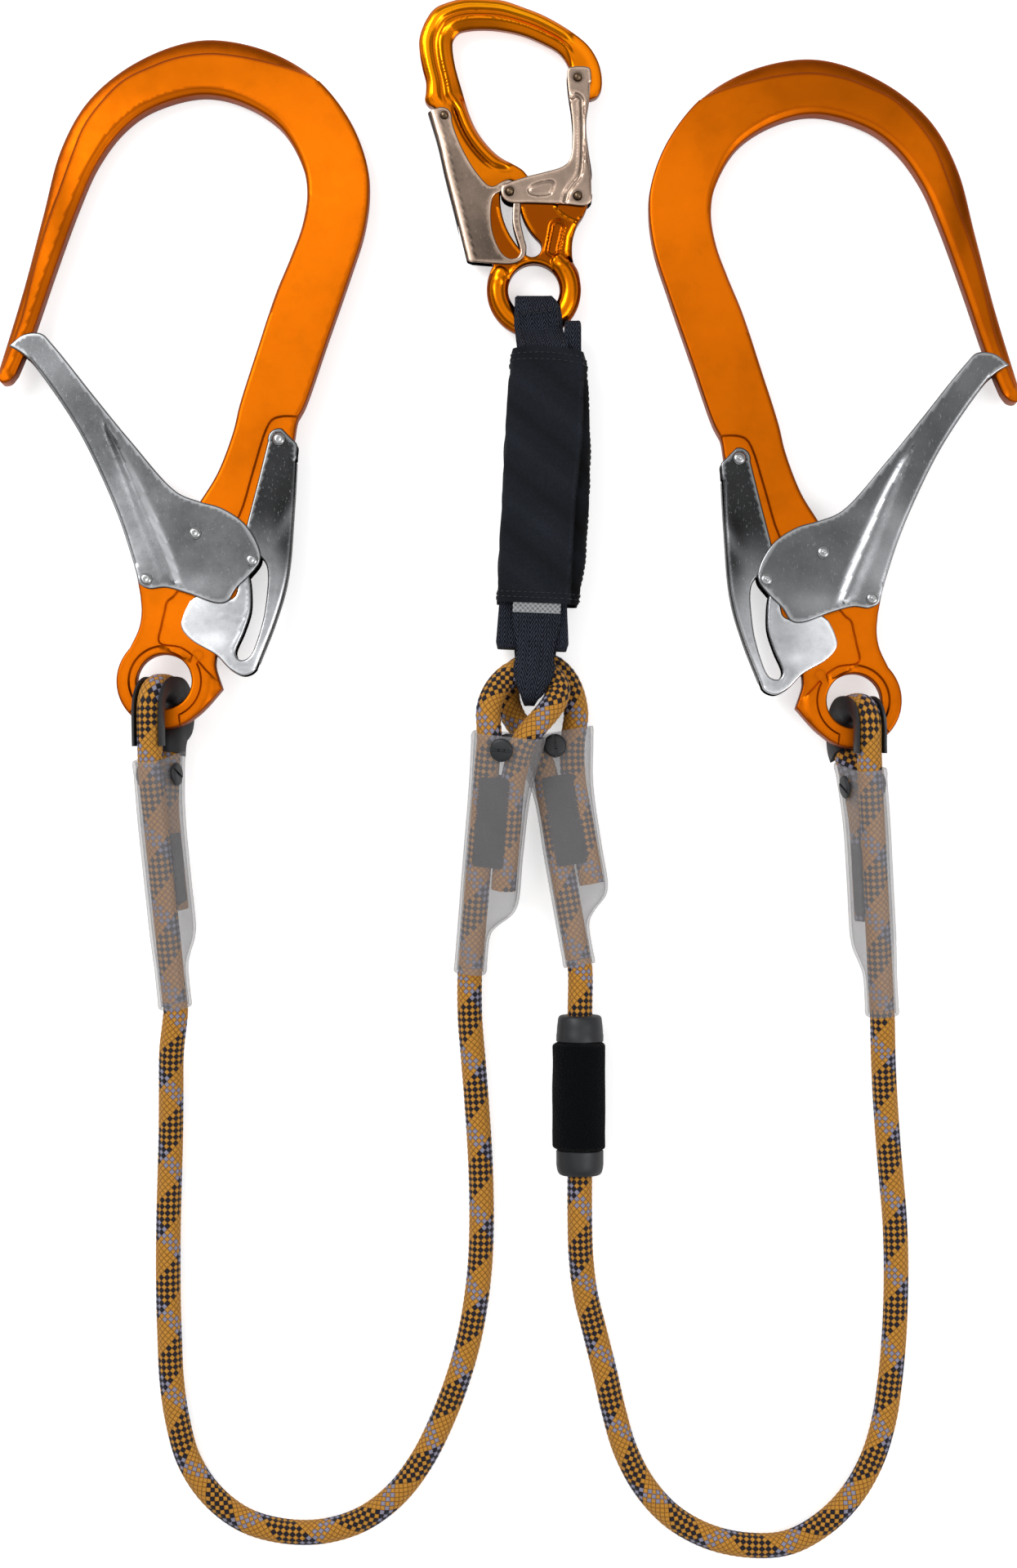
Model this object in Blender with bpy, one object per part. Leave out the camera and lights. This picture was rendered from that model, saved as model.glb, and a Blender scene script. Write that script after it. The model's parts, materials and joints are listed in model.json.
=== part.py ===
"""Twin shock-absorbing lanyard, laid flat on a surface: two rope legs with large
scaffold hooks, a webbing absorber in its cover, and a captive-eye connector.

Sizes are in millimetres and become metres where a mesh or an object is made.
X runs to the right, Y along the lanyard towards the connector, Z up from the surface.
"""

import math

import bmesh
import bpy
from mathutils import Matrix, Vector

MM = 0.001
GAP = 0.3

# Rope
ROPE_RADIUS = 6.0
STRAND_STEP = 13.0
ROPE_SIDES = 2

# Large hooks, drawn in a frame whose origin is the middle of the eye
HOOK_HALF = 6.0
HOOK_POCKET_HALF = 4.5
HOOK_EDGE = 1.8
HOOK_EYE_HOLE = 13.3
HOOK_EYE_OUTER = 23.0
HOOK_REACH = 313.6
SHEET = 1.2
HOOK_LEVER_FACE = HOOK_POCKET_HALF + GAP + SHEET
HOOK_GATE_FACE = HOOK_HALF + GAP + SHEET
GATE_PIVOT = (-8.7, 49.2)
GUIDE_RIVET = (42.5, 58.4)
SPACER_RIVET = (14.9, 71.6)
LEVER_PIVOT = (55.3, 117.6)
GATE_OPEN = math.radians(50)
LEVER_RATIO = 0.096
LEFT_EYE = (-166.9, -46.8)
RIGHT_EYE = (167.1, -56.2)
EYE_HEIGHT = 20.7
HOOK_TILT = math.asin((EYE_HEIGHT - HOOK_HALF) / HOOK_REACH)

# Connector, drawn in a frame whose origin is the middle of its eye
CONNECTOR_EYE = (12.2, 145.0)
CONNECTOR_HEIGHT = 9.6
BOW_HALF = 5.8
PLATE_HALF = 4.0
BOW_EDGE = 2.2
CONNECTOR_SHEET = 1.0
CONNECTOR_LEVER_FACE = PLATE_HALF + GAP + CONNECTOR_SHEET
CONNECTOR_GATE_FACE = CONNECTOR_LEVER_FACE + GAP + CONNECTOR_SHEET
CONNECTOR_EYE_HOLE = 12.6
CONNECTOR_EYE_OUTER = 23.0
CONNECTOR_GATE_PIVOT = (21.4, 45.2)
CONNECTOR_GUIDE = (-11.8, 47.4)
CONNECTOR_NOSE_PIN = (21.4, 103.0)
CONNECTOR_LEVER_PIVOT = (-43.6, 84.8)

# Absorber, drawn in a frame at the middle of its pack
ABSORBER_MIDDLE = (15.4, 50.8)
ABSORBER_LEAN = math.radians(-2.4)
ABSORBER_HALF = 17.3
COVER_WALL = 1.0
PACK_HALF = 12.9
STRAP = 2.0
STRAP_WIDTH = 23.5

# Splice sleeves: the mouth and the exit of the rope's main strand
SLEEVE_HALF = 8.4
SLEEVE_WALL = 1.4
SLEEVE_SIDE = 7.8
MOUTH_WIDTH = 33.5
SCREW_HEAD = 5.6

# Grip on the right rope
GRIP_AXIS_HEIGHT = 14.0
BAND_RADIUS = 13.9
COLLAR_RADIUS = 11.5

COLOURS = {
    "orange_satin": ("E8790F", 0.38, 1.0),
    "orange_polished": ("E8860C", 0.18, 1.0),
    "steel": ("9A9A9A", 0.35, 1.0),
    "spring_steel": ("7C7C7C", 0.4, 1.0),
    "black_plastic": ("26282B", 0.5, 0.0),
    "frosted_plastic": ("B9B1AF", 0.45, 0.0),
    "webbing": ("1D222C", 0.8, 0.0),
    "cover_fabric": ("17191E", 0.85, 0.0),
    "white_tape": ("D8D8D8", 0.7, 0.0),
    "rope": ("B07E35", 0.8, 0.0),
    "stitching": ("4A4D4F", 0.8, 0.0),
    "loop_fabric": ("101218", 0.95, 0.0),
}


# Outlines


def arc(centre, radius, start, end, steps):
    """Points on an arc, angles in degrees, both ends included."""
    found = []
    for i in range(steps + 1):
        a = math.radians(start + (end - start) * i / steps)
        found.append((centre[0] + radius * math.cos(a), centre[1] + radius * math.sin(a)))
    return found


def curve_through(points, steps, closed):
    """A centripetal Catmull-Rom curve through points of any size, with these steps a span."""
    count = len(points)
    spans = count if closed else count - 1
    vectors = [Vector(p) for p in points]

    def at(i):
        if closed:
            return vectors[i % count]
        if i < 0:
            return vectors[0] * 2 - vectors[1]
        if i >= count:
            return vectors[-1] * 2 - vectors[-2]
        return vectors[i]

    found = []
    for i in range(spans):
        a, b, c, d = at(i - 1), at(i), at(i + 1), at(i + 2)
        first = max((b - a).length, 1e-6) ** 0.5
        span = max((c - b).length, 1e-6) ** 0.5
        last = max((d - c).length, 1e-6) ** 0.5
        leaving = (b - a) / first - (c - a) / (first + span) + (c - b) / span
        arriving = (c - b) / span - (d - b) / (span + last) + (d - c) / last
        for k in range(steps):
            t = k / steps
            here = b * (2 * t**3 - 3 * t * t + 1) + c * (3 * t * t - 2 * t**3)
            here += leaving * span * (t**3 - 2 * t * t + t) + arriving * span * (t**3 - t * t)
            found.append(tuple(here))
    if not closed:
        found.append(tuple(vectors[-1]))
    return found


def outline(runs, steps=2):
    """A closed outline of smooth runs, which meet at corners."""
    found = []
    for run in runs:
        found.extend(curve_through(run, steps, False))
    kept = []
    for point in found:
        if not kept or math.dist(point, kept[-1]) > 0.05:
            kept.append(point)
    if math.dist(kept[0], kept[-1]) < 0.05:
        kept.pop()
    return kept


def signed_area(points):
    return 0.5 * sum(
        a[0] * b[1] - b[0] * a[1] for a, b in zip(points, points[1:] + points[:1])
    )


def inset(points, distance):
    """The outline moved inwards by a distance, along the bisector at each point."""
    turn = 1 if signed_area(points) > 0 else -1
    found = []
    for before, here, after in zip(points[-1:] + points[:-1], points, points[1:] + points[:1]):
        first = (Vector(here) - Vector(before)).normalized()
        second = (Vector(after) - Vector(here)).normalized()
        normal = Vector((-first.y - second.y, first.x + second.x)) * turn
        normal.normalize()
        side = Vector((-first.y, first.x)) * turn
        reach = distance / max(normal.dot(side), 0.5)
        found.append((here[0] + normal.x * reach, here[1] + normal.y * reach))
    return found


# Objects


def material(name):
    found = bpy.data.materials.get(name)
    if found:
        return found
    colour, roughness, metallic = COLOURS[name]
    found = bpy.data.materials.new(name)
    found.use_nodes = True
    shader = found.node_tree.nodes["Principled BSDF"]
    channels = [int(colour[i : i + 2], 16) / 255 for i in (0, 2, 4)]
    linear = [((c + 0.055) / 1.055) ** 2.4 if c > 0.04 else c / 12.92 for c in channels]
    shader.inputs["Base Color"].default_value = (*linear, 1)
    shader.inputs["Roughness"].default_value = roughness
    shader.inputs["Metallic"].default_value = metallic
    return found


def place(name, data, parent=None, at=(0, 0, 0)):
    obj = bpy.data.objects.new(name, data)
    bpy.context.scene.collection.objects.link(obj)
    obj.parent = parent
    obj.location = Vector(at) * MM
    return obj


def pivot(name, parent=None, at=(0, 0, 0), turn=None):
    empty = place(name, None, parent, at)
    if turn is not None:
        empty.rotation_euler = turn.to_euler()
    return empty


def finish(name, mesh_maker, kind, parent, at, smooth=None):
    """The mesh that a bmesh holds, in metres, as an object with its material."""
    bmesh.ops.recalc_face_normals(mesh_maker, faces=mesh_maker.faces)
    bmesh.ops.scale(mesh_maker, vec=(MM, MM, MM), verts=mesh_maker.verts)
    mesh = bpy.data.meshes.new(name)
    mesh_maker.to_mesh(mesh)
    mesh_maker.free()
    if smooth is not None:
        mesh.shade_smooth()
        mesh.set_sharp_from_angle(angle=math.radians(smooth))
    mesh.materials.append(material(kind))
    return place(name, mesh, parent, at)


def about(points, origin):
    return [(x - origin[0], y - origin[1]) for x, y in points]


def wall_rings(points, bottom, top, edge):
    """An outline's rings from the bottom to the top, the end rings moved by the chamfer."""
    if not edge:
        return [(points, bottom), (points, top)]
    small = inset(points, edge)
    rise = abs(edge)
    return [(small, bottom), (points, bottom + rise), (points, top - rise), (small, top)]


def add_plate(maker, points, holes, bottom, top, edge, lip=0):
    """A plate between two heights; its outline is chamfered, and the first hole by the lip."""
    walls = [wall_rings(points, bottom, top, edge)]
    for i, hole in enumerate(holes):
        walls.append(wall_rings(hole, bottom, top, 0 if i else -lip))
    caps = {bottom: [], top: []}
    for wall in walls:
        before = None
        for ring, height in wall:
            verts = [maker.verts.new((x, y, height)) for x, y in ring]
            if before:
                for i in range(len(verts)):
                    k = (i + 1) % len(verts)
                    maker.faces.new((before[i], before[k], verts[k], verts[i]))
            before = verts
            if height in caps:
                caps[height].extend(
                    edge_of(maker, verts[i], verts[(i + 1) % len(verts)])
                    for i in range(len(verts))
                )
    for edges in caps.values():
        bmesh.ops.triangle_fill(maker, edges=edges, use_beauty=True)


def edge_of(maker, a, b):
    return maker.edges.get((a, b)) or maker.edges.new((a, b))


def plate(name, points, holes, bottom, top, edge, kind, parent, origin=(0, 0), lip=0):
    maker = bmesh.new()
    holes = [about(hole, origin) for hole in holes]
    add_plate(maker, about(points, origin), holes, bottom, top, edge, lip)
    return finish(name, maker, kind, parent, (*origin, 0), smooth=28)


def turned(name, profile, sides, kind, parent, at=(0, 0, 0), axis="Z", smooth=35):
    """A closed profile of (radius, height) points, turned about an axis."""
    maker = bmesh.new()
    rings = []
    for radius, height in profile:
        if radius == 0:
            rings.append([maker.verts.new((0, 0, height))])
            continue
        ring = []
        for i in range(sides):
            a = 2 * math.pi * (i + 0.5) / sides
            ring.append(maker.verts.new((radius * math.cos(a), radius * math.sin(a), height)))
        rings.append(ring)
    open_ends = profile[0][0] == 0
    pairs = list(zip(rings, rings[1:])) + ([] if open_ends else [(rings[-1], rings[0])])
    for first, second in pairs:
        for i in range(sides):
            k = (i + 1) % sides
            corners = [first[i % len(first)], first[k % len(first)]]
            corners += [second[k % len(second)], second[i % len(second)]]
            unique = list(dict.fromkeys(corners))
            if len(unique) > 2:
                maker.faces.new(unique)
    if axis == "Y":
        turn = Matrix.Rotation(math.radians(-90), 3, "X")
        bmesh.ops.rotate(maker, matrix=turn, verts=maker.verts)
    return finish(name, maker, kind, parent, at, smooth=smooth)


def loft(name, outer, kind, parent, at=(0, 0, 0), inner=None, smooth=40):
    """Sections of equal point counts joined along their length, hollow where inner is given."""
    maker = bmesh.new()
    shells = [outer] if inner is None else [outer, inner]
    made = []
    for shell in shells:
        rings = [[maker.verts.new(point) for point in section] for section in shell]
        for first, second in zip(rings, rings[1:]):
            for i in range(len(first)):
                k = (i + 1) % len(first)
                maker.faces.new((first[i], first[k], second[k], second[i]))
        made.append(rings)
    for end in (0, -1):
        if inner is None:
            maker.faces.new(made[0][end])
            continue
        first, second = made[0][end], made[1][end]
        for i in range(len(first)):
            k = (i + 1) % len(first)
            maker.faces.new((first[i], first[k], second[k], second[i]))
    maker.normal_update()
    ends = [f for f in maker.faces if len(f.verts) > 4]
    bmesh.ops.triangulate(maker, faces=ends, ngon_method="EAR_CLIP")
    return finish(name, maker, kind, parent, at, smooth=smooth)


def band(name, rows, kind, across=(1, 0, 0)):
    """A strap along a route, with its width along one direction: rows of x, y, z, width, depth."""
    across = Vector(across).normalized()
    route = [Vector(row[:3]) for row in rows]
    sections = []
    for i, here in enumerate(route):
        before, after = route[max(i - 1, 0)], route[min(i + 1, len(route) - 1)]
        along = (after - before).normalized()
        side = (across - along * across.dot(along)).normalized()
        normal = along.cross(side)
        half, thick = rows[i][3] / 2, rows[i][4] / 2
        corners = [(-half, -thick), (half, -thick), (half, thick), (-half, thick)]
        sections.append([here + side * u + normal * v for u, v in corners])
    return loft(name, sections, kind, None)


def tube(name, route, radius, kind, parent=None, resolution=ROPE_SIDES):
    """A round cord: a poly curve through points of its route, with its ends filled."""
    curve = bpy.data.curves.new(name, "CURVE")
    curve.dimensions = "3D"
    curve.bevel_depth = radius * MM
    curve.bevel_resolution = resolution
    curve.use_fill_caps = True
    spline = curve.splines.new("POLY")
    spline.points.add(len(route) - 1)
    for point, where in zip(spline.points, route):
        point.co = (*(Vector(where) * MM), 1)
    curve.materials.append(material(kind))
    return place(name, curve, parent)


def even_route(points, spacing):
    """Points evenly spaced along a smooth curve through the route's own points."""
    fine = [Vector(p) for p in curve_through(points, 16, False)]
    lengths = [0.0]
    for a, b in zip(fine, fine[1:]):
        lengths.append(lengths[-1] + (b - a).length)
    count = max(2, round(lengths[-1] / spacing))
    found, k = [], 0
    for i in range(count + 1):
        target = lengths[-1] * i / count
        while k < len(fine) - 2 and lengths[k + 1] < target:
            k += 1
        share = (target - lengths[k]) / max(lengths[k + 1] - lengths[k], 1e-9)
        found.append(fine[k].lerp(fine[k + 1], share))
    return found


def boolean(target, cutter, operation="DIFFERENCE"):
    cutter.hide_render = True
    cutter.display_type = "WIRE"
    modifier = target.modifiers.new(cutter.name, "BOOLEAN")
    modifier.operation = operation
    modifier.solver = "EXACT"
    modifier.object = cutter


def rivet(name, at, shank, head, face, kind, parent, middle=None):
    """A rivet with two domed heads, whose shank may be thicker between the sheets."""
    dome = 1.1
    low = face + GAP
    profile = [(0, -low - dome), (head * 0.6, -low - dome * 0.85), (head, -low - 0.3), (head, -low)]
    profile += [(shank, -low), (shank, low)]
    profile += [(head, low), (head, low + 0.3), (head * 0.6, low + dome * 0.85), (0, low + dome)]
    if middle:
        radius, half = middle
        profile[5:5] = [(shank, -half), (radius, -half), (radius, half), (shank, half)]
    return turned(name, profile, 12, kind, parent, (*at, 0))


def torsion_spring(name, centre, radius, wire, turns, half, legs, kind, parent):
    """A coil round a rivet with a straight leg at each end, drawn as one unbroken tube."""
    per_turn = 9
    steps = round(turns * per_turn)
    pitch = 2 * (half - wire) / turns
    route = []
    for i in range(steps + 1):
        a = math.radians(legs[0]) + 2 * math.pi * i / per_turn
        height = -half + wire + pitch * i / per_turn
        route.append((radius * math.cos(a), radius * math.sin(a), height))
    moved = [(x + centre[0], y + centre[1], z) for x, y, z in route]
    return tube(name, moved, wire, kind, parent, resolution=1)


# Large hook


def hook_outlines():
    """The hook body's outline, seen with the eye at the bottom and the mouth to the left."""
    back = [(-82, 150), (-69.7, 191.6), (-60.5, 228), (-52.3, 260), (-40.3, 282.8), (-22.3, 299.6)]
    back += [(1.7, 311.6), (22.1, 315), (49.7, 309.2), (72.5, 295.6), (89.3, 274.4), (97.7, 252.8)]
    back += [(98.8, 238.4), (96.4, 220.4), (89.3, 197.6), (78.5, 166), (67.7, 134.4), (64.1, 127.2)]
    back += [(62.5, 118), (60.3, 108), (55.7, 94.4), (46.5, 74)]
    stop = arc(GATE_PIVOT, 44.8, 12, -26, 6)
    claw_root = [stop[-1], (26.6, 20.5), (24.9, 11.6)]
    claw = [(24.9, 11.6), (24.8, 7.2), (28.2, -3.6)]
    ring = arc((0, 0), HOOK_EYE_OUTER, -57, -224, 18)
    claw_back = [(28.2, -3.6), (19.5, -13.5), ring[0]]
    neck = [ring[-1], (-12.2, 25.6), (-11.0, 33.6), (-11.6, 41.5)]
    lug = arc(GATE_PIVOT, 4.3, 200, 60, 5)
    inner = [lug[-1], (-0.3, 60.4), (10.5, 76.4), (16.9, 87.2), (25.3, 101.2), (32.9, 121.6)]
    inner += [(35.9, 134.4), (44.5, 162), (53.3, 189.2), (60.5, 207), (66.2, 223), (68.5, 238.4)]
    inner += [(66.3, 252), (55.7, 270.8), (37.7, 282.8), (17.3, 287.2), (-7.9, 280.4)]
    inner += [(-22.3, 269.6), (-34.3, 252.8), (-42.7, 233.6), (-54, 202), (-64.5, 170.5)]
    inner += [(-69.7, 156.8), (-72.7, 149.7)]
    tip = [(-72.7, 149.7), (-76.5, 145.8), (-80, 145.6), (-82, 150)]
    runs = [back, stop, claw_root, claw, claw_back, ring, neck, lug, inner, tip]
    return outline(runs)


def hook_gate_outline():
    tip = [(-76.1, 163.2), (-68.7, 168.8), (-60.3, 169.2), (-54.7, 163.8), (-34.3, 138.4)]
    tip += [(-16.3, 116.4), (5.7, 92), (16.9, 87.2), (27.7, 84), (38.9, 76.4), (45.7, 65.2)]
    tip += [(46.5, 58.4), (41.7, 51.6), (34.9, 44.8), (30.5, 38.4), (25.3, 37.6), (11.3, 42.4)]
    tip += [(0.5, 45.2), (-7.1, 44.6), (-11.9, 47), (-13.7, 53), (-21.7, 77.6), (-29.9, 97.2)]
    tip += [(-42.3, 122), (-57.5, 145.2), (-66.3, 156.4), (-70.2, 159.8), (-76.1, 163.2)]
    return outline([tip])


def hook_lever_outline():
    top = arc(LEVER_PIVOT, 5.6, 190, 75, 6)
    right = [(61.2, 118.4), (64, 115.3), (63.9, 110.4), (62.5, 82), (59.7, 50), (54.1, 29.6)]
    right += [(45.3, 6.8)]
    low = [(45.3, 6.8), (42.5, 4), (38.1, 2.8), (32.1, 5.6), (25.3, 12.4), (12.9, 20), (8.1, 26.4)]
    low += [(9.3, 32.8), (12.2, 38.8)]
    left = [(12.2, 38.8), (16, 41.4), (20.5, 41.2), (24.5, 39.8), (29.5, 39.2), (34, 41)]
    left += [(35.4, 45.5), (35.6, 52), (36.6, 62), (39.8, 76.3), (45, 97), top[0]]
    return outline([top, right, low, left])


def hook_lever_slot():
    """The kidney slot that the guide rivet runs in as gate and lever turn together."""
    around = [(42.9, 61.6), (46.2, 60.4), (49.2, 56.5), (50.1, 51.6), (49.6, 42), (48.3, 32)]
    around += [(46.6, 25), (44.9, 19.5), (42.8, 14), (40.6, 11.1), (36.8, 10.2), (34.6, 13.4)]
    around += [(38.6, 24), (41.7, 34), (41.9, 44), (41.2, 50), (39.5, 56), (39.9, 60)]
    return curve_through(around, 1, True)


def circle(centre, radius, sides=12):
    return arc(centre, radius, 15, 375, sides)[:-1]


def kidney(centre, radius, half, start, end, steps=8):
    """A slot of constant width along an arc, with round ends."""
    outer = arc(centre, radius + half, start, end, steps)
    inner = arc(centre, radius - half, end, start, steps)
    ends = []
    for angle, sweep in ((end, 1), (start, -1)):
        a = math.radians(angle)
        middle = (centre[0] + radius * math.cos(a), centre[1] + radius * math.sin(a))
        turn = 1 if end > start else -1
        first = angle if sweep == 1 else angle + 180
        ends.append(arc(middle, half, first, first + 180 * turn, 6)[1:-1])
    return outer + ends[0] + inner + ends[1]


def hook_body(side, frame):
    spacer_radius = math.dist(GATE_PIVOT, SPACER_RIVET)
    start = math.degrees(
        math.atan2(SPACER_RIVET[1] - GATE_PIVOT[1], SPACER_RIVET[0] - GATE_PIVOT[0])
    )
    slot = kidney(GATE_PIVOT, spacer_radius, 2.7, start + 1, start - 51)
    eye = arc((0, 0), HOOK_EYE_HOLE, 0, 360, 24)[:-1]
    holes = [eye, slot, circle(GATE_PIVOT, 2.1), circle(LEVER_PIVOT, 2.1)]
    name = f"{side}_hook_body"
    points = hook_outlines()
    half = HOOK_HALF
    body = plate(name, points, holes, -half, half, HOOK_EDGE, "orange_satin", frame, lip=1.8)
    step = [(80, 127.8), (55.5, 128.7), (49.2, 124), (43, 103), (36, 80), (21, 58), (5.6, 43.5)]
    step += [(0.2, 33.6), (-1.5, 26.8), (-2.3, 18.4), (7.7, 16.4), (15, 12), (20, 5.6), (25.7, 0)]
    step += [(40, 0), (80, 40)]
    for word, low, high in (("top", HOOK_POCKET_HALF, 9), ("bottom", -9, -HOOK_POCKET_HALF)):
        cutter = plate(f"{name}_{word}_pocket", step, [], low, high, 0, "steel", frame)
        boolean(body, cutter)
    for word, where, radius in (("gate", GATE_PIVOT, 5.4), ("lever", LEVER_PIVOT, 6.6)):
        profile = [(0, -2.6), (radius, -2.6), (radius, 2.6), (0, 2.6)]
        cutter = turned(f"{name}_{word}_spring_slot", profile, 20, "steel", frame, (*where, 0))
        boolean(body, cutter)
    return body


def channel(name, points, holes, inside, face, kind, parent, origin):
    """A sheet folded into a U: the full outline, less all that lies inside the fold."""
    sheet = plate(name, points, holes, -face, face, 0, kind, parent, origin)
    wall = CONNECTOR_SHEET if name.startswith("connector") else SHEET
    low, high = -face + wall, face - wall
    cutter = plate(f"{name}_inside", inside, [], low, high, 0, kind, parent, origin)
    boolean(sheet, cutter)
    return sheet


def hook_gate(side, frame):
    web = [(-66.3, 156.4), (-57.5, 145.2), (-42.3, 122), (-29.9, 97.2), (-21.7, 77.6), (-15, 57)]
    fold = [(x + SHEET, y + 0.5) for x, y in curve_through(web, 2, False)]
    inside = fold + [(-16.5, 54), (-30, 54), (-30, 20), (80, 20), (80, 190), (-90, 190)]
    inside += [(-90, 157.5), (-68, 157.5)]
    holes = [circle(p, 2.1) for p in (GATE_PIVOT, GUIDE_RIVET, SPACER_RIVET)]
    return channel(
        f"{side}_hook_gate",
        hook_gate_outline(),
        holes,
        inside,
        HOOK_GATE_FACE,
        "steel",
        frame,
        GATE_PIVOT,
    )


def hook_lever(side, frame):
    web = [(63.4, 107), (62.5, 82), (61.4, 66), (59.7, 50), (54.1, 29.6), (45.3, 6.8)]
    fold = [(x - SHEET, y - 0.3) for x, y in curve_through(web, 2, False)]
    inside = fold[:-1] + [(46, 12), (46, -10), (-10, -10), (-10, 140), (80, 140), (80, 107)]
    holes = [circle(LEVER_PIVOT, 2.1), hook_lever_slot()]
    return channel(
        f"{side}_hook_lever",
        hook_lever_outline(),
        holes,
        inside,
        HOOK_LEVER_FACE,
        "steel",
        frame,
        LEVER_PIVOT,
    )


def build_hook(side, frame):
    hook_body(side, frame)
    hook_gate(side, frame)
    hook_lever(side, frame)
    face = HOOK_GATE_FACE
    rivet(f"{side}_hook_gate_rivet", GATE_PIVOT, 1.8, 3.0, face, "steel", frame)
    rivet(f"{side}_hook_guide_rivet", GUIDE_RIVET, 1.8, 3.0, face, "steel", frame)
    rivet(f"{side}_hook_spacer_rivet", SPACER_RIVET, 1.8, 3.0, face, "steel", frame)
    lever_face = HOOK_LEVER_FACE
    rivet(f"{side}_hook_lever_rivet", LEVER_PIVOT, 1.8, 3.0, lever_face, "steel", frame)
    for word, centre, leg in (("gate", GATE_PIVOT, 120), ("lever", LEVER_PIVOT, -30)):
        name = f"{side}_hook_{word}_spring"
        torsion_spring(name, centre, 2.8, 0.45, 3.0, 2.3, (leg, 0), "spring_steel", frame)


# Connector


def connector_body(frame):
    outer = [(27.8, 92.8), (30.8, 94.2), (32.8, 97.5), (33.2, 102.8), (31.5, 110.8), (26.8, 118.8)]
    outer += [(18.2, 126), (5, 133.7), (-5, 137.7), (-15, 141), (-24.2, 142), (-33.5, 142.1)]
    outer += [(-41.5, 140.3), (-48.2, 137.3), (-52.7, 131.4), (-55.8, 122.8), (-55.8, 116.1)]
    outer += [(-54.4, 108.2), (-52.7, 101.5), (-52.7, 96.2), (-53.1, 92.2), (-51.4, 89.9)]
    lug = [(-51.4, 89.9), (-48.6, 88.6)] + arc(CONNECTOR_LEVER_PIVOT, 4.4, 150, 200, 2)
    left = [lug[-1], (-43.4, 72.6), (-39, 60.6), (-32.6, 46.6), (-27.4, 32.6), (-22.6, 20.6)]
    left += [(-20.4, 12.6)]
    ring = arc((0, 0), CONNECTOR_EYE_OUTER, 149, 366, 18)
    right = [ring[-1], (21.6, 9.0), (19.2, 13.6), (18.6, 18.9), (19.2, 25.6), (21.2, 31.5)]
    right += [(24.2, 36.2), (26.2, 41)]
    pivot_lug = arc(CONNECTOR_GATE_PIVOT, 5.2, -30, 110, 6)
    throat = [pivot_lug[-1], (11, 49), (4, 51), (-2.3, 54.8), (-5.6, 58.4), (-11, 61.7)]
    throat += [(-17.6, 65.7), (-23.6, 71.7), (-28.2, 78.3), (-31.5, 85.6), (-34.8, 96.2)]
    throat += [(-38.5, 109.5), (-39.8, 118.8), (-39.5, 122.1), (-36.8, 125.7), (-32.2, 127)]
    throat += [(-24.2, 127.5), (-15, 126.7), (-5, 124.4), (5, 120.1), (11.6, 116.4)]
    throat += [(14.9, 112.8), (17.6, 107.8), (18.3, 104.9)]
    notch = arc(CONNECTOR_NOSE_PIN, 1.9, 90, -90, 5)
    nose = [(18.5, 101.1), (19.5, 96), (22, 93.2), (27.8, 92.8)]
    runs = [outer, lug, left, ring, right, pivot_lug, throat, notch, nose]
    points = outline(runs)
    guide_radius = math.dist(CONNECTOR_GATE_PIVOT, CONNECTOR_GUIDE)
    slot = kidney(CONNECTOR_GATE_PIVOT, guide_radius, 4.6, 174, 228)
    eye = arc((0, 0), CONNECTOR_EYE_HOLE, 0, 360, 24)[:-1]
    holes = [eye, slot, circle(CONNECTOR_GATE_PIVOT, 1.7), circle(CONNECTOR_LEVER_PIVOT, 1.7)]
    body = plate(
        "connector_body", points, holes, -PLATE_HALF, PLATE_HALF, 0.8, "orange_polished", frame
    )
    bow_outer = [(16, 126.6), (5, 133.1), (-5, 137.1), (-15, 140.4), (-24.2, 141.4), (-33.5, 141.5)]
    bow_outer += [(-41.5, 139.7), (-47.7, 136.8), (-52.2, 131), (-55.2, 122.8), (-55.2, 116.1)]
    bow_outer += [(-53.8, 108.2), (-52.1, 101.5), (-51.9, 96.2)]
    bow_inner = [(-49.6, 94), (-45, 92.4), (-39.5, 90.6), (-36.8, 86.5), (-36, 81.5)]
    bow_inner += [(-34, 75.5), (-30.2, 67.5), (-25.2, 60.6), (-21.5, 58.6), (-16.5, 58.6)]
    bow_inner += [(-13, 60.2), (-11.3, 62.3), (-18, 66.3), (-24.1, 72.2), (-28.7, 78.7)]
    bow_inner += [(-32.1, 85.8)]
    bow_inner += [(-35.4, 96.4), (-39.1, 109.6), (-40.4, 118.8), (-40.1, 122.3), (-37.1, 126.2)]
    bow_inner += [(-32.2, 127.6), (-24.2, 128.1), (-15, 127.3), (-5, 125), (4.8, 120.7)]
    bow_inner += [(13, 117)]
    bow = outline([bow_outer, [(-51.9, 96.2), (-49.6, 94)], bow_inner, [(13, 117), (16, 126.6)]])
    raised = plate(
        "connector_bow", bow, [], -BOW_HALF, BOW_HALF, BOW_EDGE, "orange_polished", frame
    )
    boolean(body, raised, "UNION")
    bead = arc((0, 0), CONNECTOR_EYE_OUTER - 0.6, 150, 390, 18)
    bead += arc((0, 0), CONNECTOR_EYE_HOLE + 0.6, 390, 150, 18)
    raised = plate(
        "connector_bead", bead, [], -BOW_HALF, BOW_HALF, BOW_EDGE, "orange_polished", frame
    )
    boolean(body, raised, "UNION")
    for word, where in (("gate", CONNECTOR_GATE_PIVOT), ("lever", CONNECTOR_LEVER_PIVOT)):
        profile = [(0, -2.0), (6.0, -2.0), (6.0, 2.0), (0, 2.0)]
        name = f"connector_{word}_spring_slot"
        boolean(body, turned(name, profile, 20, "steel", frame, (*where, 0)))
    return body


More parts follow.
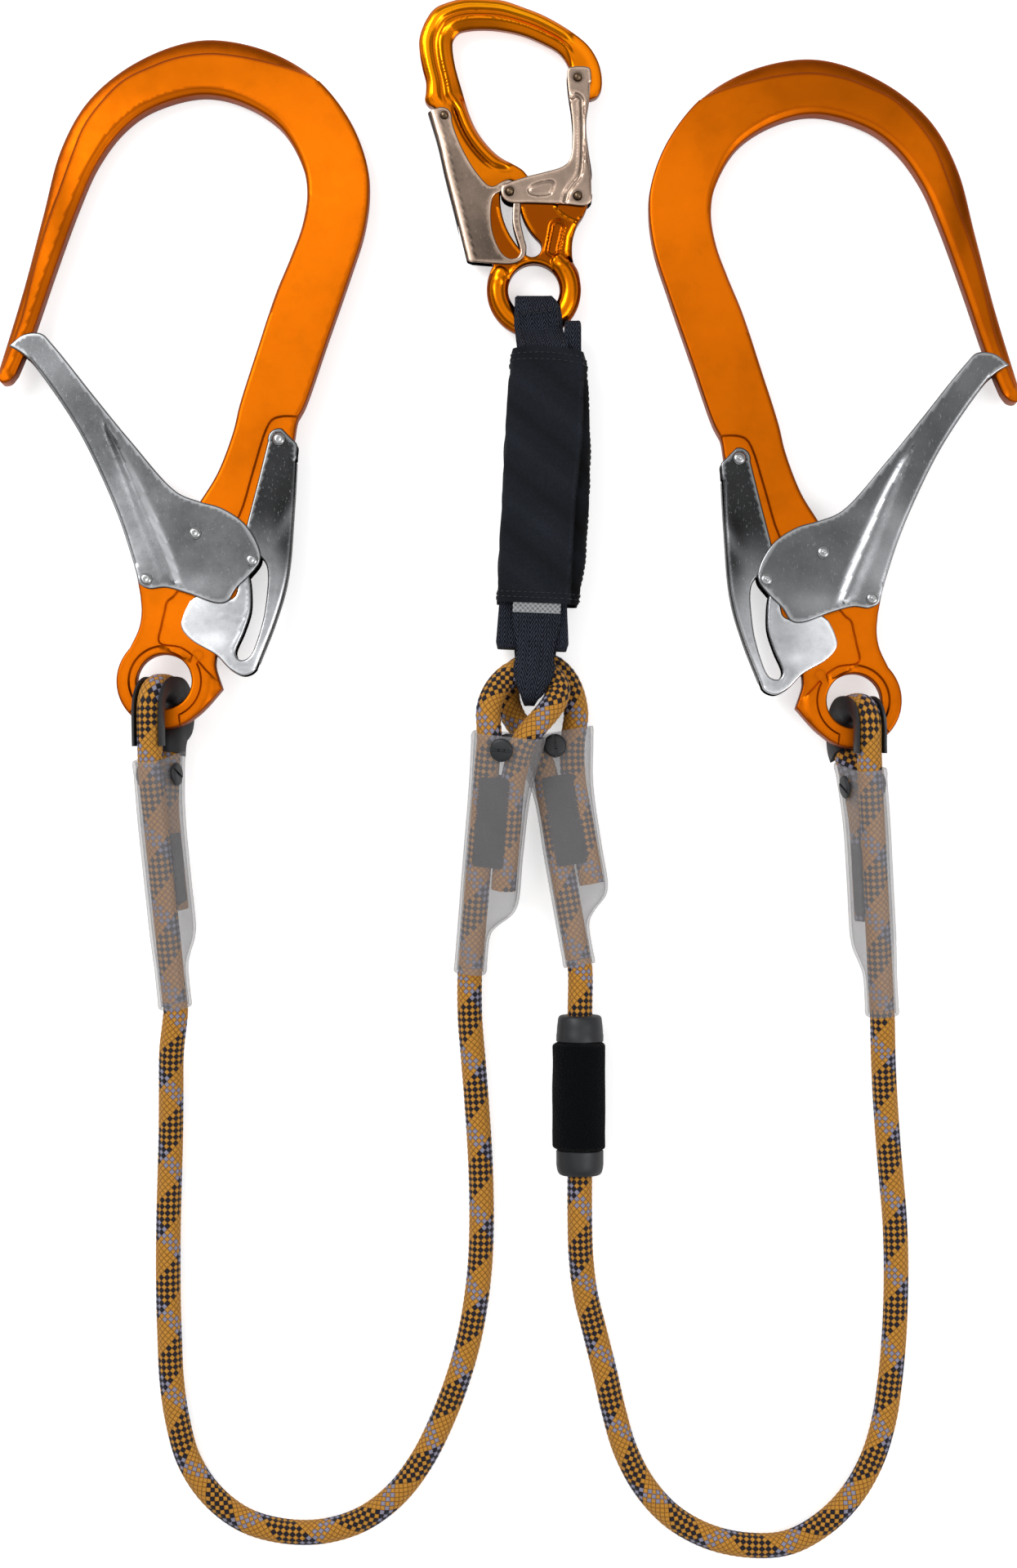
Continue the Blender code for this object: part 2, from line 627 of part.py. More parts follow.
def connector_gate(frame):
    around = [(16.2, 105.5), (17.2, 107.8), (19.2, 108.3), (24.9, 108.3), (27.2, 107.5)]
    around += [(27.8, 105.5), (27.8, 96.9), (26.8, 90.9), (25.6, 83), (25.6, 76.3), (26.8, 66.4)]
    around += [(28.2, 56.4), (28.5, 46.5), (27.8, 42.5), (24.9, 40.5), (14.9, 41.2), (-1.7, 41.8)]
    around += [(-12.3, 42.2), (-15.3, 44.5), (-16.2, 47.8), (-15.3, 50.4), (-12.3, 51.8)]
    around += [(-3, 54.8), (5, 56.8), (13.6, 59.4), (16.9, 62), (18.2, 65.7), (18.9, 76.3)]
    around += [(18.2, 86.3), (17.2, 93.2), (16.4, 99.5)]
    points = curve_through(around, 1, True)
    web = [(27.4, 91), (25.6, 83), (25.6, 76.3), (26.8, 66.4), (28.2, 55)]
    fold = [(x - CONNECTOR_SHEET, y) for x, y in curve_through(web, 2, False)]
    inside = fold + [(45, 55), (45, 20), (-30, 20), (-30, 120), (45, 120), (45, 91)]
    holes = [circle(p, 1.7) for p in (CONNECTOR_GATE_PIVOT, CONNECTOR_GUIDE, CONNECTOR_NOSE_PIN)]
    return channel(
        "connector_gate",
        points,
        holes,
        inside,
        CONNECTOR_GATE_FACE,
        "steel",
        frame,
        CONNECTOR_GATE_PIVOT,
    )


def connector_lever(frame):
    around = [(-48.8, 87.9), (-45.4, 88.8), (-42.1, 87.9), (-40.3, 85.6), (-39.8, 81.6)]
    around += [(-38.2, 76.3), (-34.8, 68.4), (-29.5, 59.1), (-24.2, 52.4), (-21.6, 50.4)]
    around += [(-19, 50.4), (-15.6, 52.4), (-12.3, 53.4), (-9, 51.8), (-7.2, 47.5), (-6.5, 41.4)]
    around += [(-6.5, 33.4), (-4.8, 25), (-3.6, 20.2), (-4.6, 16.2), (-7.4, 13.4), (-11, 12.2)]
    around += [(-19.4, 12.4), (-30.2, 13.2)]
    edge = [(-30.2, 13.2), (-33.5, 14.4), (-38.8, 36.2), (-43.8, 56), (-47.1, 70.6), (-51.8, 86.3)]
    points = outline([around, edge[:2], edge[1:], [(-51.8, 86.3), (-48.8, 87.9)]], steps=1)
    window = [(-11.8, 49.8), (-9.8, 48.4), (-9.8, 45), (-10.2, 41.4), (-10.4, 32.2), (-8.3, 24.2)]
    window += [(-7, 20.2), (-6.8, 17.4), (-8.5, 15.4), (-11.6, 14.9), (-15, 16.9), (-17.6, 20.9)]
    window += [(-19.9, 26.9), (-20.9, 33.5), (-20.8, 40.8), (-19.4, 45.6), (-16.5, 47.3)]
    window += [(-14.2, 49)]
    web = [(-51.8, 86.3), (-47.1, 70.6), (-43.8, 56), (-38.8, 36.2), (-33.5, 14.4)]
    fold = [(x + CONNECTOR_SHEET + 0.1, y) for x, y in web]
    fold[-1] = (fold[-1][0], -5)
    inside = [(-50.7, 95)] + fold + [(20, -5), (20, 95)]
    holes = [circle(CONNECTOR_LEVER_PIVOT, 1.7), window]
    return channel(
        "connector_lever",
        points,
        holes,
        inside,
        CONNECTOR_LEVER_FACE,
        "steel",
        frame,
        CONNECTOR_LEVER_PIVOT,
    )


def build_connector(frame):
    connector_body(frame)
    connector_gate(frame)
    connector_lever(frame)
    gate_face, lever_face = CONNECTOR_GATE_FACE, CONNECTOR_LEVER_FACE
    for word, where, face in (
        ("gate_rivet", CONNECTOR_GATE_PIVOT, gate_face),
        ("guide_rivet", CONNECTOR_GUIDE, gate_face),
        ("nose_rivet", CONNECTOR_NOSE_PIN, gate_face),
        ("lever_rivet", CONNECTOR_LEVER_PIVOT, lever_face),
    ):
        rivet(f"connector_{word}", where, 1.3, 2.2, face, "steel", frame)
    for word, centre, leg in (
        ("gate", CONNECTOR_GATE_PIVOT, 80),
        ("lever", CONNECTOR_LEVER_PIVOT, 200),
    ):
        name = f"connector_{word}_spring"
        torsion_spring(name, centre, 2.2, 0.35, 2.5, 1.7, (leg, 0), "spring_steel", frame)


# Absorber


def rounded_section(left, right, half, corner, height, along):
    """A rounded rectangle of 16 points across X and Z, placed at a place along Y."""
    found = []
    for cx, cz, start in (
        (right - corner, half - corner, 90),
        (right - corner, -half + corner, 0),
        (left + corner, -half + corner, -90),
        (left + corner, half - corner, -180),
    ):
        for x, z in arc((cx, cz), corner, start, start - 90, 3):
            found.append((x, along, z + height))
    return found


def absorber_section(half_width, bulge, half, corner, along):
    return rounded_section(-half_width, half_width + bulge, half, corner, 0, along)


def build_absorber(frame):
    cover_rows = [(64, 16.2, 2.0, 17.1), (58, 17.4, 2.5, 17.2), (46, 18.0, 3.5, 17.3)]
    cover_rows += [(20, 18.4, 5.0, 17.3), (-10, 18.6, 5.5, 17.3), (-38, 18.9, 4.5, 17.3)]
    cover_rows += [(-60, 19.4, 1.5, 17.0)]
    outer = [absorber_section(w, b, h, 4.2, y) for y, w, b, h in cover_rows]
    wall = COVER_WALL
    inner = [absorber_section(w - wall, b, h - wall, 3.2, y) for y, w, b, h in cover_rows]
    loft("absorber_cover", outer, "cover_fabric", frame, inner=inner)
    pack_rows = [(56, 15.2, 2.0, 11.4), (50, 16.4, 2.2, PACK_HALF), (20, 16.9, 3.2, PACK_HALF)]
    pack_rows += [(-38, 17.2, 3.0, PACK_HALF), (-60, 17.6, 1.0, PACK_HALF)]
    pack_rows += [(-79, 18.4, 0.2, PACK_HALF), (-82, 17.6, 0.0, 11.6)]
    loft(
        "absorber_pack",
        [absorber_section(w, b, h, 4.0, y) for y, w, b, h in pack_rows],
        "webbing",
        frame,
    )


def straps():
    """The two webbing loops, which lie in the lanyard's own frame.

    Each row is a point of the route, the width there and the thickness there.
    """
    front = ABSORBER_HALF + PACK_HALF + GAP + STRAP / 2
    back = ABSORBER_HALF - PACK_HALF - GAP - STRAP / 2
    ring_top = CONNECTOR_HEIGHT + BOW_HALF + 0.5 + STRAP / 2
    ring_low = CONNECTOR_HEIGHT - BOW_HALF - 0.5 - STRAP / 2
    middle = CONNECTOR_HEIGHT
    wide, deep = STRAP_WIDTH, STRAP
    rows = [(17.2, 96, front, wide, deep), (17.2, 108, front - 0.2, wide, deep)]
    rows += [(17, 114.5, front - 1.6, wide, deep), (15.8, 119.5, 24.5, wide, deep)]
    rows += [(14.6, 124.5, ring_top + 1, wide, deep), (14.2, 130, ring_top, wide, deep)]
    rows += [(13.4, 135.5, ring_top, 22, deep), (12.6, 139.4, ring_top - 2.4, 19.6, deep)]
    rows += [(12.4, 141, middle + 2.5, 19, deep), (12.4, 141, middle - 2.5, 19, deep)]
    rows += [(12.6, 139.4, ring_low + 2.4, 19.6, deep), (13.4, 135.5, ring_low, 22, deep)]
    rows += [(14.6, 128, ring_low, wide, deep), (15.8, 118, ring_low + 0.6, wide, deep)]
    rows += [(17.2, 108, back - 0.2, wide, deep), (17.2, 96, back, wide, deep)]
    band("absorber_top_strap", curve_through(rows, 2, False), "webbing")

    rows = [(13.6, -6, front, wide, deep), (13.2, -20, front, 22.5, deep)]
    rows += [(12.8, -31.5, front, 18, deep), (12, -42, front - 0.4, 20, deep)]
    rows += [(10.8, -50, front - 0.6, 14, deep), (10.1, -55, front - 3.6, 8, 2.2)]
    rows += [(10, -57, 22, 6, 2.6), (10, -57, 15, 6, 2.6), (10, -56.6, 8, 6.2, 2.6)]
    rows += [(10.4, -54, 2.6, 9, 2.2), (11.6, -48, 1.35, 15, 1.9), (12.8, -34, 1.35, 20, 1.9)]
    rows += [(13.4, -20, back - 0.3, 22.5, deep), (13.6, -6, back, wide, deep)]
    band("absorber_lower_strap", curve_through(rows, 2, False), "webbing")
    height = front + STRAP / 2 + 0.2 + 0.25
    tape = [(13.8, -3, height, 23, 0.5), (13.5, -9, height, 23, 0.5), (13.3, -14, height, 23, 0.5)]
    band("absorber_white_tape", tape, "white_tape")


# Splices: a frame at the sleeve's mouth, with X to the tail, Y down the rope and Z out of the face


def splice_frame(name, mouth, leave, tail_side):
    """An empty at the mouth whose Y runs along the main strand to the exit."""
    along = (Vector(leave) - Vector(mouth)).normalized()
    side = Vector(tail_side)
    side = (side - along * side.dot(along)).normalized()
    normal = side.cross(along)
    turn = Matrix((side, along, normal)).transposed()
    return pivot(name, None, mouth, turn)


def sleeve(name, frame, length, mouth, screw_at):
    """A tube wide enough for both strands, which steps down to the single rope."""
    left, right, flare = mouth
    step = length - 36
    side = SLEEVE_SIDE
    tail = STRAND_STEP + ROPE_RADIUS + 0.6 + SLEEVE_WALL
    rows = [(0, left, right, SLEEVE_HALF + 0.2), (6, left, right - flare, SLEEVE_HALF)]
    rows += [(28, side, tail + 1.2, SLEEVE_HALF), (60, side, tail, SLEEVE_HALF)]
    rows += [(step, side, tail - 0.4, SLEEVE_HALF), (step + 5, side, tail - 2.4, 8.2)]
    rows += [(step + 11, side, 12.2, 8.0), (step + 16, side, 8.6, 7.8), (length, side, side, 7.8)]
    wall = SLEEVE_WALL
    outer = [rounded_section(-a, b, h, 6.6, 0, y) for y, a, b, h in rows]
    inner = [rounded_section(wall - a, b - wall, h - wall, 5.6, 0, y) for y, a, b, h in rows]
    shell = loft(name, outer, "frosted_plastic", frame, inner=inner)
    profile = [(0, -14), (1.65, -14), (1.65, 14), (0, 14)]
    boolean(shell, turned(f"{name}_hole", profile, 12, "steel", frame, (*screw_at, 0)))
    return shell


def screw(name, frame, at):
    """A slotted cap whose shank crosses the sleeve, and the cap on the other face that takes it."""
    face = SLEEVE_HALF + 0.2 + GAP
    low = -face
    head = [(0, face + 1.6), (4.9, face + 1.6), (SCREW_HEAD, face + 1.1), (SCREW_HEAD, face)]
    head += [(1.3, face), (1.3, low - 0.5), (0, low - 0.5)]
    turned(f"{name}_screw", head, 16, "black_plastic", frame, (*at, 0))
    cup = [(0, low - 1.5), (4.9, low - 1.5), (SCREW_HEAD, low - 1), (SCREW_HEAD, low)]
    cup += [(1.7, low), (1.7, low - 0.8), (0, low - 0.8)]
    turned(f"{name}_screw_cap", cup, 16, "black_plastic", frame, (*at, 0))


def stitching(name, frame, start, end):
    """Stitch rows through both strands, drawn as a pad on each face joined between the strands."""
    middle = STRAND_STEP / 2
    half, low, high = 6.4, ROPE_RADIUS + 0.15, ROPE_RADIUS + 0.65
    section = [(-half, high), (half, high), (half, low), (0.18, low), (0.18, -low), (half, -low)]
    section += [(half, -high), (-half, -high), (-half, -low), (-0.18, -low), (-0.18, low)]
    section += [(-half, low)]
    rows = [[(x + middle, y, z) for x, z in section] for y in (start, end)]
    loft(name, rows, "stitching", frame, smooth=None)


def strand_in(frame_points, frame):
    """Points of a splice's frame in the lanyard's own frame."""
    bpy.context.view_layer.update()
    matrix = frame.matrix_world
    return [matrix @ (Vector(p) * MM) / MM for p in frame_points]


def thimble(name, route, across):
    """A half round trough between the loop and the ring, swept round the bend."""
    across = Vector(across).normalized()
    sections = []
    points = [Vector(p) for p in route]
    for i, here in enumerate(points):
        before, after = points[max(i - 1, 0)], points[min(i + 1, len(points) - 1)]
        along = (after - before).normalized()
        inward = along.cross(across).normalized()
        shape = arc((0, 0), 7.5, 10, 170, 8) + arc((0, 0), 6.3, 170, 10, 8)
        sections.append([here + across * u + inward * v for u, v in shape])
    return loft(name, sections, "black_plastic", None, smooth=30)


def meeting_points(frame, length):
    """Where the free rope starts, just inside the sleeve's small end."""
    return strand_in([(0, length - 2.9, 0), (0, length + 2, 0)], frame)


def free_rope(name, start, points, end):
    """A rope between two sleeves, whose first and last bits lie on the sleeves' own lines."""
    middle = even_route([start[1], *(Vector(p) for p in points), end[1]], 20)
    tube(name, [start[0], *middle, end[0]], ROPE_RADIUS, "rope")


def build_hook_splice(side, eye, lean, mouth, leave, tail_side, lead):
    """The rope's end loop through the hook's eye, with its thimble, sleeve and screw."""
    frame = splice_frame(f"{side}_hook_splice", mouth, leave, tail_side)
    length = (Vector(leave) - Vector(mouth)).length
    back = Vector(tail_side).normalized()
    up = Vector((0, 1, 0))
    middle = Vector((eye[0] + lean, eye[1], EYE_HEIGHT + 0.85))
    bend = arc((-4.7, -13.4), 11, 180, 90, 4) + arc((4.7, -13.4), 11, 90, 0, 4)
    over = [middle + back * u + up * v for u, v in [(-15.7, -22), *bend, (16, -20.5)]]
    main = strand_in([(0, y, 0) for y in (length - 3.2, 96, 80, 60, 40, 24, 8)], frame)
    tail = [(x, y, 0) for x, y in [*lead, (13, 37), (13, 50), (13, 76)]]
    tail = strand_in(tail, frame)
    route = even_route(main + over + tail, 5.5)
    tube(f"{side}_hook_rope_loop", route, ROPE_RADIUS, "rope")
    cradle = [point for point in route if point.y > eye[1] - 16.5]
    thimble(f"{side}_thimble", cradle, back.cross(up))
    sleeve(f"{side}_hook_sleeve", frame, length, (SLEEVE_SIDE, 34, 2.5), (9.6, 9))
    screw(f"{side}_hook_sleeve", frame, (9.6, 9))
    stitching(f"{side}_hook_stitching", frame, 38, 72)
    return meeting_points(frame, length)


def build_centre_splice(side, mouth, leave, tail_side, loop, opening, screw_at):
    """The rope's end loop through the lower strap, with its sleeve and screw."""
    frame = splice_frame(f"{side}_centre_splice", mouth, leave, tail_side)
    length = (Vector(leave) - Vector(mouth)).length
    main = strand_in([(0, y, 0) for y in (length - 3.2, 96, 80, 60, 40, 28)], frame)
    tail = strand_in([(13, y, 0) for y in (26, 40, 58, 76)], frame)
    lead = [(-0.3, 16, 0)] if opening[0] > 10 else [(0, 14, 0), (0, 2, 0)]
    main += strand_in(lead, frame)
    tail = strand_in([(17, 2, 0), (14.6, 12, 0)], frame) + tail
    route = even_route(main + [Vector(p) for p in loop] + tail, 7)
    tube(f"{side}_centre_rope_loop", route, ROPE_RADIUS, "rope")
    sleeve(f"{side}_centre_sleeve", frame, length, opening, screw_at)
    screw(f"{side}_centre_sleeve", frame, screw_at)
    stitching(f"{side}_centre_stitching", frame, 27, 66)
    return meeting_points(frame, length)


# Free ropes and grip

LEFT_ROPE = [(-163.9, -217, 14.6), (-165, -235, 11.4), (-165.4, -258, 7.8)]
LEFT_ROPE += [(-166.2, -285, 6.15), (-167, -320, 6.1), (-166.6, -360, 6.1), (-164, -400, 6.1)]
LEFT_ROPE += [(-156, -430, 6.1), (-145.6, -445, 6.1), (-130, -457, 6.1), (-108, -463, 6.1)]
LEFT_ROPE += [(-82, -461, 6.1), (-60.8, -449.6, 6.1), (-44, -430, 6.1), (-31, -404, 6.1)]
LEFT_ROPE += [(-20.4, -372, 6.1), (-14.6, -337, 6.1), (-13.4, -305, 6.1), (-14.6, -270, 6.1)]
LEFT_ROPE += [(-17.2, -235, 6.4), (-19.2, -208, 7.6)]
RIGHT_ROPE = [(34.8, -202, 13.9), (34.6, -209.2, 14), (34.6, -225, 14), (34.6, -240, 14)]
RIGHT_ROPE += [(34.6, -275, 14), (34.6, -310, 14), (35.4, -330, 11.6), (38.2, -350, 7.8)]
RIGHT_ROPE += [(44.8, -375, 6.15), (51.4, -404, 6.1), (60, -430, 6.1), (74, -450, 6.1)]
RIGHT_ROPE += [(90, -462, 6.1), (112, -469, 6.1), (136, -468.6, 6.1), (158, -456, 6.1)]
RIGHT_ROPE += [(174, -436, 6.1), (183, -412, 6.1), (187.4, -384, 6.1), (189.6, -350, 6.1)]
RIGHT_ROPE += [(189.4, -315, 6.1), (187, -285, 6.3), (184.6, -258, 8.6), (182.8, -232, 12.6)]


def build_grip(frame):
    bore = ROPE_RADIUS + 0.5
    tube_radius = 9.2
    pieces = {
        "grip_tube": [(bore, 34), (tube_radius, 34), (tube_radius, -34), (bore, -34)],
        "grip_upper_collar": [
            (tube_radius + 0.3, 26.4),
            (COLLAR_RADIUS, 26.4),
            (COLLAR_RADIUS, 30),
            (10.6, 38),
            (9.6, 39.2),
            (bore, 39.2),
            (bore, 34.4),
            (tube_radius + 0.3, 34.4),
        ],
        "grip_lower_collar": [
            (tube_radius + 0.3, -26.4),
            (tube_radius + 0.3, -34.4),
            (bore, -34.4),
            (bore, -38.6),
            (9.4, -38.6),
            (10.8, -37),
            (COLLAR_RADIUS, -33.4),
            (COLLAR_RADIUS, -26.4),
        ],
        "grip_band": [
            (tube_radius + 0.3, 26),
            (12.6, 26),
            (BAND_RADIUS, 25),
            (BAND_RADIUS, -25),
            (12.6, -26),
            (tube_radius + 0.3, -26),
        ],
    }
    kinds = {"grip_band": "loop_fabric"}
    for name, profile in pieces.items():
        turned(name, profile, 20, kinds.get(name, "black_plastic"), frame, axis="Y")


def main():
    for obj in list(bpy.data.objects):
        bpy.data.objects.remove(obj)

    tilt = Matrix.Rotation(-HOOK_TILT, 3, "X")
    over = Matrix.Rotation(math.pi, 3, "Y")
    build_hook("left", pivot("left_hook_frame", None, (*LEFT_EYE, EYE_HEIGHT), tilt))
    build_hook("right", pivot("right_hook_frame", None, (*RIGHT_EYE, EYE_HEIGHT), tilt @ over))
    build_connector(pivot("connector_frame", None, (*CONNECTOR_EYE, CONNECTOR_HEIGHT)))

    lean = Matrix.Rotation(ABSORBER_LEAN, 3, "Z")
    build_absorber(pivot("absorber_frame", None, (*ABSORBER_MIDDLE, ABSORBER_HALF), lean))
    straps()

    left_back = Vector((math.sin(math.radians(18)), 0, -math.cos(math.radians(18))))
    right_back = Vector((-math.sin(math.radians(16)), 0, -math.cos(math.radians(16))))
    mouth, leave = (-172.7, -84.8, 36.2), (-162.4, -204.8, 17)
    lead = [(26.4, -7), (20.8, 4.5), (17, 15), (13.9, 26)]
    left_start = build_hook_splice("left", LEFT_EYE, -0.9, mouth, leave, left_back, lead)
    mouth, leave = (173.2, -89.2, 36.4), (181.6, -208.6, 17.6)
    lead = [(28.6, -4.5), (22.6, 4), (17.8, 14), (14.3, 25)]
    right_end = build_hook_splice("right", RIGHT_EYE, 1.5, mouth, leave, right_back, lead)
    left_loop = [(-9.8, -60, 27.6), (-5.6, -49.8, 24.8), (2, -42.8, 22.9), (10.8, -40.4, 22.4)]
    left_loop += [(19.6, -43.6, 22.9), (23.8, -50.5, 25), (21.2, -58.2, 28), (14.4, -66.5, 30.4)]
    rolled = (math.cos(math.radians(10)), 0, math.sin(math.radians(10)))
    mouth, leave = (-9.2, -71.6, 29), (-19.0, -188.4, 9.4)
    left_end = build_centre_splice(
        "left", mouth, leave, rolled, left_loop, (8.4, 27, 0.8), (7.8, 6.5)
    )
    right_loop = [(11.4, -76.5, 10.6), (5.4, -68.5, 10.4), (1.4, -62, 9.9), (-0.6, -55, 9.6)]
    right_loop += [(-0.2, -47.6, 9.5), (3.6, -41.2, 9.4)]
    right_loop += [(10.8, -37.7, 9.4), (19.6, -38.4, 9.4), (27.2, -44.6, 9.5)]
    right_loop += [(31.6, -54.4, 10), (32.8, -66, 10.4)]
    mouth, leave = (14.4, -72.6, 10.7), (34.4, -184.8, 12.4)
    right_start = build_centre_splice(
        "right", mouth, leave, (1, 0, 0), right_loop, (13.5, 27, 0.8), (6.9, 6.5)
    )

    free_rope("left_rope", left_start, LEFT_ROPE, left_end)
    free_rope("right_rope", right_start, RIGHT_ROPE, right_end)
    build_grip(pivot("grip_frame", None, (34.6, -248.4, GRIP_AXIS_HEIGHT)))


main()
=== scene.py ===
"""Twin shock-absorbing lanyard: its photographed finish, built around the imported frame.

Sizes in the making functions are millimetres, as in the part, and become metres when
a piece is put in place. X runs to the right, Y towards the connector, Z up from the floor.
"""

import json
import math
import random

import bmesh
import bpy
import numpy as np
from mathutils import Matrix, Vector
from mathutils.geometry import delaunay_2d_cdt

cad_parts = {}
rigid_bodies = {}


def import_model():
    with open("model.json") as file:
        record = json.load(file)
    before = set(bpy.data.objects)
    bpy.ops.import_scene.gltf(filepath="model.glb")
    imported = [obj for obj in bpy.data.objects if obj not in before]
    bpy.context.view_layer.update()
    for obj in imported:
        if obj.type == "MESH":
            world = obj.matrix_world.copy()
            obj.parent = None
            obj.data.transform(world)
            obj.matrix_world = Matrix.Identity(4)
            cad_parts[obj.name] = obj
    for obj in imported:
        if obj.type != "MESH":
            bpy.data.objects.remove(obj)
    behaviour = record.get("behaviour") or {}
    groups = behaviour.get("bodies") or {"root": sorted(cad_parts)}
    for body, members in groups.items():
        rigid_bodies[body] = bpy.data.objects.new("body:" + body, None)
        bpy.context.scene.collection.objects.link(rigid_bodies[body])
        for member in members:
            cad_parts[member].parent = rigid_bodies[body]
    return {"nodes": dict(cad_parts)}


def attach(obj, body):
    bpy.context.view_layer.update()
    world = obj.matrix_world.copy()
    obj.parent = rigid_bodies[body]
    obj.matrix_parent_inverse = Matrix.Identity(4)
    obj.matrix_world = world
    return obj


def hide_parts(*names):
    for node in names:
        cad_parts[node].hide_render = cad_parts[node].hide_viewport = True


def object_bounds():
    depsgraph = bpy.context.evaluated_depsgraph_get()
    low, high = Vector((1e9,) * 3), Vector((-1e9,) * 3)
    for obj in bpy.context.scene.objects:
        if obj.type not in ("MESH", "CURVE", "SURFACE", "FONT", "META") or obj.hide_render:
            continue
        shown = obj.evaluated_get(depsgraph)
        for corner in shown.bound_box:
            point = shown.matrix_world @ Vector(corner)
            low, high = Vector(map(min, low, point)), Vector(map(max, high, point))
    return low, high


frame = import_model()
CAD_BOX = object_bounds()

bl_info = {
    "name": "Twin shock-absorbing lanyard",
    "version": (1, 0, 0),
    "blender": (4, 5, 0),
    "location": "3D View > Sidebar > Lanyard",
    "description": "Builds a rope lanyard with two scaffold hooks, an absorber and a connector",
    "category": "Object",
}

MM = 0.001
SHEET = 1.2
FACES = {"hook_body": 6.0, "hook_lever": 6.0, "hook_gate": 7.5}
FACES |= {"connector_lever": 5.3, "connector_gate": 6.6}
GATE_PIVOT, GUIDE_RIVET = (-8.7, 49.2), (42.5, 58.4)
SPACER_RIVET, LEVER_PIVOT = (14.9, 71.6), (55.3, 117.6)
CONNECTOR_GATE_PIVOT, CONNECTOR_GUIDE = (21.4, 45.2), (-11.8, 47.4)
CONNECTOR_NOSE_PIN, CONNECTOR_LEVER_PIVOT = (21.4, 103.0), (-43.6, 84.8)
RING, HOOK_EYE, CONNECTOR_BORE = 23.0, 13.3, 12.6
HOOK_HOLE, CONNECTOR_HOLE, SHANK = 2.1, 1.7, 0.6
EYE_HEIGHT = 20.7
HOOK_TILT = math.asin((EYE_HEIGHT - FACES["hook_body"]) / 313.6)
EYES = {"left": (-166.9, -46.8), "right": (167.1, -56.2)}
CONNECTOR_EYE = (12.2, 145.0, 9.6)
ABSORBER_AT = (15.4, 50.8, 17.3)
ABSORBER_LEAN = math.radians(-2.4)
GRIP_AT = (34.6, -248.4, 14.0)


def linear(hex_colour):
    """An sRGB hex value as the linear colour that Blender's sockets take."""
    channels = [int(hex_colour[i : i + 2], 16) / 255 for i in (0, 2, 4)]
    return tuple(c / 12.92 if c <= 0.04045 else ((c + 0.055) / 1.055) ** 2.4 for c in channels)


# Settings


def colour_property(name, description, hex_colour):
    return bpy.props.FloatVectorProperty(
        name=name,
        description=description,
        default=linear(hex_colour),
        size=3,
        min=0,
        max=1,
        subtype="COLOR",
    )


def length_property(name, description, metres):
    return bpy.props.FloatProperty(
        name=name, description=description, default=metres, unit="LENGTH"
    )


class LanyardRopeSettings(bpy.types.PropertyGroup):
    diameter: length_property("Diameter", "Over the sheath", 0.012)
    lay: length_property("Lay", "Length in which a strand goes round once", 0.0377)
    carriers: bpy.props.IntProperty(
        name="Carriers", description="Strands that run each way round", default=12, min=4
    )
    relief: length_property("Relief", "How far a strand stands above its neighbour", 0.00042)
    gold: colour_property("Gold", "Most of the strands", "D09236")
    lilac: colour_property("Lilac grey", "The lighter tracer", "9896AD")
    navy: colour_property("Navy", "The dark tracer", "1C1B27")


class LanyardMetalSettings(bpy.types.PropertyGroup):
    hook_orange: colour_property("Hook orange", "Anodised hook bodies", "D06706")
    connector_orange: colour_property("Connector orange", "Polished connector", "EB7D08")
    steel: colour_property("Steel", "Gates and levers of the hooks", "78797B")
    nickel: colour_property("Nickel", "Gate and lever of the connector", "89776A")
    rivet_head: length_property("Rivet head", "Radius of a large hook's rivet head", 0.003)


class LanyardClothSettings(bpy.types.PropertyGroup):
    webbing: colour_property("Webbing", "Straps and tear webbing", "1B1E26")
    cover: colour_property("Cover", "Fabric round the absorber", "14171D")
    tape: colour_property("Tape", "Inner wrap below the hem", "909294")
    thread: colour_property("Thread", "Stitches", "11141B")
    stitch: length_property("Stitch", "From one stitch to the next", 0.0028)


class LanyardPlasticSettings(bpy.types.PropertyGroup):
    sleeve: colour_property("Sleeve", "Frosted splice sleeves", "939193")
    black: colour_property("Black", "Screws, thimbles and collars", "1B1D21")
    loop: colour_property("Loop fabric", "Band on the grip", "05070B")


class LanyardStageSettings(bpy.types.PropertyGroup):
    floor: colour_property("Floor", "The plain surface below", "F4F4F4")
    height: length_property("Camera height", "Above the floor", 1.47)
    view: length_property("View length", "Seen along the frame's long side", 0.768)


# Lines and outlines


def arc(centre, radius, start, end, steps):
    """Points on an arc, angles in degrees, both ends included."""
    angles = [math.radians(start + (end - start) * i / steps) for i in range(steps + 1)]
    return [(centre[0] + radius * math.cos(a), centre[1] + radius * math.sin(a)) for a in angles]


def curve_through(points, steps, closed=False):
    """A centripetal Catmull-Rom curve through points of any size, with these steps a span."""
    count = len(points)
    spans = count if closed else count - 1
    vectors = [Vector(p) for p in points]

    def at(i):
        if closed:
            return vectors[i % count]
        if i < 0:
            return vectors[0] * 2 - vectors[1]
        if i >= count:
            return vectors[-1] * 2 - vectors[-2]
        return vectors[i]

    found = []
    for i in range(spans):
        a, b, c, d = at(i - 1), at(i), at(i + 1), at(i + 2)
        first = max((b - a).length, 1e-6) ** 0.5
        span = max((c - b).length, 1e-6) ** 0.5
        last = max((d - c).length, 1e-6) ** 0.5
        leaving = (b - a) / first - (c - a) / (first + span) + (c - b) / span
        arriving = (c - b) / span - (d - b) / (span + last) + (d - c) / last
        for k in range(steps):
            t = k / steps
            here = b * (2 * t**3 - 3 * t * t + 1) + c * (3 * t * t - 2 * t**3)
            here += leaving * span * (t**3 - 2 * t * t + t) + arriving * span * (t**3 - t * t)
            found.append(tuple(here))
    if not closed:
        found.append(tuple(vectors[-1]))
    return found


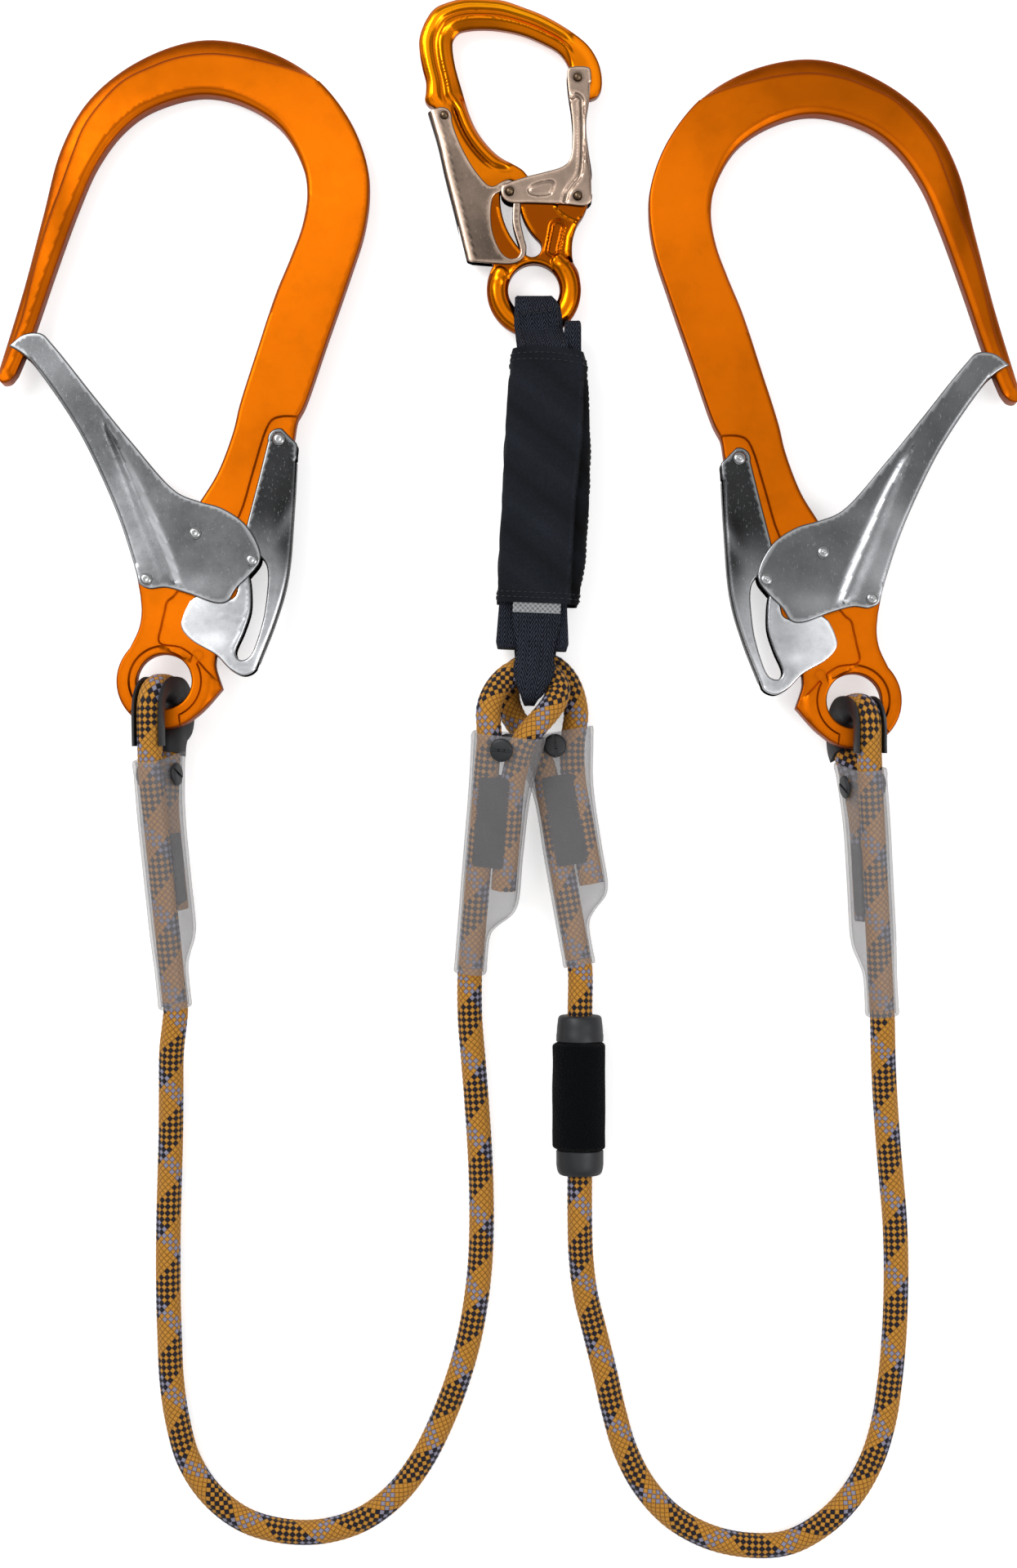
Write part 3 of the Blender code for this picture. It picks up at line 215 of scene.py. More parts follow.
def outline(runs, steps=8):
    """A closed outline of smooth runs, which meet at corners."""
    kept = []
    for point in (p for run in runs for p in curve_through(run, steps)):
        if not kept or math.dist(point, kept[-1]) > 0.05:
            kept.append(point)
    if math.dist(kept[0], kept[-1]) < 0.05:
        kept.pop()
    return kept


def lengths_along(points):
    """How far along a line each of its points is."""
    return np.concatenate([[0], np.cumsum(np.linalg.norm(np.diff(points, axis=0), axis=1))])


def even_route(points, spacing):
    """Points evenly spaced along a smooth curve through the route's own points."""
    fine = np.array(curve_through(points, 16))
    lengths = lengths_along(fine)
    targets = np.linspace(0, lengths[-1], max(2, round(lengths[-1] / spacing)) + 1)
    return [tuple(row) for row in np.stack([np.interp(targets, lengths, c) for c in fine.T], 1)]


def circle(centre, radius):
    return arc(centre, radius, 0, 360, 28)[:-1]


def kidney(centre, radius, half, start, end):
    """A slot of constant width along an arc, with round ends."""
    turn = 1 if end > start else -1
    found = arc(centre, radius + half, start, end, 30)
    for angle, first in ((end, end), (start, start + 180)):
        a = math.radians(angle)
        middle = (centre[0] + radius * math.cos(a), centre[1] + radius * math.sin(a))
        found += arc(middle, half, first, first + 180 * turn, 12)[1:-1]
        if angle == end:
            found += arc(centre, radius - half, end, start, 30)
    return found


def at_height(rows, y):
    """What a table, whose first column is the height and goes up, gives at a height."""
    heights, *columns = np.array(rows, float).T
    return [np.interp(y, heights, column) for column in columns]


def smooth_step(x):
    x = np.clip(x, 0, 1)
    return x * x * (3 - 2 * x)


def hump(x, width):
    """A bell that is 1 where x is 0 and has faded where it is twice the width."""
    return np.exp(-((x / width) ** 2))


def near(places, point):
    """How far each place is from a point."""
    return np.hypot(*(places - point).T)


def off_line(places, line, closed=False):
    """For each place, its distance from a line, on which side it is, and where along it is."""
    line = np.array(line, float)
    starts = line if closed else line[:-1]
    spans = (np.roll(line, -1, axis=0) if closed else line[1:]) - starts
    squares = (spans**2).sum(1).clip(1e-12)
    found = []
    for part in np.array_split(places, max(1, len(places) * len(starts) // 4_000_000)):
        out = part[:, None] - starts
        share = ((out * spans).sum(2) / squares).clip(0, 1)
        gaps = np.hypot(*np.moveaxis(out - share[..., None] * spans, 2, 0))
        best = gaps.argmin(1)
        rows = np.arange(len(part))
        cross = spans[best, 0] * out[rows, best, 1] - spans[best, 1] * out[rows, best, 0]
        where = (best + share[rows, best]) / len(starts)
        found.append(np.stack([gaps[rows, best], np.sign(cross), where]))
    return np.concatenate(found, axis=1)


def off_curve(places, points):
    """As off_line, for the smooth curve through the points."""
    return off_line(places, curve_through(points, 6))


def within(places, loops):
    """Which places lie inside the first loop and outside the others."""
    crossings = np.zeros(len(places), int)
    for loop in loops:
        a = np.array(loop, float)
        b = np.roll(a, -1, axis=0)
        for (x0, y0), (x1, y1) in zip(a, b):
            if y0 == y1:
                continue
            spans = (places[:, 1] < y0) != (places[:, 1] < y1)
            meet = x0 + (places[:, 1] - y0) * (x1 - x0) / (y1 - y0)
            crossings += spans & (places[:, 0] < meet)
    return crossings % 2 == 1


def inwards(places, loop):
    """How far inside a loop each place is; less than nothing outside it."""
    gap = off_line(places, loop, True)[0]
    return np.where(within(places, [loop]), gap, -gap)


# Meshes, in millimetres


def split(line, longest, closed=True):
    """A line with its long straight bits cut up, so that no bit is longer than this."""
    found = []
    for a, b in zip(line, line[1:] + line[:1] if closed else line[1:]):
        count = max(1, math.ceil(math.dist(a, b) / longest))
        found += [tuple(np.array(a) + (np.array(b) - a) * k / count) for k in range(count)]
    return found if closed else found + [tuple(line[-1])]


def beside(line, distance, closed):
    """The points of a line moved sideways by a distance."""
    line = np.array(line, float)
    before = np.roll(line, 1, axis=0) if closed else np.concatenate([line[:1], line[:-1]])
    after = np.roll(line, -1, axis=0) if closed else np.concatenate([line[1:], line[-1:]])
    along = after - before
    along /= np.linalg.norm(along, axis=1)[:, None].clip(1e-9)
    return line + np.stack([-along[:, 1], along[:, 0]], 1) * distance


def relief(loops, height, lines, rims, grain):
    """A closed plate inside its loops whose two faces both follow height(places, depth).

    Depth is how far a place is from the nearest edge. Lines are pairs of a line and the
    distances beside it at which the mesh gets a row of points, so that a crease stays crisp.
    Rims are the rows of points along the edges, and grain is from one point to the next.
    """
    loops = [split(loop, grain * 0.8) for loop in loops]

    def depth_of(places):
        return np.min([off_line(places, loop, True)[0] for loop in loops], axis=0)

    wanted = []
    for line, offsets in lines:
        for offset in offsets:
            wanted.append((beside(split(line, 0.9, False), offset, False), 0.25))
    for rim in rims:
        for loop in loops:
            wanted += [(beside(loop, rim * side, True), rim * 0.93) for side in (1, -1)]
    low, high = np.min(loops[0], axis=0), np.max(loops[0], axis=0)
    rows = np.arange(low[1], high[1], grain * 0.866)
    columns = np.arange(low[0], high[0], grain)
    field = [(x + grain / 2 * (i % 2), y) for i, y in enumerate(rows) for x in columns]
    wanted.append((np.array(field), rims[-1] + grain * 0.4))
    chosen = []
    for places, least in wanted:
        places = places[within(places, loops)]
        places = places[depth_of(places) > least]
        if least > rims[-1] and chosen:
            taken = np.concatenate(chosen)
            gaps = [near(taken, p).min() for p in places]
            places = places[np.array(gaps) > grain * 0.42]
        chosen.append(places)
    edges, points = [], []
    for loop in loops:
        start, count = len(points), len(loop)
        points += loop
        edges += [(start + i, start + (i + 1) % count) for i in range(count)]
    points += [tuple(p) for p in np.unique(np.concatenate(chosen).round(2), axis=0)]
    cut = delaunay_2d_cdt([Vector(p) for p in points], edges, [], 0, 1e-4)
    places = np.array([tuple(p) for p in cut[0]])
    faces = np.array(cut[2])
    faces = faces[within(places[faces].mean(1), loops)]
    a, b, c = places[faces[:, 0]], places[faces[:, 1]], places[faces[:, 2]]
    area = (b[:, 0] - a[:, 0]) * (c[:, 1] - a[:, 1]) - (b[:, 1] - a[:, 1]) * (c[:, 0] - a[:, 0])
    faces[area < 0] = faces[area < 0][:, ::-1]
    faces = faces[abs(area) > 1e-7]
    used = np.unique(faces)
    renumber = np.full(len(places), -1)
    renumber[used] = np.arange(len(used))
    places, faces = places[used], renumber[faces]
    z = height(places, depth_of(places))
    total = len(places)
    sides = np.concatenate([faces[:, [0, 1]], faces[:, [1, 2]], faces[:, [2, 0]]])
    keys = {tuple(pair) for pair in sides.tolist()}
    rim = [(a, b) for a, b in keys if (b, a) not in keys]
    vertices = np.concatenate([np.c_[places, z], np.c_[places, -z]])
    skin = faces.tolist() + (faces[:, ::-1] + total).tolist()
    skin += [(a, a + total, b + total, b) for a, b in sorted(rim)]
    return vertices, skin


def rounded(depth, radius):
    """How far a face drops towards a rounded edge."""
    inner = (radius - depth).clip(0, radius)
    return radius - np.sqrt((radius**2 - inner**2).clip(0))


def prism(loop, low, high):
    """A plain closed plate, used as a cutter."""
    count = len(loop)
    vertices = [(x, y, z) for z in (low, high) for x, y in loop]
    skin = [(i, (i + 1) % count, (i + 1) % count + count, i + count) for i in range(count)]
    return np.array(vertices), skin + [tuple(range(count))[::-1], tuple(range(count, 2 * count))]


def lathe(profile, sides):
    """An open profile of (radius, height) points that starts and ends on the axis."""
    angles = np.arange(sides) * 2 * np.pi / sides
    vertices = [(0, 0, profile[0][1])]
    for radius, z in profile[1:-1]:
        vertices += [(radius * math.cos(a), radius * math.sin(a), z) for a in angles]
    vertices.append((0, 0, profile[-1][1]))
    last, skin = len(vertices) - 1, []
    for i in range(sides):
        k = (i + 1) % sides
        skin.append((0, 1 + i, 1 + k))
        for row in range(len(profile) - 3):
            a, b = 1 + row * sides, 1 + (row + 1) * sides
            skin.append((a + i, b + i, b + k, a + k))
        a = 1 + (len(profile) - 3) * sides
        skin.append((last, a + k, a + i))
    return np.array(vertices), skin


def ring_lathe(profile, sides):
    """A closed profile of (radius, height) points, turned about Z."""
    count = len(profile)
    vertices = [
        (r * math.cos(a), r * math.sin(a), z)
        for a in np.arange(sides) * 2 * np.pi / sides
        for r, z in profile
    ]
    skin = []
    for i in range(sides):
        k = (i + 1) % sides
        for j in range(count):
            m = (j + 1) % count
            skin.append((i * count + j, k * count + j, k * count + m, i * count + m))
    return np.array(vertices), skin


def lofted(sections, closed_ring=False):
    """Sections of equal point counts joined along their length, with capped ends."""
    sections = np.array(sections, float)
    rows, count = sections.shape[:2]
    vertices = sections.reshape(-1, 3)
    skin = []
    for row in range(rows if closed_ring else rows - 1):
        a, b = row * count, ((row + 1) % rows) * count
        for i in range(count):
            k = (i + 1) % count
            skin.append((a + i, a + k, b + k, b + i))
    if not closed_ring:
        for row, order in ((0, -1), (rows - 1, 1)):
            vertices = np.concatenate([vertices, [sections[row].mean(0)]])
            tip, a = len(vertices) - 1, row * count
            for i in range(count):
                skin.append((tip, a + i, a + (i + 1) % count)[::order])
    return vertices, skin


def shell(outer, inner):
    """A tube with a wall: outer and inner sections joined at both ends."""
    outer, inner = np.array(outer, float), np.array(inner, float)
    return lofted(np.concatenate([outer, inner[::-1]]), closed_ring=True)


def frames_along(route):
    """For each point of a route: the point, its direction, and two directions across it."""
    route = np.array(route, float)
    along = np.gradient(route, axis=0)
    along /= np.linalg.norm(along, axis=1)[:, None]
    steep = abs(along[0][2]) > 0.9
    side = np.array((1.0, 0.0, 0.0) if steep else (0.0, 0.0, 1.0))
    sides = []
    for direction in along:
        side = side - direction * (side @ direction)
        side = side / np.linalg.norm(side)
        sides.append(side)
    sides = np.array(sides)
    return route, along, sides, np.cross(along, sides)


def to_row(at, turn=None):
    """The matrix from a millimetre frame at a place of the row frame, to metres."""
    turn = Matrix.Identity(3) if turn is None else turn
    return Matrix.Scale(MM, 4) @ Matrix.Translation(Vector(at)) @ turn.to_4x4()


def splice_matrix(mouth, leave, tail_side):
    """From a splice's frame, X to the tail, Y down the rope and Z out of its face."""
    along = (Vector(leave) - Vector(mouth)).normalized()
    side = Vector(tail_side)
    side = (side - along * side.dot(along)).normalized()
    return to_row(mouth, Matrix((side, along, side.cross(along))).transposed())


HOOK_TURN = Matrix.Rotation(-HOOK_TILT, 3, "X")
HOOK_FRAMES = {
    "left": to_row((*EYES["left"], EYE_HEIGHT), HOOK_TURN),
    "right": to_row((*EYES["right"], EYE_HEIGHT), HOOK_TURN @ Matrix.Rotation(math.pi, 3, "Y")),
}
CONNECTOR_FRAME = to_row(CONNECTOR_EYE)
ABSORBER_FRAME = to_row(ABSORBER_AT, Matrix.Rotation(ABSORBER_LEAN, 3, "Z"))
GRIP_FRAME = to_row(GRIP_AT, Matrix.Rotation(math.radians(-90), 3, "X"))
WORLD_FRAME = to_row((0, 0, 0))


# Pieces


def smooth(mesh, crease):
    mesh.shade_smooth()
    mesh.set_sharp_from_angle(angle=math.radians(crease))
    return mesh


def face_out(mesh, *others):
    """Joins other meshes to a mesh, and turns all its faces outwards."""
    maker = bmesh.new()
    for source in (mesh, *others):
        maker.from_mesh(source)
    bmesh.ops.recalc_face_normals(maker, faces=maker.faces)
    maker.to_mesh(mesh)
    maker.free()


def flat_places(mesh):
    return np.array([v.co[:2] for v in mesh.vertices])


def store(mesh, name, values, domain="POINT"):
    """Keeps a value for each point or face of a mesh, which its material reads."""
    layer = mesh.attributes.new(name, "FLOAT", domain)
    layer.data.foreach_set("value", np.asarray(values, np.float32))
    return mesh


def mesh_from(name, shape, matrix=None, uv=None, crease=32):
    """A mesh of millimetre vertices and faces, shaded smooth up to a crease angle."""
    vertices, skin = shape
    mesh = bpy.data.meshes.new(name)
    mesh.from_pydata([tuple(v) for v in np.asarray(vertices, float)], [], [tuple(f) for f in skin])
    if uv is not None:
        layer = mesh.uv_layers.new(name="surface")
        layer.data.foreach_set("uv", np.asarray(uv, np.float32).ravel())
    face_out(mesh)
    if matrix is not None:
        mesh.transform(matrix)
    return smooth(mesh, crease)


def drop(*objects):
    for obj in objects:
        bpy.data.objects.remove(obj)


def plain(name, data):
    """An object in the scene with this mesh, camera or lamp."""
    obj = bpy.data.objects.new(name, data)
    bpy.context.scene.collection.objects.link(obj)
    return obj


def as_mesh(obj):
    """The mesh that an object's modifiers make of it; the object itself goes."""
    depsgraph = bpy.context.evaluated_depsgraph_get()
    mesh = bpy.data.meshes.new_from_object(obj.evaluated_get(depsgraph), depsgraph=depsgraph)
    obj.modifiers.clear()
    drop(obj)
    return mesh


def carved(name, shape, cutters, crease=32):
    """A closed shape with closed cutters taken out of it, still in millimetres."""
    body = plain(name, mesh_from(name, shape))
    tools = []
    for i, cutter in enumerate(cutters):
        tools.append(plain(f"{name}_cutter_{i}", mesh_from(name, cutter)))
        taken = body.modifiers.new("cut", "BOOLEAN")
        taken.solver, taken.operation, taken.object = "EXACT", "DIFFERENCE", tools[-1]
    mesh = as_mesh(body)
    drop(*tools)
    mesh.materials.clear()
    return smooth(mesh, crease)


def put(name, mesh, finish, body, nodes, matrix=None):
    """One finished piece in the row frame: its material, its body and what it stands for."""
    if matrix is not None:
        mesh = mesh.copy()
        mesh.transform(matrix)
    mesh.name = name
    mesh.materials.clear()
    mesh.materials.append(finish)
    obj = plain(name, mesh)
    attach(obj, body)
    if nodes:
        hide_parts(*nodes)
    return obj


# Materials


def add_node(tree, kind, inputs=None, **settings):
    """Adds one node: settings are its properties, inputs are values or sockets to link."""
    made = tree.nodes.new(kind)
    for key, value in settings.items():
        setattr(made, key, value)
    for key, value in (inputs or {}).items():
        if isinstance(value, bpy.types.NodeSocket):
            tree.links.new(value, made.inputs[key])
        else:
            made.inputs[key].default_value = value
    return made


def output_of(tree, kind, inputs=None, output=0, **settings):
    return add_node(tree, kind, inputs, **settings).outputs[output]


def own_place(tree, kind="Object"):
    return output_of(tree, "ShaderNodeTexCoord", output=kind)


def stored(tree, name):
    """A value that the mesh keeps for each point or face; 0 on a mesh that has none."""
    return output_of(tree, "ShaderNodeAttribute", output="Fac", attribute_name=name)


def noise(tree, place, scale, detail, roughness=0.5):
    values = {"Vector": place, "Scale": scale, "Detail": detail, "Roughness": roughness}
    return output_of(tree, "ShaderNodeTexNoise", values, "Fac")


def blend(tree, share, first, second, **settings):
    """One colour, and as much of the second as the share says."""
    values = {0: share, 6: first, 7: second}
    return output_of(tree, "ShaderNodeMix", values, 2, data_type="RGBA", **settings)


def bump(tree, height, distance, normal=None):
    values = {"Height": height, "Distance": distance}
    if normal is not None:
        values["Normal"] = normal
    return output_of(tree, "ShaderNodeBump", values)


def ramp(tree, factor, stops):
    """Colours or levels of grey along a factor: pairs of a place and a colour or level."""
    made = add_node(tree, "ShaderNodeValToRGB", {"Fac": factor})
    places = made.color_ramp.elements
    while len(places) < len(stops):
        places.new(0.5)
    for element, (place, colour) in zip(places, stops):
        element.position = place
        element.color = (*colour, 1) if isinstance(colour, tuple) else (colour,) * 3 + (1,)
    return made.outputs["Color"]


def formula(tree, known, steps):
    """A chain of Math nodes: each step is a result's name, an operation and its terms."""
    for name, operation, *terms in steps:
        values = {i: known.get(term, term) for i, term in enumerate(terms)}
        known[name] = output_of(tree, "ShaderNodeMath", values, operation=operation)
    return known


def new_surface(name, colour, roughness, metallic=0.0, **constants):
    """A material with its constants on the shader's own sockets."""
    material = bpy.data.materials.new(name)
    material.use_nodes = True
    shader = material.node_tree.nodes["Principled BSDF"]
    constants = {key.replace("_", " "): value for key, value in constants.items()}
    constants |= {"Base Color": (*colour, 1), "Roughness": roughness, "Metallic": metallic}
    for key, value in constants.items():
        shader.inputs[key].default_value = value
    return material, material.node_tree, shader


def tinted(colour, share):
    """The colour made darker or lighter by a share."""
    return tuple(min(1.0, c * share) for c in colour)


def painted_light_toned(tree, colour):
    """The colour made lighter or darker by the mesh's own tone, which holds painted light and
    shade.
    """
    share = output_of(tree, "ShaderNodeMath", {0: stored(tree, "tone"), 1: 1.0}, operation="ADD")
    values = {0: colour, "Scale": share}
    return output_of(tree, "ShaderNodeVectorMath", values, operation="SCALE")


def worked(name, colour, spread, patch, gloss, layers, metallic=0.0, stretch=None, **constants):
    """A metal or plastic whose tone varies over patches, and its roughness from low to high.

    Spread is the darkest and the lightest tone as shares of the colour, and patch is in mm.
    Each layer of noise that stands up from the face is a grain in mm, a height in mm and a
    detail.
    """
    material, tree, shader = new_surface(name, colour, gloss[0], metallic, **constants)
    place = own_place(tree)
    tones = zip((0.28, 0.5, 0.74), (tinted(colour, spread[0]), colour, tinted(colour, spread[1])))
    base = ramp(tree, noise(tree, place, 1 / (patch * MM), 5.0, 0.65), list(tones))
    tree.links.new(base, shader.inputs["Base Color"])
    values = {"Value": noise(tree, place, 2.7 / (patch * MM), 6.0, 0.7)}
    values |= {"From Min": 0.3, "From Max": 0.7, "To Min": gloss[0], "To Max": gloss[1]}
    rough = output_of(tree, "ShaderNodeMapRange", values)
    tree.links.new(rough, shader.inputs["Roughness"])
    if stretch:
        place = output_of(tree, "ShaderNodeMapping", {"Vector": place, "Scale": stretch})
    normal = None
    for grain, height, detail in layers:
        normal = bump(tree, noise(tree, place, 1 / (grain * MM), detail, 0.6), height * MM, normal)
    tree.links.new(normal, shader.inputs["Normal"])
    return material, tree, shader, base


def anodised(name, colour, gloss, layers, deep):
    """Anodised aluminium: dyed oxide over bare metal, with painted shade towards the deep colour
    where the mesh's crease value is high.
    """
    material, tree, shader, base = worked(name, colour, (0.86, 1.06), 26, gloss, layers, 1.0)
    # Painted shade: the deep colour along creases, steps and edges, over the tone's painted light
    # and shade.
    dyed = blend(tree, stored(tree, "crease"), painted_light_toned(tree, base), (*linear(deep), 1))
    tree.links.new(dyed, shader.inputs["Base Color"])
    return material


def pressed_steel(name, colour, gloss, blotch):
    """Tumbled sheet steel: a soft sheen with blotches, fine pits and a few long scratches.

    Faces on the inside of a fold are painted near black, a painted shade, and the mesh's tone adds
    painted light and shade.
    """
    layers = [(0.5, 0.006, 3.0), (9.0, 0.05, 1.0), (34.0, 0.5, 0.0)]
    material, tree, shader, base = worked(name, colour, (blotch, 1.2), 15, gloss, layers, 1.0)
    lines = add_node(tree, "ShaderNodeMapping", {"Vector": own_place(tree), "Scale": (1, 0.3, 1)})
    lines.inputs["Rotation"].default_value = (0, 0, 0.6)
    scratches = noise(tree, lines.outputs[0], 1700.0, 2.0)
    marks = ramp(tree, scratches, [(0.0, 0.0), (0.64, 0.0), (0.72, 0.3)])
    bright = blend(tree, marks, painted_light_toned(tree, base), (*tinted(colour, 2.6), 1))
    # Painted shade: faces inside a fold are near black.
    painted_fold_shade = blend(tree, stored(tree, "inside"), bright, (0.012, 0.012, 0.013, 1))
    tree.links.new(painted_fold_shade, shader.inputs["Base Color"])
    return material


def frosted_polyurethane(colour):
    """Moulded frosted polyurethane: a milky, see-through skin that veils what is inside.

    It is denser where the eye meets it at a slant, and lets most light through to the rope.
    """
    layers = [(1.2, 0.03, 3.0), (9.0, 0.12, 1.0)]
    material, tree, shader, _ = worked(
        "frosted_polyurethane", colour, (0.93, 1.05), 14, (0.34, 0.5), layers, IOR=1.45
    )
    known = {"facing": output_of(tree, "ShaderNodeLayerWeight", {"Blend": 0.5}, "Facing")}
    known["shade"] = output_of(tree, "ShaderNodeLightPath", output="Is Shadow Ray")
    steps = [("edge", "POWER", "facing", 3.0), ("veil", "MULTIPLY_ADD", "edge", 0.36, 0.25)]
    steps += [("let", "MULTIPLY_ADD", "shade", -0.8, 1.0), ("alpha", "MULTIPLY", "veil", "let")]
    tree.links.new(formula(tree, known, steps)["alpha"], shader.inputs["Alpha"])
    return material


def sheath(rope):
    """Braided polyester: strands cross one over one, and two groups are dyed as tracers.

    The map's U goes once round and its V is in lays, as the mesh's own relief does.
    """
    material, tree, shader = new_surface(
        "braided_polyester", tuple(rope.gold), 0.62, Specular_IOR_Level=0.2, Sheen_Weight=0.08
    )
    parts = add_node(tree, "ShaderNodeSeparateXYZ", {0: own_place(tree, "UV")})
    carriers = float(rope.carriers)
    yarns = 31.4  # five yarns side by side in a strand, as an angle
    known = {"u": parts.outputs[0], "v": parts.outputs[1]}
    steps = [("round", "MULTIPLY", "u", carriers), ("along", "MULTIPLY", "v", carriers)]
    steps += [("s", "ADD", "round", "along"), ("t", "SUBTRACT", "round", "along")]
    for way, dyed in (("s", 3.0), ("t", 6.0)):
        steps += [(f"{way}_cell", "FLOOR", way), (f"{way}_part", "FRACT", way)]
        steps += [(f"{way}_strand", "FLOORED_MODULO", f"{way}_cell", carriers)]
        steps += [(f"{way}_off", "SUBTRACT", f"{way}_part", 0.5)]
        steps += [(f"{way}_wide", "ABSOLUTE", f"{way}_off")]
        steps += [(f"{way}_tracer", "LESS_THAN", f"{way}_strand", dyed)]
        steps += [(f"{way}_turn", "MULTIPLY", f"{way}_part", yarns)]
        steps += [(f"{way}_yarn", "SINE", f"{way}_turn")]
    steps += [("sum", "ADD", "s_cell", "t_cell"), ("turn", "FLOORED_MODULO", "sum", 2.0)]
    steps += [("over", "LESS_THAN", "turn", 0.5), ("edge", "MAXIMUM", "s_wide", "t_wide")]
    known = formula(tree, known, steps)
    gold = (*rope.gold, 1)
    lilac = blend(tree, known["s_tracer"], gold, (*rope.lilac, 1))
    navy = blend(tree, known["t_tracer"], gold, (*rope.navy, 1))
    strand = blend(tree, known["over"], navy, lilac)
    values = {0: known["over"], 2: known["t_yarn"], 3: known["s_yarn"]}
    yarn = output_of(tree, "ShaderNodeMix", values, data_type="FLOAT")
    fuzz = noise(tree, own_place(tree), 2200.0, 4.0)
    shade = ramp(tree, known["edge"], [(0.0, 1.0), (0.34, 0.95), (0.5, (0.3, 0.24, 0.2))])
    dusty = ramp(tree, fuzz, [(0.3, 0.8), (0.7, 1.15)])
    shaded = blend(tree, 1.0, strand, shade, blend_type="MULTIPLY")
    worn = blend(tree, 1.0, shaded, dusty, blend_type="MULTIPLY")
    tree.links.new(worn, shader.inputs["Base Color"])
    hairs = bump(tree, fuzz, 0.0001, bump(tree, yarn, 0.00006))
    tree.links.new(hairs, shader.inputs["Normal"])
    return material


def woven(name, colour, pitch, height, rib=0, roughness=0.8, light=1.9, swing=0.16):
    """A weave on a map that is in millimetres: plain, or ribs that run in a herringbone.

    Threads are about 0.4 mm on the real cloth and are drawn coarser, so that they show.
    Light is the tone of the most raised thread, a painted highlight, and swing how far the weave
    moves the tone.
    """
    material, tree, shader = new_surface(name, colour, roughness, Specular_IOR_Level=0.16)
    parts = add_node(tree, "ShaderNodeSeparateXYZ", {0: own_place(tree, "UV")})
    known = {"u": parts.outputs[0], "v": parts.outputs[1]}
    turn = 2 * math.pi / pitch
    if rib:
        steps = [("bay", "DIVIDE", "u", rib), ("saw", "FRACT", "bay")]
        steps += [("off", "SUBTRACT", "saw", 0.5), ("peak", "ABSOLUTE", "off")]
        steps += [("rise", "MULTIPLY", "peak", rib * 2.0), ("line", "ADD", "v", "rise")]
        steps += [("a", "MULTIPLY", "line", turn), ("wave", "SINE", "a")]
        steps += [("b", "MULTIPLY", "u", turn * 1.7), ("cross", "SINE", "b")]
        steps += [("half", "MULTIPLY", "cross", 0.45), ("thread", "ADD", "wave", "half")]
    else:
        steps = [("a", "MULTIPLY", "u", turn), ("b", "MULTIPLY", "v", turn)]
        steps += [("sa", "SINE", "a"), ("sb", "SINE", "b"), ("thread", "MULTIPLY", "sa", "sb")]
    place = own_place(tree)
    known |= {"lint": noise(tree, place, 700.0, 8.0), "wear": noise(tree, place, 45.0, 3.0)}
    steps += [("lifted", "MULTIPLY_ADD", "thread", swing, 0.25), ("low", "MULTIPLY", "lint", 0.5)]
    steps += [("worn", "MULTIPLY_ADD", "wear", 0.35, "low"), ("tone", "ADD", "lifted", "worn")]
    known = formula(tree, known, steps)
    # The raised threads are painted lighter, a painted highlight, and the low ones darker, painted
    # shade; lint and wear vary the tone at random.
    tones = [(0.3, tinted(colour, 0.5)), (0.62, colour), (0.95, tinted(colour, light))]
    shaded = painted_light_toned(tree, ramp(tree, known["tone"], tones))
    tree.links.new(shaded, shader.inputs["Base Color"])
    threads = bump(tree, known["thread"], height * MM)
    rough = bump(tree, known["lint"], height * 0.6 * MM, threads)
    tree.links.new(rough, shader.inputs["Normal"])
    return material


def looped(name, colour):
    """Brushed loop fabric: a matt, fuzzy knit with lint caught in it."""
    material, tree, shader = new_surface(
        name, colour, 0.95, Specular_IOR_Level=0.1, Sheen_Weight=0.02
    )
    place = own_place(tree)
    curls = output_of(tree, "ShaderNodeTexVoronoi", {"Vector": place, "Scale": 900.0}, "Distance")
    lint = noise(tree, place, 1300.0, 8.0)
    tones = [(0.35, tinted(colour, 0.5)), (0.58, colour), (0.78, tinted(colour, 2.4))]
    tree.links.new(ramp(tree, lint, tones), shader.inputs["Base Color"])
    tree.links.new(bump(tree, lint, 0.0005, bump(tree, curls, 0.0006)), shader.inputs["Normal"])
    return material


FINISHES = {}


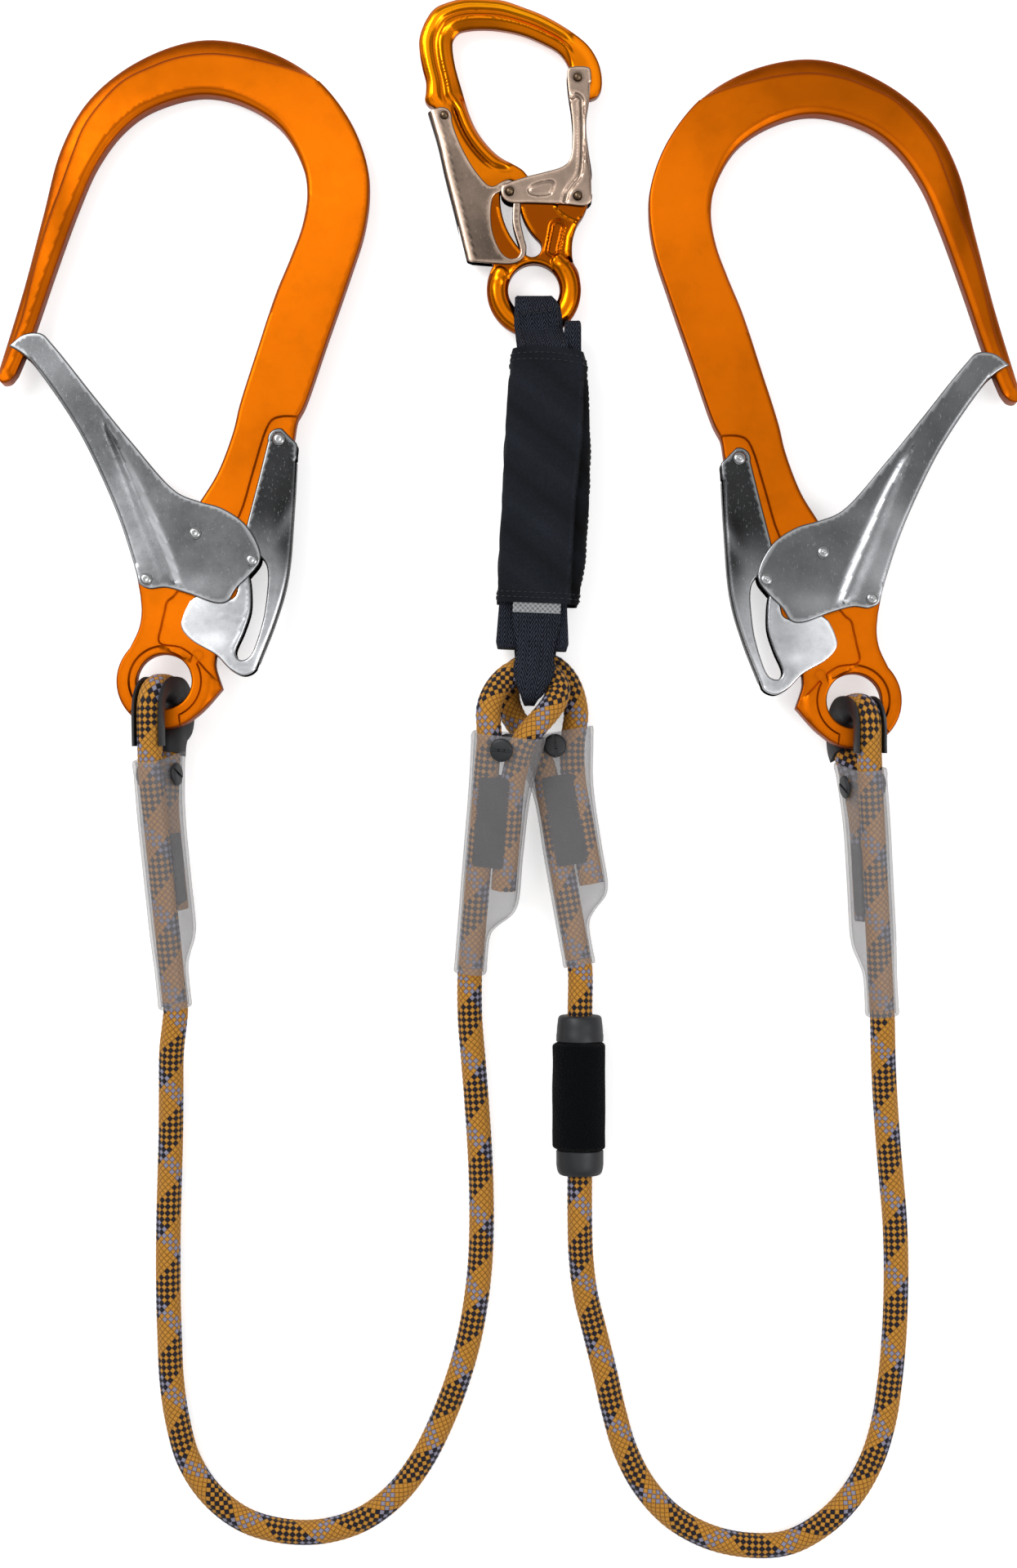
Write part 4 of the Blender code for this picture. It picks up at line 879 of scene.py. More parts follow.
def make_finishes(scene):
    """Every finish of the object, by the name that its pieces use."""
    metal, cloth = scene.lanyard_metal, scene.lanyard_cloth
    plastic, rope = scene.lanyard_plastic, scene.lanyard_rope
    hook, connector = tuple(metal.hook_orange), tuple(metal.connector_orange)
    steel, nickel, black = tuple(metal.steel), tuple(metal.nickel), tuple(plastic.black)
    thread, tape = tuple(cloth.thread), tuple(cloth.tape)
    FINISHES.update({
        # Satin: broad, soft highlights, and painted shade in the steps
        "hook": anodised("anodised_aluminium_satin", hook, (0.36, 0.48),
                         [(0.35, 0.008, 3.0), (14.0, 0.05, 1.0)], "7C2E08"),
        # Polished: narrow, bright highlights along the bow, and painted shade in its valley and on
        # the web
        "connector": anodised("anodised_aluminium_polished", connector, (0.17, 0.26),
                              [(0.6, 0.004, 2.0), (8.0, 0.03, 1.0)], "6E2404"),
        # Cool grey plates, and warmer, blotchier ones on the connector
        "steel": pressed_steel("zinc_plated_steel", steel, (0.22, 0.34), 0.82),
        "nickel": pressed_steel("nickel_plated_steel", nickel, (0.22, 0.36), 0.72),
        # Small turned parts: bright, oiled brown, and drawn along the wire
        "rivet": worked("bright_steel_rivet", linear("A9AAAB"), (0.8, 1.1), 4,
                        (0.2, 0.34), [(0.5, 0.006, 2.0)], 1.0)[0],
        "aged_rivet": worked("oiled_steel_rivet", linear("75624E"), (0.5, 1.5), 2,
                             (0.24, 0.4), [(0.5, 0.02, 2.0)], 1.0)[0],
        "spring": worked("drawn_spring_steel", linear("8A8A88"), (0.8, 1.1), 3,
                         (0.3, 0.42), [(0.4, 0.005, 2.0)], 1.0, (1, 1, 0.2))[0],
        # A near-black moulding with a faint grain
        "black": worked("moulded_polyamide", black, (0.85, 1.2), 8,
                        (0.4, 0.52), [(0.45, 0.02, 3.0), (6.0, 0.05, 1.0)])[0],
        "sleeve": frosted_polyurethane(tuple(plastic.sleeve)),
        "rope": sheath(rope),
        # Herringbone ribs with painted highlights on the straps; the cover is finer and flatter
        "webbing": woven("woven_polyester_webbing", tuple(cloth.webbing), 2.3, 0.5, 5.9,
                         light=5.0, swing=0.34),
        "cover": woven("woven_polyamide_fabric", tuple(cloth.cover), 1.1, 0.09, 0, 0.82),
        "tape": woven("white_polyester_tape", tape, 2.4, 0.3, light=1.4, swing=0.4),
        "thread": worked("bonded_polyester_thread", thread, (0.7, 1.4), 2,
                         (0.5, 0.65), [(0.2, 0.02, 2.0)])[0],
        "panel": woven("splice_whipping_thread", linear("191B1C"), 1.1, 0.25, 0, 0.75, 1.5),
        "loop": looped("brushed_loop_fabric", tuple(plastic.loop)),
    })


# Large hooks, drawn in the frame of the eye


HOOK_BACK = [(-82, 150), (-69.7, 191.6), (-60.5, 228), (-52.3, 260), (-40.3, 282.8)]
HOOK_BACK += [(-22.3, 299.6), (1.7, 311.6), (22.1, 315), (49.7, 309.2), (72.5, 295.6)]
HOOK_BACK += [(89.3, 274.4), (97.7, 252.8), (98.8, 238.4), (96.4, 220.4), (89.3, 197.6)]
HOOK_BACK += [(78.5, 166), (67.7, 134.4), (64.1, 127.2), (62.5, 118), (60.3, 108)]
HOOK_BACK += [(55.7, 94.4), (46.5, 74)]
HOOK_INNER = [(-0.3, 60.4), (10.5, 76.4), (16.9, 87.2), (25.3, 101.2), (32.9, 121.6)]
HOOK_INNER += [(35.9, 134.4), (44.5, 162), (53.3, 189.2), (60.5, 207), (66.2, 223)]
HOOK_INNER += [(68.5, 238.4), (66.3, 252), (55.7, 270.8), (37.7, 282.8), (17.3, 287.2)]
HOOK_INNER += [(-7.9, 280.4), (-22.3, 269.6), (-34.3, 252.8), (-42.7, 233.6), (-54, 202)]
HOOK_INNER += [(-64.5, 170.5), (-69.7, 156.8), (-72.7, 149.7)]
HOOK_RIDGE = [(-81, 147), (-76.9, 156.8), (-69.7, 176.2), (-63.7, 201.3), (-58.3, 220.5)]
HOOK_RIDGE += [(-50.5, 243.3), (-45.1, 258.8), (-40.3, 270.8), (-31.9, 282.8), (-21.1, 293.6)]
HOOK_RIDGE += [(-7.9, 300.2), (4, 304.6), (19.6, 306.8), (32.8, 305.8), (47.2, 303), (61.6, 299)]
HOOK_RIDGE += [(72.4, 294.8)]
HOOK_POCKET = [(80, 127.8), (66, 128.6), (57, 128.9), (52.2, 127.4), (49.2, 123), (43, 103)]
HOOK_POCKET += [(36, 80), (28, 68), (20, 57), (11, 48.5), (6.4, 43.5), (4.4, 41), (1.4, 38.4)]
HOOK_POCKET += [(0.2, 33.6), (-1.3, 26.8), (-2.3, 18.6), (7.7, 16.4), (14.6, 12)]
HOOK_POCKET = curve_through(HOOK_POCKET, 4) + [(20, 5.6), (25.7, 0), (40, 0), (80, 40)]
HOOK_RING_STEP = arc((0, 0), 17.0, 98, 222, 24) + [(-20, -19), (-14, -34), (9, -30)]
HOOK_RING_STEP += arc((0, 0), 18.0, -66, 28, 20) + arc((16.4, 12.4), 2.6, -10, 170, 8)
HOOK_RING_STEP += [(12.6, 9.6)]


def hook_outline():
    stop = arc(GATE_PIVOT, 44.8, 12, -26, 6)
    claw_root = [stop[-1], (26.6, 20.5), (24.9, 11.6)]
    claw = [(24.9, 11.6), (24.8, 7.2), (28.2, -3.6)]
    ring = arc((0, 0), RING, -57, -224, 40)
    claw_back = [(28.2, -3.6), (19.5, -13.5), ring[0]]
    neck = [ring[-1], (-12.2, 25.6), (-11.0, 33.6), (-11.6, 41.5)]
    lug = arc(GATE_PIVOT, 4.3, 200, 60, 8)
    tip = [(-72.7, 149.7), (-76.5, 145.8), (-80, 145.6), (-82, 150)]
    inner = [lug[-1], *HOOK_INNER]
    return outline([HOOK_BACK, stop, claw_root, claw, claw_back, ring, neck, lug, inner, tip])


def hook_zones(places):
    """How far each place is off the back, the bow and the ridge, and which zone it is in."""
    back = off_curve(places, HOOK_BACK)[0]
    bow, _, share = off_curve(places, HOOK_INNER)
    gap, side, _ = off_curve(places, HOOK_RIDGE)
    outside = (side > 0) & (back < 14) & (places[:, 1] > 145)
    bevel = 1.5 + 1.9 * smooth_step((share - 0.42) / 0.2)
    return back, bow, share, gap, outside, bevel


def hook_height(places, depth):
    """The forged section: a rounded back outside the ridge and a low bevel along the bow."""
    back, bow, share, gap, outside, bevel = hook_zones(places)
    across = np.where(outside, gap / (gap + back).clip(0.5), 0)
    z = FACES["hook_body"] - 0.7 * smooth_step(np.where(outside, gap, 0)) - 2.0 * across**2.0
    z -= np.where(outside, 0, 0.3 * smooth_step((bevel - bow) / 0.8) * (share > 0.3))
    z -= np.where(outside, 0, 0.9 * (1 - bow / bevel).clip(0, 1) ** 1.6)
    pocket, ring = inwards(places, HOOK_POCKET), inwards(places, HOOK_RING_STEP)
    low = np.maximum(1.2 * smooth_step(pocket / 0.6 + 0.5), smooth_step(ring / 0.6 + 0.5))
    z -= low
    claw = smooth_step((near(places, (0, 0)) - 22.2) / 2.4) * (places[:, 1] < 15)
    z -= 0.9 * claw * (1 - low.clip(0, 1))
    return (z - rounded(depth, np.where(back < 1.2, 1.4, 0.9))).clip(1.4)


def hook_painted_shade(places):
    """Painted shade on a hook: along its ridge, its steps, its bow and its edge, and over its
    outer band.
    """
    back, bow, share, gap, outside, bevel = hook_zones(places)
    steps = [off_line(places, step, True)[0] for step in (HOOK_POCKET, HOOK_RING_STEP)]
    edge = off_line(places, hook_outline(), True)[0]
    found = [0.7 * hump(gap, 0.7) * (places[:, 1] > 152)]
    found += [0.35 * hump(step, 0.5) for step in steps]
    found.append(0.4 * (hump(bow - bevel, 0.55) * smooth_step((share - 0.3) / 0.2)))
    found.append(np.where(outside, 0.24 + 0.5 * (gap / (gap + back + 0.1)) ** 2, 0))
    return np.max([*found, 0.65 * hump(edge, 1.3)], axis=0)


def glow(places, spots):
    """Painted light and shade for each place: spots of a middle, two reaches and a strength, added
    up.
    """
    found = np.zeros(len(places))
    for x, y, wide, high, strength in spots:
        reach = ((places[:, 0] - x) / wide) ** 2 + ((places[:, 1] - y) / high) ** 2
        found += strength * np.exp(-reach)
    return found


def set_painted_light(mesh, tone):
    """Stores the painted light and shade of each point of a pressing or forging as its tone."""
    return store(mesh, "tone", tone(flat_places(mesh)).clip(-0.9, 4))


def hook_painted_light(places):
    # Painted light and shade on the hook body: lighter and darker patches of its tone.
    spots = [(84, 244, 26, 34, 0.26), (4, 300, 46, 16, -0.3), (-52, 235, 7, 30, -0.45)]
    spots += [(-66, 190, 12, 34, -0.34), (60, 200, 20, 24, 0.08), (38, 108, 14, 20, -0.08)]
    spots += [(-20, 288, 20, 14, -0.1), (6, 30, 16, 14, 0.12), (50, 140, 18, 26, -0.06)]
    return glow(places, spots)


def gate_painted_light(places):
    """Painted light on the rib's right flank and by the pivot, an even arm, and a painted
    highlight along the edge.
    """
    spots = [(-13, 62, 9, 15, 0.9), (-20, 86, 6, 16, 0.5), (34, 70, 14, 12, -0.18)]
    spots += [(18, 46, 14, 6, 0.7), (-56, 160, 20, 12, 0.25), (8, 78, 12, 12, -0.2)]
    flank = inwards(places, curve_through(RIB_CREST, 6) + curve_through(RIB_RIGHT, 6)[::-1])
    lit = 2.3 * smooth_step(flank / 1.2 + 0.3) * smooth_step((130 - places[:, 1]) / 14)
    lit -= 0.14 + 0.26 * smooth_step((places[:, 1] - 86) / 24)
    return glow(places, spots) + lit + bright_edge(places, outline([HOOK_GATE]))


def bright_edge(places, line, strength=1.6, off=0.85):
    """A painted highlight: a thin bright line along the rolled edge of a blanked sheet."""
    return strength * hump(off_line(places, line, True)[0] - off, 0.42)


def lever_painted_light(places):
    """Painted light and shade: dark under the pivot, lighter down the curved arm, brightest on the
    thumb tab.
    """
    x, y = places.T
    tone = -0.82 + smooth_step((88 - y) / 62) * 2.4
    tone += 0.7 * hump(x - 0.55 * y - 17, 3.2) * smooth_step((y - 62) / 20)
    tab = smooth_step((37 - x) / 8) * smooth_step((50 - y) / 6)
    tone += tab * (1.6 - 1.5 * smooth_step((x - 16) / 18))
    tone += glow(places, [(45, 12, 6, 8, 1.2), (58, 60, 5, 18, -0.7), (28, 20, 6, 3, 1.0)])
    return tone + bright_edge(places, hook_lever_outline(), 1.3)


def beside_curve(points, *steps):
    """A smooth curve with rows of points at these distances on both sides of it."""
    return curve_through(points, 6), [way * step for way in (1, -1) for step in steps]


def hook_body_mesh():
    rise, run = SPACER_RIVET[1] - GATE_PIVOT[1], SPACER_RIVET[0] - GATE_PIVOT[0]
    start = math.degrees(math.atan2(rise, run))
    slot = kidney(GATE_PIVOT, math.dist(GATE_PIVOT, SPACER_RIVET), 2.7, start + 1, start - 51)
    holes = [arc((0, 0), HOOK_EYE, 0, 360, 96)[:-1], slot]
    holes += [circle(place, HOOK_HOLE) for place in (GATE_PIVOT, LEVER_PIVOT)]
    lines = [(curve_through(HOOK_RIDGE, 6), (-1.2, -0.6, 0, 0.45, 0.9, 1.6))]
    lines += [(step, (-0.5, 0.0, 0.5)) for step in (HOOK_POCKET, HOOK_RING_STEP)]
    lines.append(beside_curve(HOOK_INNER, 2.3, 3.0, 3.4))
    shape = relief([hook_outline(), *holes], hook_height, lines, (0.12, 0.4, 0.8, 1.4), 1.6)
    rooms = ((GATE_PIVOT, 5.4), (LEVER_PIVOT, 6.6))
    cutters = [prism(circle(place, radius), -2.6, 2.6) for place, radius in rooms]
    mesh = carved("hook_body", shape, cutters)
    # The crease value holds painted shade along the ridge, steps, bow, edge and outer band.
    return store(mesh, "crease", hook_painted_shade(flat_places(mesh)))


HOOK_GATE = [(-76.1, 163.2), (-68.7, 168.8), (-60.3, 169.2), (-54.7, 163.8), (-34.3, 138.4)]
HOOK_GATE += [(-16.3, 116.4), (5.7, 92), (16.9, 87.2), (27.7, 84), (38.9, 76.4), (45.7, 65.2)]
HOOK_GATE += [(46.5, 58.4), (41.7, 51.6), (34.9, 44.8), (30.5, 38.4), (25.3, 37.6)]
HOOK_GATE += [(11.3, 42.4), (0.5, 45.2), (-7.1, 44.6), (-11.9, 47), (-13.7, 53), (-21.7, 77.6)]
HOOK_GATE += [(-29.9, 97.2), (-42.3, 122), (-57.5, 145.2), (-66.3, 156.4), (-70.2, 159.8)]
HOOK_GATE += [(-76.1, 163.2)]
HOOK_GATE_WEB = [(-66.3, 156.4), (-57.5, 145.2), (-42.3, 122), (-29.9, 97.2), (-21.7, 77.6)]
HOOK_GATE_WEB += [(-15, 57)]
RIB_LEFT = [(-31.9, 129.2), (-24.5, 108), (-15, 80), (-6, 57), (-2.5, 47)]
RIB_RIGHT = [(-31.9, 129.2), (-18, 109), (-5.5, 84), (4.5, 61), (9.5, 46)]
RIB_CREST = [(-31.9, 129.2), (-20.5, 108.5), (-9, 82), (1, 58), (5.6, 46.5)]


def hook_gate_height(places, depth):
    """Sheet folded over its left edge, with a rib pressed along the arm."""
    fold, crest = (off_curve(places, line)[0] for line in (HOOK_GATE_WEB, RIB_CREST))
    rib = curve_through(RIB_LEFT, 6) + curve_through(RIB_RIGHT, 6)[::-1]
    inside = inwards(places, rib).clip(0)
    lift = 0.95 * smooth_step(inside / (inside + crest + 0.25) * smooth_step(inside / 1.1))
    z = 7.3 + lift - rounded(fold, 2.4) * 0.8 - rounded(depth, 0.95) * 0.8
    for place in (GATE_PIVOT, GUIDE_RIVET, SPACER_RIVET):
        z -= 0.1 * hump(near(places, place) - 4.1, 0.6)
    return z


HOOK_LEVER_SLOT = [(42.9, 61.6), (46.2, 60.4), (49.2, 56.5), (50.1, 51.6), (49.6, 42)]
HOOK_LEVER_SLOT += [(48.3, 32), (46.6, 25), (44.9, 19.5), (42.8, 14), (40.6, 11.1)]
HOOK_LEVER_SLOT += [(36.8, 10.2), (34.6, 13.4), (38.6, 24), (41.7, 34), (41.9, 44)]
HOOK_LEVER_SLOT += [(41.2, 50), (39.5, 56), (39.9, 60)]
HOOK_LEVER_WEB = [(63.4, 107), (62.5, 82), (61.4, 66), (59.7, 50), (54.1, 29.6), (45.3, 6.8)]


def hook_lever_outline():
    top = arc(LEVER_PIVOT, 5.6, 190, 75, 12)
    right = [(61.2, 118.4), (64, 115.3), (63.9, 110.4), (62.5, 82), (59.7, 50), (54.1, 29.6)]
    right += [(45.3, 6.8)]
    low = [(45.3, 6.8), (42.5, 4), (38.1, 2.8), (32.1, 5.6), (25.3, 12.4), (12.9, 20), (8.1, 26.4)]
    low += [(9.3, 32.8), (12.2, 38.8)]
    left = [(12.2, 38.8), (16, 41.4), (20.5, 41.2), (24.5, 39.8), (29.5, 39.2), (34, 41)]
    left += [(35.4, 45.5), (35.6, 52), (36.6, 62), (39.8, 76.3), (45, 97), top[0]]
    return outline([top, right, low, left])


def hook_lever_height(places, depth):
    """Sheet folded over its right edge, dished at the thumb end, with a lip round the slot."""
    fold = off_curve(places, HOOK_LEVER_WEB)[0]
    slot = off_line(places, curve_through(HOOK_LEVER_SLOT, 6, True), True)[0]
    z = 5.75 - rounded(fold, 2.6) * 0.8 - rounded(depth, 0.95) * 0.8
    z += 0.22 * hump(slot - 1.0, 0.7)
    dish = np.hypot((places[:, 0] - 23) / 13, (places[:, 1] - 24) / 11)
    z -= 0.35 * (1 - dish).clip(0, 1) ** 1.5
    line = off_line(places, [(27, 31.5), (38, 29.6), (40.5, 29.4)])[0]
    return z + 0.14 * hump(line, 0.5)


def folded_sheet(name, points, holes, height, inside, wall, lines, grain=1.5):
    """A sheet folded into a channel: the full shape less all that lies inside the fold."""
    shape = relief([points, *holes], height, lines, (0.15, 0.4, 0.7, 1.0), grain)
    reach = FACES[name] - wall
    mesh = carved(name, shape, [prism(inside, -reach, reach)], 30)
    # Faces inside the fold get painted shade: the finish paints them near black.
    painted_fold_shade = [abs(f.center.z) < reach + 0.02 for f in mesh.polygons]
    return store(mesh, "inside", painted_fold_shade, "FACE")


def hook_gate_mesh():
    fold = [(x + SHEET, y + 0.5) for x, y in curve_through(HOOK_GATE_WEB, 4)]
    inside = fold + [(-16.5, 54), (-30, 54), (-30, 20), (80, 20), (80, 190), (-90, 190)]
    inside += [(-90, 157.5), (-68, 157.5)]
    holes = [circle(place, HOOK_HOLE) for place in (GATE_PIVOT, GUIDE_RIVET, SPACER_RIVET)]
    lines = [beside_curve(HOOK_GATE_WEB, 0.4, 1.0, 1.7, 2.4)]
    lines += [beside_curve(line, 0) for line in (RIB_LEFT, RIB_RIGHT, RIB_CREST)]
    points = outline([HOOK_GATE])
    return folded_sheet("hook_gate", points, holes, hook_gate_height, inside, SHEET, lines)


def hook_lever_mesh():
    fold = [(x - SHEET, y - 0.3) for x, y in curve_through(HOOK_LEVER_WEB, 4)]
    inside = fold[:-1] + [(46, 12), (46, -10), (-10, -10), (-10, 140), (80, 140), (80, 107)]
    holes = [circle(LEVER_PIVOT, HOOK_HOLE), curve_through(HOOK_LEVER_SLOT, 6, True)]
    lines = [beside_curve(HOOK_LEVER_WEB, 0.4, 1.0, 1.7, 2.5)]
    points = hook_lever_outline()
    return folded_sheet("hook_lever", points, holes, hook_lever_height, inside, SHEET, lines)


# Repeats, made by Geometry Nodes


def new_tree(name, inputs):
    """A node tree with a geometry in and out, and its named inputs and finish between them."""
    tree = bpy.data.node_groups.new(name, "GeometryNodeTree")
    tree.interface.new_socket("Geometry", in_out="INPUT", socket_type="NodeSocketGeometry")
    for label, kind, value in (*inputs, ("Finish", "NodeSocketMaterial", None)):
        socket = tree.interface.new_socket(label, in_out="INPUT", socket_type=kind)
        if value is not None:
            socket.default_value = value
    tree.interface.new_socket("Geometry", in_out="OUTPUT", socket_type="NodeSocketGeometry")
    return tree, add_node(tree, "NodeGroupInput").outputs


def close_tree(tree, given, points, thing, way, axis, size):
    """The end of both trees: a thing at each point, turned to a way, real and finished."""
    turned = output_of(tree, "FunctionNodeAlignRotationToVector", {"Vector": way}, axis=axis)
    values = {"Points": points, "Instance": thing, "Rotation": turned, "Scale": size}
    placed = output_of(tree, "GeometryNodeInstanceOnPoints", values)
    real = output_of(tree, "GeometryNodeRealizeInstances", {0: placed})
    values = {0: real, "Material": given["Finish"]}
    add_node(tree, "NodeGroupOutput", {0: output_of(tree, "GeometryNodeSetMaterial", values)})
    return tree


def fastener_tree():
    """Puts a head at each point, facing the way that the point's own vector says."""
    inputs = [("Head", "NodeSocketObject", None), ("Size", "NodeSocketFloat", 1.0)]
    tree, given = new_tree("fastener_heads", inputs)
    head = output_of(tree, "GeometryNodeObjectInfo", {"Object": given["Head"]}, "Geometry")
    facing = output_of(
        tree, "GeometryNodeInputNamedAttribute", {"Name": "facing"}, data_type="FLOAT_VECTOR"
    )
    return close_tree(tree, given, given["Geometry"], head, facing, "Z", given["Size"])


def stitch_tree():
    """Lays stitches along lines: one bead of thread at each step, turned along the line."""
    inputs = [("Spacing", "NodeSocketFloat", 0.0028), ("Length", "NodeSocketFloat", 0.0011)]
    inputs += [("Thread", "NodeSocketFloat", 0.00035), ("Seed", "NodeSocketInt", 4)]
    tree, given = new_tree("stitch_rows", inputs)
    curve = output_of(tree, "GeometryNodeMeshToCurve", {0: given["Geometry"]})
    values = {"Curve": curve, "Length": given["Spacing"]}
    even = output_of(tree, "GeometryNodeResampleCurve", values, mode="LENGTH")
    ball = {"Segments": 6, "Rings": 5, "Radius": 1.0}
    ball = output_of(tree, "GeometryNodeMeshUVSphere", ball)
    values = {2: 0.88, 3: 1.1, "Seed": given["Seed"]}
    loose = output_of(tree, "FunctionNodeRandomValue", values, 1, data_type="FLOAT")
    values = {0: given["Length"], 1: loose}
    long = output_of(tree, "ShaderNodeMath", values, operation="MULTIPLY")
    values = {0: long, 1: given["Thread"], 2: given["Thread"]}
    size = output_of(tree, "ShaderNodeCombineXYZ", values)
    tangent = output_of(tree, "GeometryNodeInputTangent")
    return close_tree(tree, given, even, ball, tangent, "X", size)


def grown(name, base, tree, values):
    """What a tree makes of a base mesh, as a plain mesh; its inputs are set before that."""
    obj = plain(name, base)
    modifier = obj.modifiers.new(name, "NODES")
    modifier.node_group = tree
    for item in tree.interface.items_tree:
        if item.in_out == "INPUT" and item.name in values:
            modifier[item.identifier] = values[item.name]
    return smooth(as_mesh(obj), 38)


def head_points(name, places, matrix):
    """Points with the way they face: pairs of a place and a direction, in millimetres."""
    mesh = bpy.data.meshes.new(name)
    mesh.from_pydata([matrix @ Vector(place) for place, _ in places], [], [])
    turn = matrix.to_3x3().normalized()
    layer = mesh.attributes.new("facing", "FLOAT_VECTOR", "POINT")
    facing = np.array([tuple(turn @ Vector(way)) for _, way in places], np.float32)
    layer.data.foreach_set("vector", facing.ravel())
    return mesh


def stitches(name, rows, matrix=WORLD_FRAME):
    """Stitch rows as one piece: each row is a line of points in millimetres."""
    mesh = bpy.data.meshes.new(name)
    points, edges = [], []
    for row in rows:
        edges += [(len(points) + i, len(points) + i + 1) for i in range(len(row) - 1)]
        points += [tuple(p) for p in row]
    mesh.from_pydata(points, edges, [])
    mesh.transform(matrix)
    step, thread = bpy.context.scene.lanyard_cloth.stitch, FINISHES["thread"]
    values = {"Spacing": step, "Length": step * 0.42, "Finish": thread}
    put(name, grown(name, mesh, TREES["stitches"], values), thread, "lanyard", ())


TREES = {}


def rivet_head(radius):
    """Half a rivet: a pressed dome with a flat and a centre dimple, and a stub of shank."""
    bar, dome = radius * SHANK, 1.15
    profile = [(0, dome * 0.82), (radius * 0.18, dome * 0.86), (radius * 0.3, dome)]
    profile += [(radius * 0.62, dome * 0.93), (radius * 0.88, dome * 0.6), (radius, dome * 0.2)]
    profile += [(radius * 0.99, 0.0), (bar, 0.0), (bar, -1.0), (0, -1.0)]
    mesh = mesh_from("rivet_head", lathe(profile, 32), crease=40)
    mesh.transform(Matrix.Scale(MM, 4))
    return mesh


def shank(place, radius, half):
    points, skin = lathe([(0, half), (radius, half), (radius, -half), (0, -half)], 24)
    return points + np.array((*place, 0)), skin


def rivets(body, face, pins, radius, finish, matrix):
    """The rivets of one body: heads on both faces and the shank between, one piece a node."""
    head, face = plain("rivet_head_pattern", rivet_head(radius)), FACES[face]
    values = {"Head": head, "Size": 1.0, "Finish": FINISHES[finish]}
    for node, place in pins.items():
        ends = [((*place, side * (face + 0.25)), (0, 0, side)) for side in (1, -1)]
        heads = grown(f"{node}_heads", head_points(node, ends, matrix), TREES["heads"], values)
        bar = mesh_from(f"{node}_bar", shank(place, radius * SHANK, face + 0.2), matrix)
        face_out(heads, bar)
        put(f"{node}_turned", heads, FINISHES[finish], body, (node,))
    drop(head)


def put_metal(node, mesh, finish, body, matrix):
    """A forging or a pressing of a hook or of the connector."""
    kind = "forging" if node.endswith("body") else "pressing"
    put(f"{node}_{kind}", mesh, FINISHES[finish], body, (node,), matrix)


def finish_springs(group):
    """The CAD's springs stay, with a better finish in their slots."""
    for word in ("gate", "lever"):
        for slot in frame["nodes"][f"{group}_{word}_spring"].material_slots:
            slot.material = FINISHES["spring"]


def ease_back(mesh, way):
    """Thins the ring's shoulder on the back, where the rope's loop passes when a hook swings."""
    for vertex in mesh.vertices:
        x, y, z = vertex.co
        angle = math.degrees(math.atan2(y, x)) % 360
        here = smooth_step((angle - 152) / 10) * smooth_step((218 - angle) / 10)
        if math.hypot(x, y) < 26 and z * way > 0:
            vertex.co.z = way * min(abs(z), FACES["hook_body"] - 2.3 * float(here))
    return mesh


def build_hooks():
    """Both large hooks: forged body, folded gate and lever, and their rivets."""
    # Each piece stores its painted light and shade as its tone.
    body = set_painted_light(hook_body_mesh(), hook_painted_light)
    gate = set_painted_light(hook_gate_mesh(), gate_painted_light)
    lever = set_painted_light(hook_lever_mesh(), lever_painted_light)
    radius = bpy.context.scene.lanyard_metal.rivet_head / MM
    for side, way in (("left", -1), ("right", 1)):
        hook, matrix = f"{side}_hook", HOOK_FRAMES[side]
        eased = ease_back(body.copy(), way)
        put_metal(f"{hook}_body", eased, "hook", hook, matrix)
        put_metal(f"{hook}_gate", gate, "steel", f"{side}_gate", matrix)
        put_metal(f"{hook}_lever", lever, "steel", f"{side}_lever", matrix)
        for part, face, pins in (
            ("hook", "hook_gate", {"gate": GATE_PIVOT}),
            ("hook", "hook_lever", {"lever": LEVER_PIVOT}),
            ("gate", "hook_gate", {"guide": GUIDE_RIVET, "spacer": SPACER_RIVET}),
        ):
            pins = {f"{hook}_{word}_rivet": place for word, place in pins.items()}
            rivets(f"{side}_{part}", face, pins, radius, "rivet", matrix)
        finish_springs(hook)


# Connector, drawn in the frame of its eye


CONNECTOR_OUTER = [(27.8, 92.8), (30.8, 94.2), (32.8, 97.5), (33.2, 102.8), (31.5, 110.8)]
CONNECTOR_OUTER += [(26.8, 118.8), (18.2, 126), (5, 133.7), (-5, 137.7), (-15, 141)]
CONNECTOR_OUTER += [(-24.2, 142), (-33.5, 142.1), (-41.5, 140.3), (-48.2, 137.3)]
CONNECTOR_OUTER += [(-52.7, 131.4), (-55.8, 122.8), (-55.8, 116.1), (-54.4, 108.2)]
CONNECTOR_OUTER += [(-52.7, 101.5), (-52.7, 96.2), (-53.1, 92.2), (-51.4, 89.9)]
CONNECTOR_THROAT = [(11, 49), (4, 51), (-2.3, 54.8), (-5.6, 58.4), (-11, 61.7)]
CONNECTOR_THROAT += [(-17.6, 65.7), (-23.6, 71.7), (-28.2, 78.3), (-31.5, 85.6), (-34.8, 96.2)]
CONNECTOR_THROAT += [(-38.5, 109.5), (-39.8, 118.8), (-39.5, 122.1), (-36.8, 125.7)]
CONNECTOR_THROAT += [(-32.2, 127), (-24.2, 127.5), (-15, 126.7), (-5, 124.4), (5, 120.1)]
CONNECTOR_THROAT += [(11.6, 116.4), (14.9, 112.8), (17.6, 107.8), (18.3, 104.9)]
FORK_LINE = [(10.6, 40.2), (12.6, 37.4), (16.4, 34.8), (20.9, 32.6)]
OVAL = arc((11.7, 30.2), 3.9, 10, 172, 12) + arc((9.2, 19.2), 3.7, 190, 352, 12)
OVAL_FLOOR = arc((11.7, 30.2), 2.3, 10, 172, 12) + arc((9.2, 19.2), 2.1, 190, 352, 12)
SIDE_LINE = [(22.6, 34.5), (19.4, 30.4), (17.2, 25.6), (16.4, 18.9), (17.2, 13)]
BOW_SECTION = [(0, 3.4), (0.08, 4.9), (0.2, 5.75), (0.32, 5.4), (0.42, 4.3), (0.52, 4.4)]
BOW_SECTION += [(0.64, 5.6), (0.72, 5.0), (0.85, 3.4), (0.93, 2.4), (1, 1.8)]


